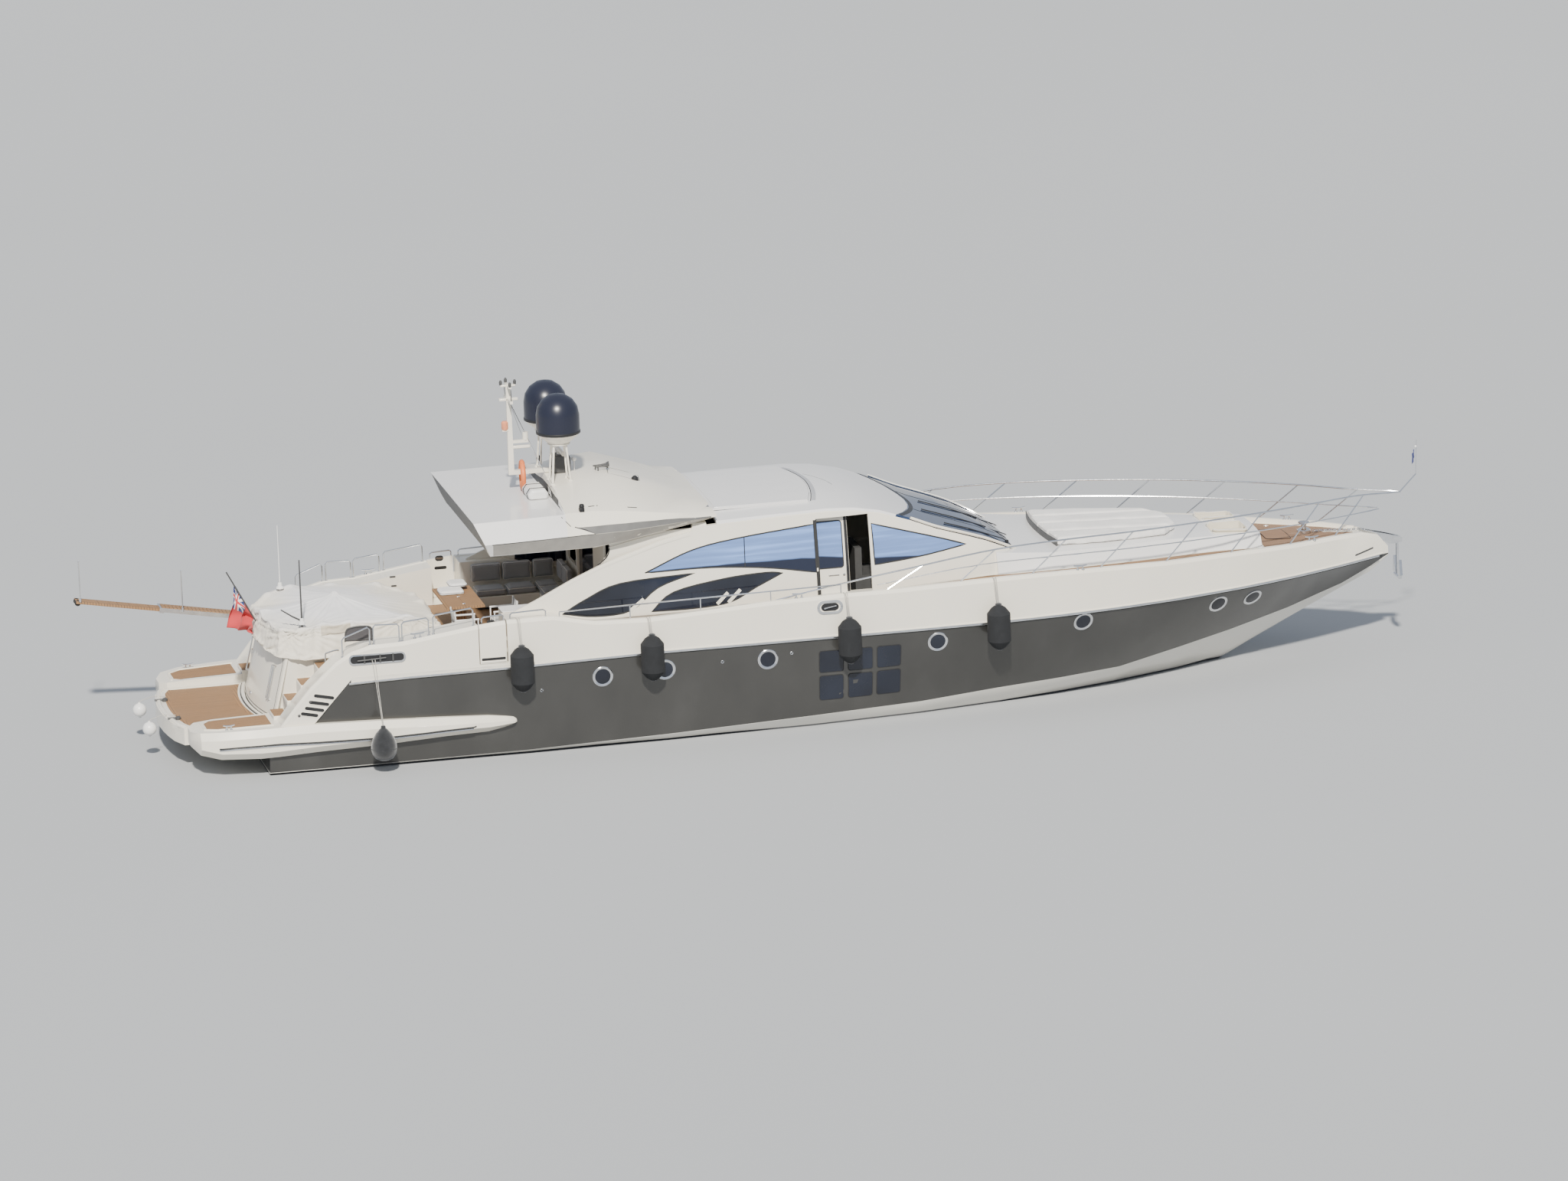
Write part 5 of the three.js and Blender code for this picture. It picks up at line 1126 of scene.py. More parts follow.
# Steps: four steep rises over the moulding, teak on each tread, a hoop to hold. Columns: station and height
# of each tread's after edge
STAIR = [(-11.295, 1.135), (-10.995, 1.44), (-10.695, 1.745), (-10.31, 2.056)]
STAIR_HEAD = -9.66
for side_name, side in SIDES.items():
    treads, grips, outline, floor = [], [], [(STAIR_HEAD, 2.03), (-11.2, 0.9)], PLATFORM_LEVEL
    for (x, z), reach in zip(STAIR, [x for x, _ in STAIR[1:]] + [STAIR_HEAD]):
        outline += [(x, floor), (x, z)]
        low_y, high_y = sorted((side * 1.76, side * 2.31))
        treads.append(block((x + 0.015, low_y, z - 0.004), (reach - 0.015, high_y, z + 0.012)))
        # The risers' grey grips: a non-slip face, and in part painted shade for the wing's shadow
        grips.append(block((x - 0.004, low_y + 0.02, floor + 0.05), (x + 0.004, high_y - 0.02, z - 0.04)))
        floor = z
    outline.append((STAIR_HEAD, floor))
    low_y, high_y = sorted((side * 1.7165, side * 2.342))
    piece(f"step_moulding_{side_name}", "cream", prism(outline, "y", low_y, high_y), bevel=0.008)
    piece(f"step_teak_{side_name}", "teak", *treads, bevel=0.004)
    piece(f"step_riser_grip_painted_shade_{side_name}", "grey_shade", *grips, bevel=0.002)
    hoop = [(x, side * 2.2, z) for x, z in (
        (-10.12, 1.9), (-10.13, 2.3), (-10.08, 2.36), (-9.9, 2.4), (-9.84, 2.36), (-9.84, 2.06))]
    piece(f"step_hoop_{side_name}", "steel", pipe(hoop, 0.017, 10, smooth=True))


def cleat(x, y, z, turn=0.0, size=0.3):
    """A mooring cleat: a horned bar on two legs with feet."""
    c, s = math.cos(turn), math.sin(turn)
    spot = lambda u, w, h: (x + u * c - w * s, y + u * s + w * c, z + h)
    horn = [spot(size * t, 0, 0.075 + 0.02 * t * t * 4) for t in (-0.5, -0.3, 0, 0.3, 0.5)]
    legs = [pipe([spot(size * t, 0, 0), spot(size * t * 0.9, 0, 0.07)], 0.017, 8) for t in (-0.2, 0.2)]
    feet = [lathe([(0, 0), (0.035, 0), (0.03, 0.012), (0, 0.014)], spot(size * t, 0, 0), sides=12)
            for t in (-0.2, 0.2)]
    return [pipe(horn, lambda t: 0.018 - 0.02 * (t - 0.5) ** 2, 8, smooth=True), *legs, *feet]


for side_name, side in SIDES.items():
    parts = []
    for x, inset in ((5.9, 0.09), (-0.2, 0.12), (11.4, 0.1), (-8.3, 0.12)):
        at = onto(deck, x, side * (rub_half(x) - inset), ABOVE)[0]
        parts += cleat(at.x, at.y, at.z + 0.002, turn=-0.02 * side)
    piece(f"deck_cleats_{side_name}", "steel", *parts)
    at = onto((f"side_pod_{side_name}",), -12.3, side * 2.72, ABOVE)[0]
    piece(f"wing_cleat_{side_name}", "steel", *cleat(at.x, at.y, at.z + 0.002, size=0.24))
chain = []
for k in range(23):
    x = 11.72 + k * 0.052
    z = onto(deck, x, 0.0, ABOVE)[0].z + 0.03
    link = [(x + 0.034 * math.cos(t), (0.02 if k % 2 else 0.006) * math.sin(t),
             z + (0.006 if k % 2 else 0.02) * math.sin(t)) for t in stretch(0, 2 * math.pi, 11)[:-1]]
    chain.append(pipe(link, 0.007, 6, closed=True))
piece("anchor_chain", "steel", *chain)
CAP = [(0, 0.004), (0.03, 0.004), (0.034, 0.012), (0.05, 0.012), (0.055, 0.002), (0.055, -0.01), (0, -0.01)]
caps = [lathe(CAP, onto(deck, x, y, ABOVE)[0], sides=18)
        for x, y in ((10.9, 0.9), (10.9, -0.9), (4.9, 2.55), (4.9, -2.55), (-4.6, 2.72), (-4.6, -2.72))]
piece("deck_filler_caps", "steel", *caps)

# Hardtop: grey band and aft face, recess, lamps, hatch; mast and domes

roof = ("hardtop",)
# Station and height of the knuckle along the hardtop's side
KNUCKLE = [(-6.58, 4.486), (-5.6, 4.5), (-5.02, 4.51), (-4.4, 4.52), (-3.73, 4.53), (-3.12, 4.56),
           (-2.24, 4.607), (-1.88, 4.602)]
for side_name, side in SIDES.items():
    seen = ("y", side)
    low_edge = [(-1.88, 4.56), (-2.27, 4.51), (-3.15, 4.39), (-3.75, 4.29), (-4.45, 4.213), (-6.56, 4.213)]
    lower = [(x, z - 0.004) for x, z in KNUCKLE] + low_edge
    piece(f"hardtop_band_{side_name}", "taupe", patch(lower, roof, seen, 0.005, 0.012, 0.12))
    upper = [(x, z + 0.004) for x, z in KNUCKLE[3:]]
    upper += [(-1.88, 4.625), (-2.9, 4.664), (-3.9, 4.668), (-4.79, 4.668), (-4.55, 4.58)]
    piece(f"hardtop_wedge_{side_name}", "grey", patch(upper, roof, seen, 0.005, 0.012, 0.12))
    line = [(-6.6, 4.475), (-4.4, 4.52), (-4.58, 4.61), (-4.82, 4.685)]
    piece(f"hardtop_band_seam_{side_name}", "black", ribbon(line, 0.016, roof, seen, 0.006, 0.012))
    piece(f"hardtop_joint_{side_name}", "dark",
          ribbon([(-5.08, 4.9), (-4.9, 4.7)], 0.014, roof, seen, 0.003, 0.01))
    lamp = onto(roof, -4.62, side * 2.36, ABOVE)[0]
    foot = [(lamp.x + dx, lamp.y + side * dy)
            for dx, dy in ((-0.06, -0.05), (0.06, -0.05), (0.05, 0.05), (-0.05, 0.05))]
    piece(f"hardtop_side_lamp_{side_name}", "black", prism(foot, "z", lamp.z - 0.01, lamp.z + 0.07),
          lathe([(0, 0.06), (0.05, 0.06), (0.06, 0.1), (0.045, 0.15), (0, 0.16)], lamp, sides=16),
          bevel=0.008)
    slots = [ribbon([(a, side * 2.2), (b, side * 2.2)], 0.022, roof, ABOVE, 0.004, 0.012)
             for a, b in ((-4.45, -4.25), (-3.62, -3.42))]
    piece(f"hardtop_slots_{side_name}", "black", *slots)
aft_face = [(-2.36, 4.88), (-2.6, 4.47), (-2.36, 4.25), (2.36, 4.25), (2.6, 4.47), (2.36, 4.88)]
piece("hardtop_aft_face", "dark", patch(aft_face, roof, ASTERN, 0.004, 0.012, 0.4))
for side_name, side in SIDES.items():
    facet = [(side * 2.395, 4.23), (side * 2.6, 4.44), (side * 2.52, 4.22)]
    piece(f"hardtop_aft_facet_{side_name}", "cream", patch(facet, roof, ASTERN, 0.007, 0.012))
hatch = [(-3.74, -0.8), (-3.1, -0.95), (-2.98, -0.15), (-3.6, 0.05)]
piece("hardtop_hatch_seam", "dark", ribbon(hatch, 0.014, roof, ABOVE, 0.003, 0.01, closed=True))
seat = onto(roof, -3.2, -0.95, ABOVE)[0]
piece("hardtop_deck_light", "black",
      lathe([(0, -0.01), (0.08, -0.01), (0.07, 0.05), (0.03, 0.09), (0, 0.095)], seat, sides=18))
horns = []
for dx, dy, length in ((0, -0.25, 0.34), (0.03, -0.4, 0.26)):
    base = onto(roof, -3.95 + dx, dy, ABOVE)[0] + Vector((0, 0, 0.09))
    bell = [(0, 0), (0.016, 0), (0.016, length * 0.5), (0.028, length * 0.8), (0.06, length), (0.05, length),
            (0, length * 0.8)]
    horns.append(lathe(bell, base, (1, 0, 0.05), 16))
    horns.append(pipe([base + Vector((0.05, 0, -0.1)), base + Vector((0.05, 0, 0))], 0.015, 8))
piece("signal_horns", "dark", *horns)

# The recess at the foot of the raised step: a black strip painted as the shadow under the step, a raft
# canister and a ring buoy
step_line = [(-5.0, y) for y in stretch(-2.2, 2.2, 9)]
piece("hardtop_step_painted_shadow", "black", ribbon(step_line, 0.03, roof, ABOVE, 0.004, 0.012))
floor = onto(roof, -5.3, -0.45, ABOVE)[0].z
RAFT_X, RAFT_Y = -5.27, -0.62
CANISTER = [(-0.2, 0.0), (-0.22, 0.1), (-0.15, 0.2), (0.15, 0.2), (0.22, 0.1), (0.2, 0.0)]
canister = loft([[(RAFT_X + dx * s, RAFT_Y + dy, floor + 0.01 + h * s) for dx, h in CANISTER]
                 for dy, s in ((-0.4, 0.8), (-0.36, 1.0), (0.36, 1.0), (0.4, 0.8))])
piece("raft_canister", "white", canister, bevel=0.02)
straps = [loft([[(RAFT_X + dx * 1.03, RAFT_Y + y + w, floor + 0.005 + h * 1.04) for dx, h in CANISTER]
                for w in (-0.025, 0.025)]) for y in (-0.2, 0.2)]
piece("raft_straps", "black", *straps)
ring = [(-5.42 + 0.03 * math.cos(t), -0.02 + 0.29 * math.cos(t), floor + 0.33 + 0.27 * math.sin(t))
        for t in stretch(0, 2 * math.pi, 29)[:-1]]
piece("ring_buoy", "orange", pipe(ring, 0.055, 12, closed=True))

MAST_X = -5.65
arms = [block((MAST_X - 0.2, -0.05, 6.9), (MAST_X + 0.2, 0.05, 6.955)),
        block((MAST_X - 0.16, -0.04, 7.2), (MAST_X + 0.16, 0.04, 7.245)),
        block((MAST_X + 0.02, -0.04, 5.86), (MAST_X + 0.42, 0.04, 5.92))]
piece("mast_crosspieces", "cream", *arms, bevel=0.012)
tips = [lathe([(0, 0), (0.03, 0), (0.035, 0.06), (0.02, 0.1), (0, 0.105)], (MAST_X + dx, y, z), sides=12)
        for dx, y, z in ((-0.15, 0, 7.24), (0.15, 0, 7.24), (0, -0.24, 7.235), (0, 0.24, 7.235))]
piece("mast_lamps", "dark", *tips)
light = lathe([(0, 0), (0.06, 0), (0.075, 0.03), (0.075, 0.16), (0.05, 0.19), (0, 0.195)],
              (MAST_X - 0.1, -0.02, 6.28), sides=18)
piece("mast_steaming_light", "lamp", light)
piece("mast_light_bracket", "cream", block((MAST_X - 0.16, -0.06, 6.25), (MAST_X - 0.03, 0.03, 6.282)),
      bevel=0.004)
whip = pipe([(MAST_X, -0.36, 6.96), (MAST_X, -0.36, 7.2)], lambda t: 0.012 - 0.006 * t, 8)
wind = pipe([(MAST_X, 0.36, 6.96), (MAST_X, 0.36, 7.12), (MAST_X + 0.12, 0.36, 7.14)], 0.008, 8, smooth=True)
cups = [ball((MAST_X + 0.12 + 0.05 * math.cos(t), 0.36 + 0.05 * math.sin(t), 7.15), 0.018, 10)
        for t in (0, 2.09, 4.19)]
piece("mast_instruments", "dark", whip, wind, *cups)
foot = onto(roof, -4.95, -0.05, ABOVE)[0]
piece("mast_stay", "steel", pipe([(MAST_X + 0.05, 0, 6.8), foot], 0.012, 8))
piece("mast_signal_line", "steel", pipe([(MAST_X + 0.03, 0.2, 6.9), (MAST_X + 0.3, 0.12, 6.04)], 0.006, 6))

for side_name, side in SIDES.items():
    low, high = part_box(f"satellite_dome_{side_name}")
    cx, cy = (low[0] + high[0]) / 2, (low[1] + high[1]) / 2
    collar = [(0.452, 6.275), (0.470, 6.285), (0.470, 6.325), (0.461, 6.335), (0.45, 6.33)]
    piece(f"dome_collar_{side_name}", "black", lathe(collar, (cx, cy, 0), sides=48))
    plate = lathe([(0, 6.045), (0.24, 6.045), (0.245, 6.06), (0.22, 6.085), (0, 6.085)], (cx, cy, 0),
                  sides=32)
    piece(f"dome_plate_{side_name}", "cream", plate)
    seats = [onto(roof, cx + i * 0.19, cy + j * 0.19, ABOVE)[0] for i in (-1, 1) for j in (-1, 1)]
    foot = [(0, -0.01), (0.06, -0.01), (0.06, 0.012), (0.035, 0.03), (0, 0.03)]
    piece(f"dome_feet_{side_name}", "cream", *(lathe(foot, at, sides=16) for at in seats))
    heads = [at + Vector((0, 0, 0.03)) for at in seats]
    piece(f"dome_base_bars_{side_name}", "cream", pipe(heads[:2], 0.018, 8), pipe(heads[2:], 0.018, 8))
SCANNER_X = -4.6
base = onto(roof, SCANNER_X, 0.0, ABOVE)[0].z
corners = ((-0.19, -0.2), (0.19, -0.2), (0.19, 0.2), (-0.19, 0.2))
scanner = loft([[(SCANNER_X + dx * s, dy * s, h) for dx, dy in corners]
                for h, s in ((base - 0.005, 1.0), (base + 0.3, 1.0), (base + 0.36, 0.86))])
piece("radar_gearbox", "dark", scanner, bevel=0.015)
bar = [(SCANNER_X, y, base + 0.44) for y in (-0.42, -0.3, 0, 0.3, 0.42)]
piece("radar_scanner_bar", "cream", pipe(bar, 0.045, 12),
      lathe([(0, 0), (0.07, 0), (0.06, 0.08), (0, 0.085)], (SCANNER_X, 0, base + 0.355), sides=16))
spot = onto(roof, -4.32, -0.1, ABOVE)[0]
piece("ball_aerial", "white", pipe([spot, spot + Vector((0, 0, 0.2))], 0.012, 8),
      ball(spot + Vector((0, 0, 0.25)), 0.055, 16))

# Stern: garage door, poles, gangway, rails on the coaming, fenders and their ropes

lid = ("garage_lid",)
for side_name, side in SIDES.items():
    parts = []
    for shift in (0, 0.09):
        ends = [onto(lid, side * (1.26 + shift), z, ASTERN)[0] for z in (1.95, 1.25)]
        out = Vector((-0.05, 0, 0.02))
        parts.append(pipe([ends[0], ends[0] + out, ends[1] + out, ends[1]], 0.014, 10))
    piece(f"garage_grab_bars_{side_name}", "steel", *parts, body="garage_lid")
catch = onto(lid, 0.0, 1.08, ASTERN)[0]
piece("garage_catch", "steel",
      lathe([(0, -0.01), (0.045, -0.01), (0.045, 0.01), (0.03, 0.02), (0, 0.012)], catch, (-1, 0, 0.2), 20),
      body="garage_lid")
seal = rounded(-1.62, 1.62, 0.96, 2.2, 0.12, 6)
piece("garage_door_groove", "dark", ribbon(seal, 0.016, lid, ASTERN, 0.003, 0.01, 0.15, closed=True),
      body="garage_lid")

# Hoops of rail along the coaming: their two ends, the rail's radius and how far in it stands
RAIL_RUNS = [(-9.88, -9.3), (-9.22, -8.68), (-8.62, -8.06), (-7.96, -7.12)]
RAIL, RAIL_INSET = 0.016, 0.13
FLANGE = [(0, -0.01), (0.035, -0.01), (0.033, 0.008), (0.02, 0.014), (0, 0.014)]
for side_name, side in SIDES.items():
    parts, flanges = [], []
    for run in RAIL_RUNS:
        (a, b), (ya, yb), (za, zb) = run, (side * (rub_half(x) - RAIL_INSET) for x in run), map(gunwale, run)
        high_a, high_b = za + 0.40, zb + 0.37
        path = [(a, ya, za - 0.005), (a, ya, high_a - 0.05), (a + 0.04, ya, high_a), (b - 0.04, yb, high_b),
                (b, yb, high_b - 0.05), (b, yb, zb - 0.005)]
        parts.append(pipe(path, RAIL, 10))
        flanges += [lathe(FLANGE, at, sides=14) for at in ((a, ya, za), (b, yb, zb))]
    piece(f"coaming_rails_{side_name}", "steel", *parts)
    piece(f"coaming_rail_feet_{side_name}", "steel", *flanges)

# Fender ropes: a thin doubled line from the rail to each fender
ROPE_DIAMETER, FENDER_HEAD = 0.014, 2.43
FENDERS = {"aft": -6.19, "midaft": -3.43, "midforward": 0.78, "forward": 3.99}


def rope(name, points, per, far_end="object", **more):
    """A taut rope through points, from where it is made fast."""
    line = spline(points, per)
    made = piece(name, "rope", pipe(line, ROPE_DIAMETER / 2, 8))
    length = sum((b - a).length for a, b in zip(line, line[1:]))
    tuple(line[0])
    [tuple(p) for p in line]


for name, x in FENDERS.items():
    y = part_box(f"fender_{name}")[0].y + 0.25
    edge = Vector((x, -(rub_half(x) + 0.016), gunwale(x) - 0.06))
    on_deck = Vector((x, -(rub_half(x) - 0.075), gunwale(x) + 0.012))
    for k, dx in enumerate((-0.022, 0.022)):
        shift = Vector((dx, 0, 0))
        path = [on_deck + shift * 1.6 + Vector((0, 0.05, 0.002)), on_deck + shift * 1.4,
                on_deck + shift * 1.3 + Vector((0, -0.055, 0)),
                edge + shift * 1.2 + Vector((0, -0.002, 0.02)),
                edge.lerp(Vector((x, y, FENDER_HEAD)), 0.5) + shift,
                Vector((x, y, FENDER_HEAD - 0.01)) + shift * 0.7]
        rope(f"fender_rope_{name}_{k}", path, 5)
    collar = lathe([(0.055, 2.41), (0.075, 2.42), (0.07, 2.455), (0.04, 2.47), (0.0, 2.472), (0, 2.41)],
                   (x, y, 0), sides=20)
    foot = lathe([(0, 1.455), (0.05, 1.455), (0.075, 1.475), (0.06, 1.49), (0, 1.49)], (x, y, 0), sides=20)
    piece(f"fender_ends_{name}", "knit", collar, foot)

# The pear-shaped fender off the starboard quarter
x, y = -9.19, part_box("fender_ball_quarter")[0].y + 0.27
pear = lathe([(0, 0.29), (0.1, 0.3), (0.19, 0.345), (0.25, 0.43), (0.27, 0.54), (0.262, 0.64), (0.225, 0.76),
              (0.16, 0.87), (0.09, 0.945), (0.055, 0.98), (0.05, 1.02), (0.035, 1.035), (0, 1.037)],
             (x, y, 0), sides=40)
seams = [lathe([(r - 0.004, z), (r + 0.003, z + 0.006), (r - 0.004, z + 0.012)], (x, y, 0), sides=40)
         for r, z in ((0.27, 0.55), (0.09, 0.94))]
pear_fender = piece("fender_pear_quarter", "knit", pear, *seams)
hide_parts("fender_ball_quarter")
mouth = onto(("topsides",), -9.26, 2.36, ("y", -1))[0]
for k, dx in enumerate((-0.03, 0.03)):
    start = mouth + Vector((dx, -0.012, 0))
    path = [start, start + Vector((0, -0.045, -0.05)),
            start.lerp(Vector((x, y, 1.03)), 0.5) + Vector((0, -0.01, 0)), Vector((x + dx * 0.3, y, 1.03))]
    rope(f"fender_rope_quarter_{k}", path, 6)

# Two small ball fenders over the platform's after edge
for k, (x, y) in enumerate(((-13.62, 1.0), (-13.66, -0.62))):
    at = Vector((x, y, 0.66))
    collars = [lathe([(0, h), (0.032, h), (0.024, h + 0.03 * w), (0, h + 0.034 * w)], at, sides=14)
               for h, w in ((0.135, 1), (-0.135, -1))]
    buoy = piece(f"ball_fender_{k}", "white", ball(at, 0.146, 28), *collars)
    edge = Vector((aft_edge(y) + 0.03, y, 0.93))
    path = [edge + Vector((0.2, 0.01, -0.032)), edge + Vector((0.06, 0, -0.015)),
            edge + Vector((-0.06, 0, -0.005)), at.lerp(edge, 0.4) + Vector((0, 0, 0.12)),
            *(at + Vector((0, 0, rise)) for rise in (0.17, 0.05, -0.172))]
    rope(f"ball_fender_rope_{k}", path, 6, far_end="knot", with_pieces=[buoy])

# Gangway: teak battens, stanchions and tip rollers. Its slope at rest, in radians, and its hinge
RISE = 0.1765
PIVOT = Vector((-10.52, 2.66, 1.985))


def gangway_point(r, s, u):
    """A point r metres out along the gangway, s across it and u above its line."""
    c, w = math.cos(RISE), math.sin(RISE)
    return PIVOT + Vector((-r * c + u * w, s, r * w + u * c))


for name, rider, start, pitch, count, half, levels in (
    ("gangway_treads", "passerelle", 0.2, 0.083, 26, 0.165, (0.058, 0.07)),
    ("gangway_slide_treads", "passerelle_slide", 2.44, 0.085, 20, 0.14, (0.027, 0.0315)),
):
    battens = []
    for r in (start + k * pitch for k in range(count)):
        corners = [(r, -half), (r + 0.07, -half), (r + 0.07, half), (r, half)]
        battens.append(loft([[gangway_point(a, b, u) for a, b in corners] for u in levels]))
    piece(name, "teak", *battens, body=rider)
for k, (r, s, rider) in enumerate(((1.9, -0.19, "passerelle"), (4.1, -0.15, "passerelle_slide"))):
    foot, head = gangway_point(r, s, 0.04), gangway_point(r, s, 0.04) + Vector((0, 0, 0.86))
    post = pipe([foot, head], 0.013, 10)
    cap = ball(head, 0.02, 12)
    shoe = lathe([(0, -0.02), (0.03, -0.02), (0.028, 0.06), (0, 0.062)], foot, sides=14)
    piece(f"gangway_stanchion_{k}", "steel", post, cap, shoe, body=rider)
wheel = [(0, -0.03), (0.06, -0.03), (0.065, 0), (0.06, 0.03), (0, 0.03)]
wheels = [lathe(wheel, gangway_point(4.14, s, -0.02), (0, 1, 0), 20) for s in (-0.1, 0.1)]
piece("gangway_tip_rollers", "rubber", *wheels, body="passerelle_slide")

# Finishes that change with height on one node


def two_tone(name, height, below, above):
    """A finish that changes from one colour and roughness to another at a height."""
    (low_color, low_rough), (high_color, high_rough) = below, above
    look = Look(name, low_color, low_rough)
    _, _, z = look.axes()
    upper = look.math("GREATER_THAN", z, height)
    cloud = look.noise(6.0, 4)
    low = look.ramp(cloud, (0.3, tinted(low_color, 0.85)), (0.7, tinted(low_color, 1.15)))
    high = look.ramp(cloud, (0.3, tinted(high_color, 0.94)), (0.7, high_color))
    look.color(look.mix(upper, low, high))
    look.rough(look.math("ADD", low_rough, look.math("MULTIPLY", upper, high_rough - low_rough)))
    look.bump(look.noise(120.0, 2), 0.12, 0.002)
    return look.mat


KNIT, ROPE = ((0.013, 0.014, 0.016), 0.93), ((0.42, 0.4, 0.36), 0.85)
for node in [n for n in NODES if n.startswith("fender_")]:
    height = 1.0 if node == "fender_ball_quarter" else 2.44
    NODES[node].data.materials[0] = two_tone(f"{node}_finish", height, KNIT, ROPE)
SHELL_NAVY, CONE_CREAM = ((0.012, 0.014, 0.028), 0.3), (CREAM, 0.32)
for side_name in SIDES:
    dome = NODES[f"satellite_dome_{side_name}"].data
    dome.materials[0] = two_tone(f"dome_finish_{side_name}", 6.27, CONE_CREAM, SHELL_NAVY)

# Soft goods


def open_mesh(name, look, verts, faces, body="boat"):
    """One object from a mesh as it is, for cloth."""
    mesh = bpy.data.meshes.new(name)
    mesh.from_pydata([tuple(v) for v in verts], [], faces)
    mesh.shade_smooth()
    mesh.materials.append(M[look])
    made = add_object(name, mesh)
    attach(made, body)
    return made


def apply_modifiers(made):
    graph = bpy.context.evaluated_depsgraph_get()
    done = bpy.data.meshes.new_from_object(made.evaluated_get(graph))
    old = made.data
    made.modifiers.clear()
    made.data = done
    bpy.data.meshes.remove(old)


def thicken(made, thickness):
    """Give a cloth its thickness, half of it to each side."""
    shell = made.modifiers.new("cloth_thickness", "SOLIDIFY")
    shell.thickness, shell.offset = thickness, 0.0
    apply_modifiers(made)


def grid_faces(columns, rows):
    """Quads between points that are laid out column by column."""
    return [(i * rows + j, i * rows + j + 1, (i + 1) * rows + j + 1, (i + 1) * rows + j)
            for i in range(columns - 1) for j in range(rows - 1)]


def settle(made, frames, pinned, reach, gravity, **settings):
    """Run Blender's cloth on a piece, cap how far each point moves and keep the result."""
    rest = [v.co.copy() for v in made.data.vertices]
    cloth_mod = made.modifiers.new("cloth", "CLOTH")
    cloth_mod.settings.effector_weights.gravity = gravity
    for key, value in settings.items():
        setattr(cloth_mod.settings, key, value)
    made.vertex_groups.new(name="pinned").add(pinned, 1.0, "REPLACE")
    cloth_mod.settings.vertex_group_mass = "pinned"
    cloth_mod.collision_settings.use_self_collision = False
    scene = bpy.context.scene
    scene.frame_start, scene.frame_end = 1, frames
    for step in range(1, frames + 1):
        scene.frame_set(step)
    graph = bpy.context.evaluated_depsgraph_get()
    moved = [v.co.copy() for v in made.evaluated_get(graph).data.vertices]
    made.modifiers.remove(cloth_mod)
    made.vertex_groups.clear()
    for vertex, start, end in zip(made.data.vertices, rest, moved):
        step = end - start
        vertex.co = start + (step if step.length <= reach else step.normalized() * reach)
    scene.frame_set(1)


# The cover over the sunbed. Columns: x, y and z along its shoulder, from the aft crest round by starboard,
# and the height of the hem below
SHOULDER = [Vector(p) for p in (
    (-11.16, -0.3, 2.93, 2.3), (-11.1, -1.05, 2.84, 2.28), (-10.95, -1.6, 2.81, 2.22),
    (-10.5, -1.74, 2.8, 2.15), (-10.1, -1.76, 2.89, 2.16), (-9.5, -1.78, 2.91, 2.2),
    (-8.25, -1.76, 2.92, 2.22), (-7.62, -1.72, 2.69, 2.36), (-7.6, -0.8, 2.64, 2.42),
    (-7.6, 0.3, 2.7, 2.42), (-7.62, 1.2, 2.64, 2.42), (-7.9, 1.68, 2.64, 2.3),
    (-8.3, 1.76, 2.8, 2.22), (-9.3, 1.78, 2.86, 2.2), (-10.2, 1.72, 2.92, 2.2),
    (-10.75, 1.62, 2.8, 2.24), (-11.09, 1.25, 2.66, 2.3), (-11.16, 0.5, 2.8, 2.3))]
PEAK = Vector((-9.59, -0.4, 3.22))
AROUND, TOP_ROWS, SKIRT_ROWS = 340, 48, 26
# Corners that folds fan out from, their number in a full turn and their reach
FOLD_SPOTS = [(SHOULDER[3], 30.0, 1.25), (SHOULDER[6], 34.0, 0.95), (SHOULDER[2], 24.0, 0.7),
              (SHOULDER[12], 32.0, 0.9)]


def evenly(ring, count):
    """Points at even steps round a closed line."""
    ring = [*ring, ring[0]]
    steps = [(b - a).length for a, b in zip(ring, ring[1:])]
    made, leg, done = [], 0, 0.0
    for k in range(count):
        want = sum(steps) * k / count
        while want > done + steps[leg]:
            done += steps[leg]
            leg += 1
        made.append(ring[leg].lerp(ring[leg + 1], (want - done) / steps[leg]))
    return made


def eased(ring, passes):
    """A closed line smoothed by averaging each point with its neighbours."""
    for _ in range(passes):
        ring = [(ring[k - 1] + ring[k] * 2 + ring[(k + 1) % len(ring)]) / 4 for k in range(len(ring))]
    return ring


def folded(p, k, out, share, skirt):
    """A point of the cover moved by the folds that run from its corners and by the pleats of its skirt."""
    side = -1 if p.y < 0 else 1
    for spot, count, reach in FOLD_SPOTS:
        if spot.y * side < 0:
            continue
        along = p.x - spot.x
        across = (abs(spot.y) - abs(p.y)) if skirt == 0 else p.z - spot.z
        arm = math.hypot(along, across)
        fade = max(0.0, 1 - arm / reach) * min(1.0, arm / 0.1)
        fold = 0.022 * fade * math.sin(math.atan2(across, along) * count + 0.8 * math.sin(arm * 6))
        p = p + (out * fold if skirt else Vector((0, 0, fold * 0.6)))
    turn = 2 * math.pi * k / AROUND
    if skirt:
        wide = math.sin(turn * 41 + 3.5 * skirt + 2 * math.sin(turn * 7))
        narrow = math.sin(turn * 83 - 2 * skirt)
        return p + out * (0.026 * skirt**0.8 * (wide * 0.6 + narrow * 0.4))
    ray = math.sin(turn * 37 + 1.5 * math.sin(k * 0.11)) * math.sin(math.pi * share)
    return p + Vector((0, 0, 0.005 * ray - 0.035 * math.sin(math.pi * share)))


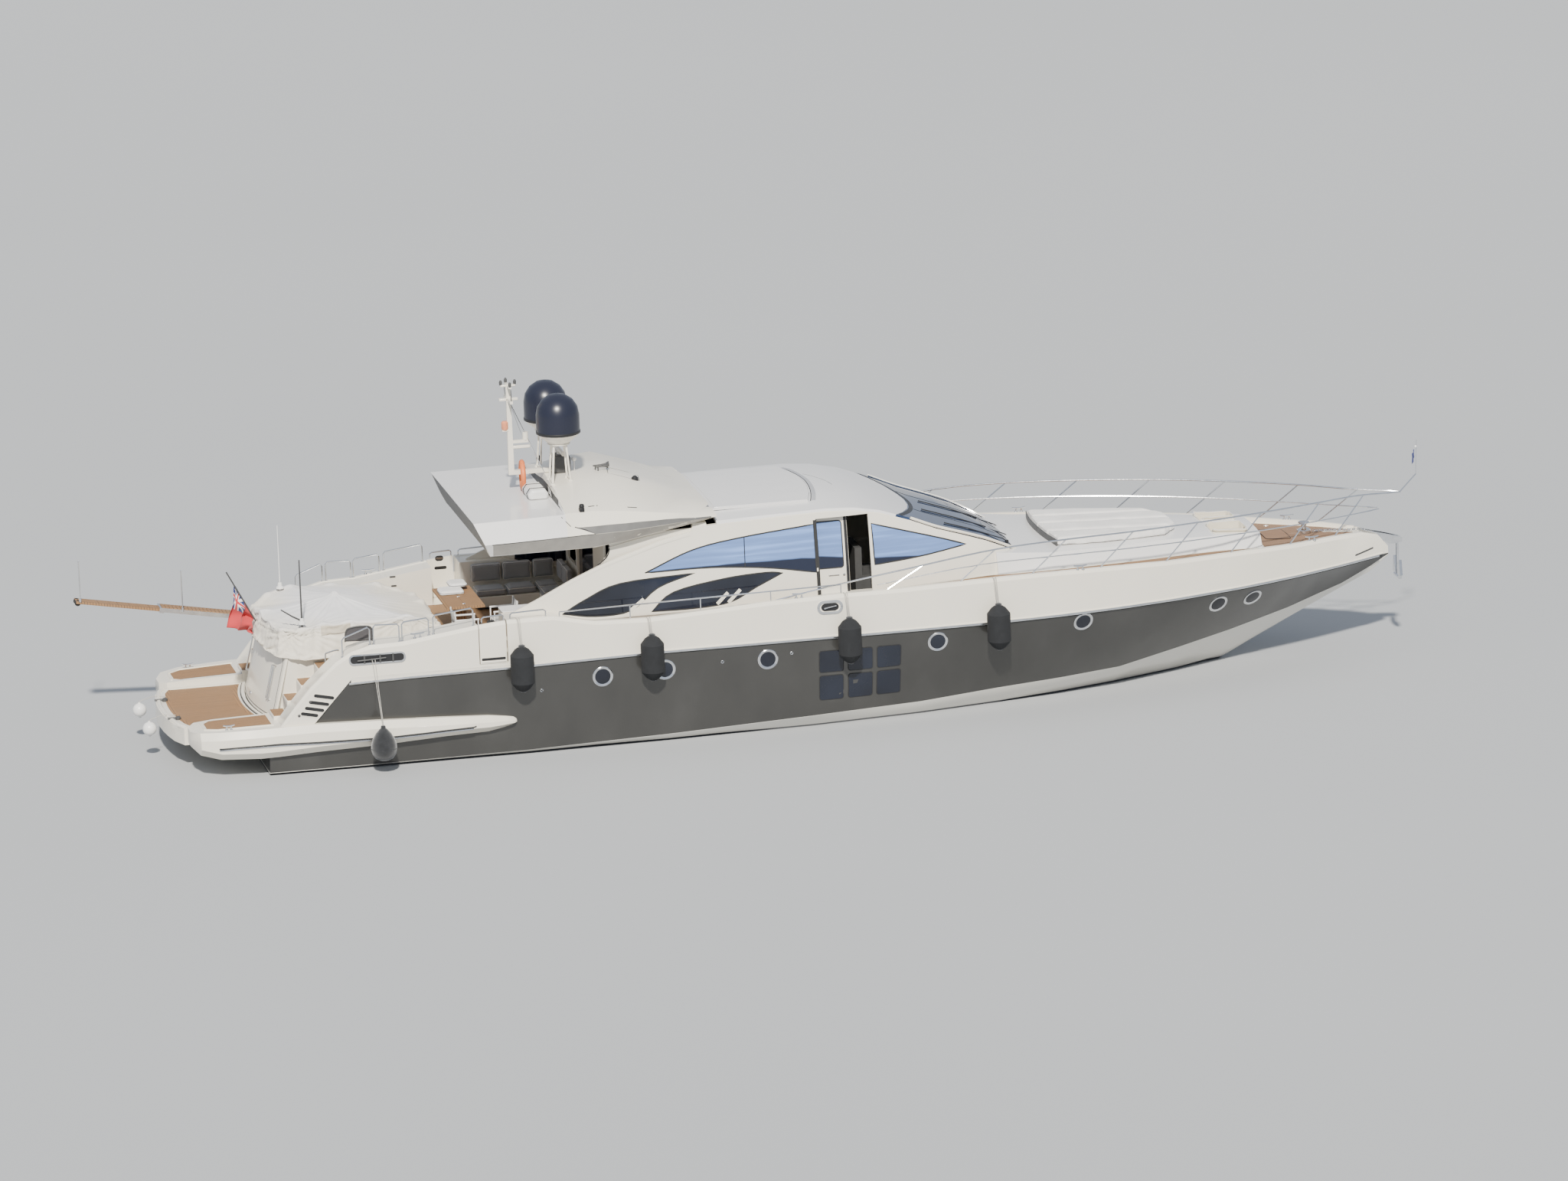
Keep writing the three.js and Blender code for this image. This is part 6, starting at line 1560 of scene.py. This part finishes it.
def cover_rows():
    """Rings of points from the peak out to the shoulder and down to the hem."""
    edge = eased(evenly(SHOULDER, AROUND), 2)
    outward = []
    for k in range(AROUND):
        run = (edge[(k + 5) % AROUND] - edge[k - 5]).to_2d()
        outward.append(Vector((-run.y, run.x, 0)).normalized() * -1)
    middle = Vector((-9.4, 0))
    outward = eased([n if n.to_2d().dot(e.to_2d() - middle) > 0 else -n for n, e in zip(outward, edge)], 14)
    rows = []
    for share in (r / TOP_ROWS for r in range(1, TOP_ROWS + 1)):
        rows.append([folded(PEAK.lerp(e.to_3d(), share), k, out, share, 0.0)
                     for k, (e, out) in enumerate(zip(edge, outward))])
    for skirt in (r / SKIRT_ROWS for r in range(1, SKIRT_ROWS + 1)):
        flare = 0.015 + 0.115 * math.sin(skirt * math.pi / 2)
        hung = [Vector((e.x, e.y, e.z + (e.w - e.z) * skirt**1.08)) + out * flare
                for e, out in zip(edge, outward)]
        rows.append([folded(p, k, out, 1.0, skirt) for k, (p, out) in enumerate(zip(hung, outward))])
    return rows


def flap(cover, rows, shares):
    """A stitched flap that lies on a patch of the cover's skirt."""
    grid = [[cover.data.vertices[1 + r * AROUND + k] for k in shares] for r in rows]
    lifted = [[v.co + v.normal * lift for row in grid for v in row] for lift in (0.005, 0.009)]
    wide, high = len(shares), len(rows)
    size = wide * high
    quads = grid_faces(high, wide)
    rim = [r * wide for r in range(high)] + [(high - 1) * wide + c for c in range(1, wide)]
    rim += [r * wide + wide - 1 for r in range(high - 2, -1, -1)] + list(range(wide - 2, 0, -1))
    faces = quads + [tuple(i + size for i in reversed(q)) for q in quads]
    faces += [(a, b, b + size, a + size) for a, b in zip(rim, [*rim[1:], rim[0]])]
    made = open_mesh("sunbed_cover_flap", "flap", lifted[0] + lifted[1], faces, "garage_lid")
    return made


def make_cover():
    rows = cover_rows()
    verts = [PEAK, *(p for row in rows for p in row)]
    faces = [(0, 1 + k, 1 + (k + 1) % AROUND) for k in range(AROUND)]
    for r in range(len(rows) - 1):
        here, below = 1 + r * AROUND, 1 + (r + 1) * AROUND
        faces += [(here + k, below + k, below + (k + 1) % AROUND, here + (k + 1) % AROUND)
                  for k in range(AROUND)]
    made = open_mesh("sunbed_cover_cloth", "cover", verts, faces, "garage_lid")
    hem_start = 1 + (len(rows) - 1) * AROUND
    held = set(range(hem_start, hem_start + AROUND)) | set(range(0, 1 + AROUND))
    for corner in SHOULDER:
        near = min(range(1, len(verts)), key=lambda k: (verts[k] - corner.to_3d()).length)
        held |= {near + i + j * AROUND for i in (-1, 0, 1) for j in (-1, 0, 1)}
    settle(made, 22, pinned=sorted(held), reach=0.05, quality=5, mass=0.4, tension_stiffness=12,
           compression_stiffness=3, shear_stiffness=4, bending_stiffness=0.2, shrink_min=-0.03, gravity=0.5)
    across = [k for k, p in enumerate(rows[TOP_ROWS]) if p.y < -1.5 and -10.14 < p.x < -9.5]
    flap(made, range(TOP_ROWS + 1, TOP_ROWS + 9), across)
    thicken(made, 0.006)
    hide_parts("sunbed_cover")
    piece("sunbed_cover_hem", "cover",
          pipe([p + Vector((0, 0, 0.012)) for p in rows[-1][::2]], 0.012, 6, closed=True),
          body="garage_lid")


make_cover()

# The ensign: red with a blue canton crossed in white, hanging in folds from its staff
STAFF_FOOT, STAFF_TOP = Vector((-11.094, 0, 2.388)), Vector((-11.79, 0, 3.72))


def ensign_point(u, v):
    """u runs from the staff to the fly and v down the hoist, both as shares of the flag."""
    root = STAFF_TOP.lerp(STAFF_FOOT, 0.2 + 0.55 * v)
    fall = (0.92 - 0.55 * v) * u
    gather = min(1.0, u * 3)
    fold = 0.085 * math.sin(u * 10.5 + v * 5.0) * gather * (0.45 + 0.55 * v)
    lean = -0.2 + 0.1 * v
    ripple = 0.035 * math.sin(v * 15.0 + u * 4.0) * gather
    return root + Vector((0.02 + lean * fall + ripple, 0.02 + fold + 0.05 * math.sin(v * 11.0) * gather,
                          -fall))


def make_ensign():
    columns, rows = 60, 40
    verts = [ensign_point(i / (columns - 1), j / (rows - 1)) for i in range(columns) for j in range(rows)]
    made = open_mesh("ensign_cloth", "red", verts, grid_faces(columns, rows), "garage_lid")
    for look in ("blue_cloth", "white_cloth"):
        made.data.materials.append(M[look])
    for face in made.data.polygons:
        i, j = divmod(face.index, rows - 1)
        u, v = (i + 0.5) / (columns - 1) * 2, (j + 0.5) / (rows - 1) * 2
        if u < 1 and v < 1:
            cross = min(abs(u - 0.5), abs(v - 0.5))
            saltire = min(abs(u - v), abs(u + v - 1))
            face.material_index = 0 if cross < 0.06 else 2 if cross < 0.11 or saltire < 0.07 else 1
    thicken(made, 0.0025)
    edge = [ensign_point(0, v) for v in stretch(0, 1, 9)]
    hoist = sum((b - a).length for a, b in zip(edge, edge[1:]))
    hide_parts("ensign")


make_ensign()

# Stuffed pads: cockpit sofa, sunpad, locker pads and the cushions on the table


def stuffed(name, look, shell, voxel, reach, hold, body="boat"):
    """A pad blown up by a cloth simulation from a closed shell; hold says which points stay at rest."""
    made = open_mesh(name, look, *shell, body=body)
    grid = made.modifiers.new("voxels", "REMESH")
    grid.mode, grid.voxel_size, grid.use_smooth_shade = "VOXEL", voxel, True
    soften = made.modifiers.new("round_edges", "SMOOTH")
    soften.factor, soften.iterations = 0.5, 5
    apply_modifiers(made)
    pinned = [v.index for v in made.data.vertices if hold(v.co)]
    settle(made, 20, pinned=pinned, reach=reach, use_pressure=True, uniform_pressure_force=4.0, gravity=0.0,
           quality=5, mass=0.3, tension_stiffness=15, compression_stiffness=15, shear_stiffness=5,
           bending_stiffness=0.5)
    fine = made.modifiers.new("fine", "SUBSURF")
    fine.levels = fine.render_levels = 1
    apply_modifiers(made)
    return made


def piping(name, look, cushion, path, body="boat", radius=0.006):
    """A sewn cord along a path, on the nearest points of a cushion."""
    mesh = cushion.data
    tree = BVHTree.FromPolygons([v.co for v in mesh.vertices], [p.vertices for p in mesh.polygons])
    seam = []
    for p in path:
        at, normal, _, _ = tree.find_nearest(Vector(p))
        if not seam or (at - seam[-1]).length > radius * 0.8:
            seam.append(at + normal * radius * 0.4)
    piece(name, look, pipe(seam, radius, 6, closed=True), body=body)


def dense(points, step=0.04):
    """A closed path with a point every step."""
    made = []
    for a, b in zip(points, points[1:] + points[:1]):
        a, b = Vector(a), Vector(b)
        parts = max(1, round((b - a).length / step))
        made += [a.lerp(b, k / parts) for k in range(parts)]
    return made


SOLE = 2.0515
plinths = [block((-6.24, 1.53, 2.1), (-4.215, 2.325, 2.325)),
           block((-4.885, 0.975, 2.1), (-4.215, 1.525, 2.325))]
sofa = piece("sofa_plinth", "cream", *plinths, bevel=0.012)
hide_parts("cockpit_sofa")
kicks = [block((-6.2, 1.57, SOLE), (-4.26, 2.3, 2.099)), block((-4.84, 1.02, SOLE), (-4.26, 1.56, 2.099))]
piece("sofa_toe_kick", "dark", *kicks, bevel=0.004)
# Seat cushions: spans along the boat and across it
SEATS = [(-6.225, -5.57, 1.54, 2.1), (-5.545, -4.92, 1.54, 2.1), (-4.885, -4.43, 1.54, 2.1),
         (-4.885, -4.43, 0.985, 1.515)]
for k, (x0, x1, y0, y1) in enumerate(SEATS):
    outline = rounded(x0, x1, y0, y1, 0.05)
    seat = stuffed(f"sofa_seat_{k}", "sofa", prism(outline, "z", 2.332, 2.462), 0.026, 0.018,
                   lambda co: co.z < 2.345)
    piping(f"sofa_seat_piping_{k}", "cover", seat, dense([(x, y, 2.465) for x, y in outline]))
# The axis that each back cushion faces along, its span and its depth
BACKS = [("y", (-6.225, -5.57), (2.15, 2.285)), ("y", (-5.545, -4.92), (2.15, 2.285)),
         ("y", (-4.885, -4.43), (2.15, 2.285)), ("x", (0.985, 1.51), (-4.375, -4.245)),
         ("x", (1.535, 2.11), (-4.375, -4.245))]
for k, (axis, span, depth) in enumerate(BACKS):
    outline = rounded(*span, 2.5, 2.9, 0.05)
    far = depth[1] - 0.015
    hold = (lambda co: co.y > far) if axis == "y" else (lambda co: co.x > far)
    back = stuffed(f"sofa_back_{k}", "sofa", prism(outline, axis, *depth), 0.026, 0.016, hold)
    path = [(u, depth[0], v) if axis == "y" else (depth[0], u, v) for u, v in outline]
    piping(f"sofa_back_piping_{k}", "cover", back, dense(path))

trunk = ("foredeck_trunk",)


def trunk_top(x, y):
    return onto(trunk, x, y, ABOVE)[0].z


def trunk_level(height):
    """The surface that lies a height above the trunk."""
    return lambda x, y: (x, y, trunk_top(x, y) + height)


def sunpad_top(x, y):
    """The sunpad's top, a little lower towards its sides."""
    return (x, y, trunk_top(x, 0.0) + 0.158 - 0.03 * abs(y) / 1.4)


# Outlines of the sunpad's inner and outer cushions on one side
STRIPS = [
    [(5.64, 0.012), (5.67, 0.7), (8.41, 0.7), (8.55, 0.5), (8.57, 0.012)],
    [(5.685, 0.725), (5.75, 1.39), (6.8, 1.3), (8.21, 0.98), (8.395, 0.725)],
]
for side_name, side in SIDES.items():
    for k, strip in enumerate(STRIPS):
        outline = [(x, side * y) for x, y in strip]
        shell = slab(outline, sunpad_top, trunk_level(0.006), 0.3)
        pad = stuffed(f"sunpad_{side_name}_{k}", "pad", shell, 0.036, 0.016,
                      lambda co: co.z < trunk_top(co.x, co.y) + 0.03)
        piping(f"sunpad_piping_{side_name}_{k}", "cover", pad,
               dense([sunpad_top(*p) for p in outline], 0.06), radius=0.005)
        if k == 0 and side < 0:
            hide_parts("foredeck_sunpad")
aft_line = [(5.76, -1.4), (5.685, -0.95), (5.64, -0.5), (5.62, 0.0), (5.64, 0.5), (5.685, 0.95), (5.76, 1.4)]
rings = []
for x, y in flat_spline(aft_line, 4):
    foot, head = trunk_top(x, y) + 0.003, sunpad_top(x, y)[2] - 0.02
    section = ((0.028, foot), (0.012, foot), (0.012, head), (0.028, head - 0.01))
    rings.append([(x - dx, y, z) for dx, z in section])
piece("sunpad_aft_band", "dark", loft(rings), bevel=0.004)

for side_name, side in SIDES.items():
    body = f"bow_locker_lid_{side_name}"
    ys = sorted((side * 0.195, side * 0.895))
    outline = rounded(9.265, 10.06, *ys, 0.07)
    piece(f"locker_board_{side_name}", "cream", slab(outline, trunk_level(0.03), trunk_level(0.004)),
          body=body, bevel=0.004)
    inset = rounded(9.28, 10.045, ys[0] + 0.015, ys[1] - 0.015, 0.07)
    pad = stuffed(f"locker_pad_{side_name}", "beige", slab(inset, trunk_level(0.096), trunk_level(0.033)),
                  0.024, 0.014, lambda co: co.z < trunk_top(co.x, co.y) + 0.05, body=body)
    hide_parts(body)
    rim = [trunk_level(0.1)(x, y) for x, y in inset]
    piping(f"locker_pad_piping_{side_name}", "cover", pad, dense(rim), body=body)

# Cushions on the table: spans along and across, foot and thickness
TABLE_PADS = [(-7.26, -6.72, 0.1, 0.62, 2.787, 0.07), (-7.0, -6.6, 0.42, 0.9, 2.862, 0.065)]
for k, (x0, x1, y0, y1, z, thick) in enumerate(TABLE_PADS):
    outline = rounded(x0, x1, y0, y1, 0.09)
    floor = z + 0.004
    pad = stuffed(f"table_cushion_{k}", "white_cloth", prism(outline, "z", z, z + thick), 0.02, 0.016,
                  lambda co: co.z < floor + 0.008)
    piping(f"table_cushion_piping_{k}", "navy_cloth", pad,
           dense([(x, y, z + thick * 0.55) for x, y in outline]), radius=0.005)

# Deck chairs, awning pole, aerial, burgee, table, cockpit fittings


def thin_sheet(name, look, outline, level, thick):
    """A stretched sheet under a flat outline."""
    lower = lambda u, v: Vector(level(u, v)) - Vector((0, 0, thick))
    made = open_mesh(name, look, *slab(outline, level, lower, 0.05))


# Deck chairs: half width, half depth, levels of the seat and of the arm
CHAIR_WIDE, CHAIR_DEEP, CHAIR_SEAT, CHAIR_ARM = 0.235, 0.23, 2.5, 2.71


def add_deck_chair(label, x, y, facing):
    """A folding chair of painted tubes; facing is the way its back lies from its seat."""
    tubes = []
    for leg_y in (y - CHAIR_WIDE, y + CHAIR_WIDE):
        front, back = x - CHAIR_DEEP * facing, x + CHAIR_DEEP * facing
        tubes.append(pipe([(front, leg_y, 2.052), (front, leg_y, CHAIR_ARM)], 0.015, 10))
        rear = [(back, 2.052), (back, CHAIR_SEAT), (back + 0.012 * facing, 2.7), (back + 0.03 * facing, 2.92)]
        tubes.append(pipe([(u, leg_y, z) for u, z in rear], 0.015, 10))
        arm = [(front - 0.02 * facing, leg_y, 2.72), (back + 0.01 * facing, leg_y, 2.725)]
        tubes.append(pipe(arm, 0.02, 10))
        tubes.append(pipe([(front, leg_y, CHAIR_SEAT), (back, leg_y, 2.49)], 0.013, 8))
    for dx, z in ((-CHAIR_DEEP, 2.3), (CHAIR_DEEP, 2.3), (-CHAIR_DEEP, CHAIR_SEAT), (CHAIR_DEEP, 2.49)):
        tubes.append(pipe([(x + dx, y - CHAIR_WIDE, z), (x + dx, y + CHAIR_WIDE, z)], 0.012, 8))
    frame_piece = piece(f"deck_chair_frame_{label}", "white", *tubes)
    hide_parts(f"deck_chair_{label}")
    seat = [(x - 0.225, y - 0.232), (x + 0.225, y - 0.232), (x + 0.225, y + 0.232), (x - 0.225, y + 0.232)]
    sag = lambda u, v: (u, v, 2.517 - 0.022 * math.cos((v - y) / 0.232 * math.pi / 2))
    thin_sheet(f"deck_chair_seat_{label}", "chair_mesh", seat, sag, 0.003)
    rail = x + 0.25 * facing
    bowed = [(-0.24, 0.012), (-0.12, 0.0), (0.0, -0.004), (0.12, 0.0), (0.24, 0.012)]
    bowed += [(w, bow + 0.003) for w, bow in reversed(bowed)]
    verts, faces = loft([[(rail + (lean + bow) * facing - 0.012 * facing, y + w, z) for w, bow in bowed]
                         for z, lean in ((2.62, 0.002), (2.7, 0.008), (2.8, 0.018), (2.9, 0.028))])
    back_sheet = open_mesh(f"deck_chair_back_{label}", "chair_mesh", verts, faces)


add_deck_chair("aft", -7.05, -1.65, -1)
add_deck_chair("forward", -6.15, -1.15, 1)

# A folded chair left against the coaming rail
folded_line = [(-9.77, 2.67), (-9.75, 2.93), (-9.6, 3.0), (-9.3, 2.99), (-9.21, 2.9), (-9.19, 2.65)]
lean = lambda z: -2.62 - (z - 2.65) * 0.35
bend = [(p.x, lean(p.y), p.y) for p in spline([(u, v, 0) for u, v in folded_line], 4)]
piece("folded_chair_frame", "dark", pipe(bend, 0.016, 10),
      pipe([(-9.77, lean(2.72), 2.72), (-9.19, lean(2.7), 2.7)], 0.012, 8),
      pipe([(-9.62, lean(2.68) + 0.06, 2.66), (-9.6, lean(2.98) + 0.03, 2.97)], 0.012, 8))
verts, faces = slab(flat_spline(folded_line), lambda u, v: (u, lean(v) - 0.001, v),
                    lambda u, v: (u, lean(v) + 0.002, v), 0.08)
mesh_sheet = open_mesh("folded_chair_mesh", "mesh", verts, faces)

# Awning pole and whip aerial, which stand on the garage lid and pass through the cover
for name, look, spot, head, radius in (("awning_pole", "dark", (-10.5, -1.64), 4.25, 0.024),
                                       ("whip_aerial", "white", (-10.42, 1.6), 4.25, 0.013)):
    foot = onto(lid, *spot, ABOVE)[0]
    x, y = spot
    pole = pipe([foot + Vector((0, 0, -0.004)), (x, y, 3.3), (x, y, head)],
                lambda t, r=radius: r * (1.0 - 0.45 * t), 12)
    shoe = lathe([(0, 0), (0.05, 0), (0.05, 0.02), (0.03, 0.06), (0, 0.06)], foot, sides=18)
    piece(name, look, pole, shoe, body="garage_lid")
    grommet = lathe([(0.035, -0.03), (0.085, -0.02), (0.08, 0.012), (0.05, 0.03), (0.042, 0.1), (0.03, 0.11),
                     (0.03, -0.03)], (x, y, 2.9), sides=20)
    piece(f"{name}_collar", "white", grommet, body="garage_lid")
arm = pipe([(-10.54, -1.64, 2.97), (-10.7, -1.64, 3.06), (-10.93, -1.64, 3.22)],
           lambda t: 0.02 - 0.006 * t, 10)
piece("awning_pole_arm", "dark", arm, body="garage_lid")

# Burgee on the jackstaff
_, staff_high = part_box("bow_rail")
tip_x = staff_high.x - 0.028


def burgee_point(u, v):
    """u runs from the staff to the fly and v down the hoist, both as shares of the flag."""
    return Vector((tip_x - 0.03 - 0.05 * u - 0.012 * math.sin(u * 9), 0.02 * math.sin(u * 11 + v * 3),
                   4.22 - 0.12 * u - 0.17 * v - 0.05 * u * v))


columns, rows = 14, 10
verts = [burgee_point(i / (columns - 1), j / (rows - 1)) for i in range(columns) for j in range(rows)]
burgee = open_mesh("burgee", "blue_cloth", verts, grid_faces(columns, rows))
thicken(burgee, 0.002)
piece("jackstaff_finial", "white", lathe([(0, 0), (0.02, 0), (0.026, 0.02), (0.015, 0.04), (0, 0.042)],
                                         (tip_x, 0, min(staff_high.z - 0.045, 4.26)), sides=14))

# Table top: planked panels inside a rim, with hinges
table = ("cockpit_table",)
panels = [rounded(-7.26, -6.92, -0.91, 0.81, 0.03), rounded(-6.88, -6.54, -0.91, 0.81, 0.03)]
piece("table_panels", "teak", *(patch(p, table, ABOVE, 0.005, 0.008, 0.5) for p in panels), bevel=0.002)
hinges = [block((-6.93, y - 0.03, 2.7835), (-6.87, y + 0.03, 2.789)) for y in (-0.7, -0.05, 0.6)]
piece("table_hinges", "steel", *hinges, bevel=0.001)
posts = [lathe([(0.0, 0), (0.17, 0), (0.16, 0.012), (0.0, 0.014)], (-6.9, y, 2.0805), sides=28)
         for y in (-0.275, 0.225)]
piece("table_foot_plates", "steel", *posts)

# Fittings on the coamings' inner faces and on those of the boarding doors
MARKS = {"port": [(-7.88, 2.74, 0.05), (-8.8, 2.6, 0.06), (-8.32, 2.61, 0.022), (-7.86, 2.54, 0.045)],
         "stb": [(-7.88, 2.74, 0.05), (-8.8, 2.6, 0.05)]}
for side_name, spots in MARKS.items():
    ys = sorted((SIDES[side_name] * 2.338, SIDES[side_name] * 2.349))
    marks = [prism(capsule((x - w, z), (x + w, z), 0.016), "y", *ys) for x, z, w in spots]
    piece(f"coaming_fittings_{side_name}", "dark", *marks, bevel=0.002)
BOARDING_DOOR_INNER = 2.98
for side_name, side in SIDES.items():
    face, out = side * BOARDING_DOOR_INNER, -side * 0.003
    ys = sorted((face + side * 0.004, face + out))
    latch = prism(rounded(-6.84, -6.66, 2.84, 2.96, 0.055), "y", *ys)
    slot = prism(capsule((-6.83, 2.69), (-6.63, 2.69), 0.035), "y", *ys)
    piece(f"boarding_door_latch_{side_name}", "black", latch, slot, body=f"bulwark_door_{side_name}",
          bevel=0.003)
    ys = sorted((face + out, face + out * 1.5))
    pull = prism(capsule((-6.8, 2.9), (-6.7, 2.9), 0.02), "y", *ys)
    piece(f"boarding_door_pull_{side_name}", "steel", pull, body=f"bulwark_door_{side_name}", bevel=0.002)

# Cabinet by the starboard side: worktop, door seams and catch
piece("cabinet_worktop", "white", prism(rounded(-6.39, -5.69, -2.34, -1.84, 0.06), "z", 2.9305, 2.95),
      bevel=0.006)
doors = [prism([(x0, z0), (x1, z0), (x1, z1), (x0, z1)], "y", -1.8495, -1.838)
         for x0, x1, z0, z1 in ((-6.35, -6.05, 2.12, 2.86), (-6.03, -5.73, 2.12, 2.86))]
piece("cabinet_doors", "cream", *doors, bevel=0.004)
pulls = [lathe([(0, 0), (0.018, 0), (0.018, 0.008), (0, 0.01)], (x, -1.838, 2.75), (0, 1, 0), 14)
         for x in (-6.09, -5.99)]
piece("cabinet_catches", "steel", *pulls)

# Rails on the boarding door and forward of it, the slot and lip along the door's foot, rail beside the gills
for side_name, side in SIDES.items():
    seen, door_name = ("y", side), f"bulwark_door_{side_name}"
    door_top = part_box(door_name)[1].z
    y = side * 3.003
    path = [(-6.95, y, door_top - 0.01), (-6.95, y, door_top + 0.07), (-6.91, y, door_top + 0.1),
            (-6.53, y, door_top + 0.12), (-6.49, y, door_top + 0.09), (-6.49, y, door_top - 0.01)]
    piece(f"boarding_door_rail_{side_name}", "steel", pipe(path, RAIL, 10), body=door_name)
    y = side * (rub_half(-6.0) - RAIL_INSET)
    path = [(-6.34, y, gunwale(-6.34) - 0.01), (-6.34, y, 3.03), (-6.3, y, 3.065), (-5.64, y, 3.085),
            (-5.59, y, 3.05), (-5.59, y, gunwale(-5.59) - 0.01)]
    piece(f"forward_coaming_rail_{side_name}", "steel", pipe(path, RAIL, 10))
    slot = rounded(-6.99, -6.485, 2.125, 2.18, 0.02)
    piece(f"boarding_door_slot_{side_name}", "black", patch(slot, (door_name,), seen, 0.003, 0.01),
          body=door_name)
    lip = [onto((door_name,), x, 2.095, seen)[0] for x in stretch(-6.995, -6.48, 8)]
    piece(f"boarding_door_lip_{side_name}", "cream", pipe(lip, 0.016, 10), body=door_name)
    rail, legs = [], []
    for x, z in ((-5.0, 2.95), (-4.5, 2.99), (-4.0, 3.03), (-3.45, 3.08)):
        at, normal, _ = onto(SHELL, x, z, seen)
        rail.append(at + normal * 0.05)
        legs.append(pipe([at - normal * 0.004, at + normal * 0.05], 0.008, 8))
    piece(f"gill_grab_rail_{side_name}", "steel", pipe(spline(rail, 5), 0.013, 10), legs[0], legs[-1])

# Stage: floor at the waterline and soft light


def make_stage():
    mesh = bpy.data.meshes.new("floor")
    mesh.from_pydata([(-400, -300, 0), (400, -300, 0), (400, 400, 0), (-400, 400, 0)], [], [(0, 1, 2, 3)])
    floor = add_object("floor", mesh)
    look = Look("floor_paint", (0.4, 0.41, 0.42), 0.9)
    look.color(look.ramp(look.noise(0.02), (0.3, (0.385, 0.395, 0.405)), (0.7, (0.41, 0.42, 0.43))))
    mesh.materials.append(look.mat)
    floor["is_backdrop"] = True
    world = bpy.data.worlds.new("studio")
    bpy.context.scene.world = world
    world.use_nodes = True
    sky = world.node_tree.nodes["Background"].inputs
    sky["Color"].default_value, sky["Strength"].default_value = (0.78, 0.86, 1.0, 1), 0.7
    sun = bpy.data.lights.new("key", "SUN")
    sun.energy, sun.angle, sun.color = 7.0, math.radians(3), (1.0, 0.96, 0.88)
    key = add_object("key", sun)
    key.rotation_mode = "QUATERNION"
    key.rotation_quaternion = Vector((0.16, 0.71, -0.68)).normalized().to_track_quat("-Z", "Y")


make_stage()

low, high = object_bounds()
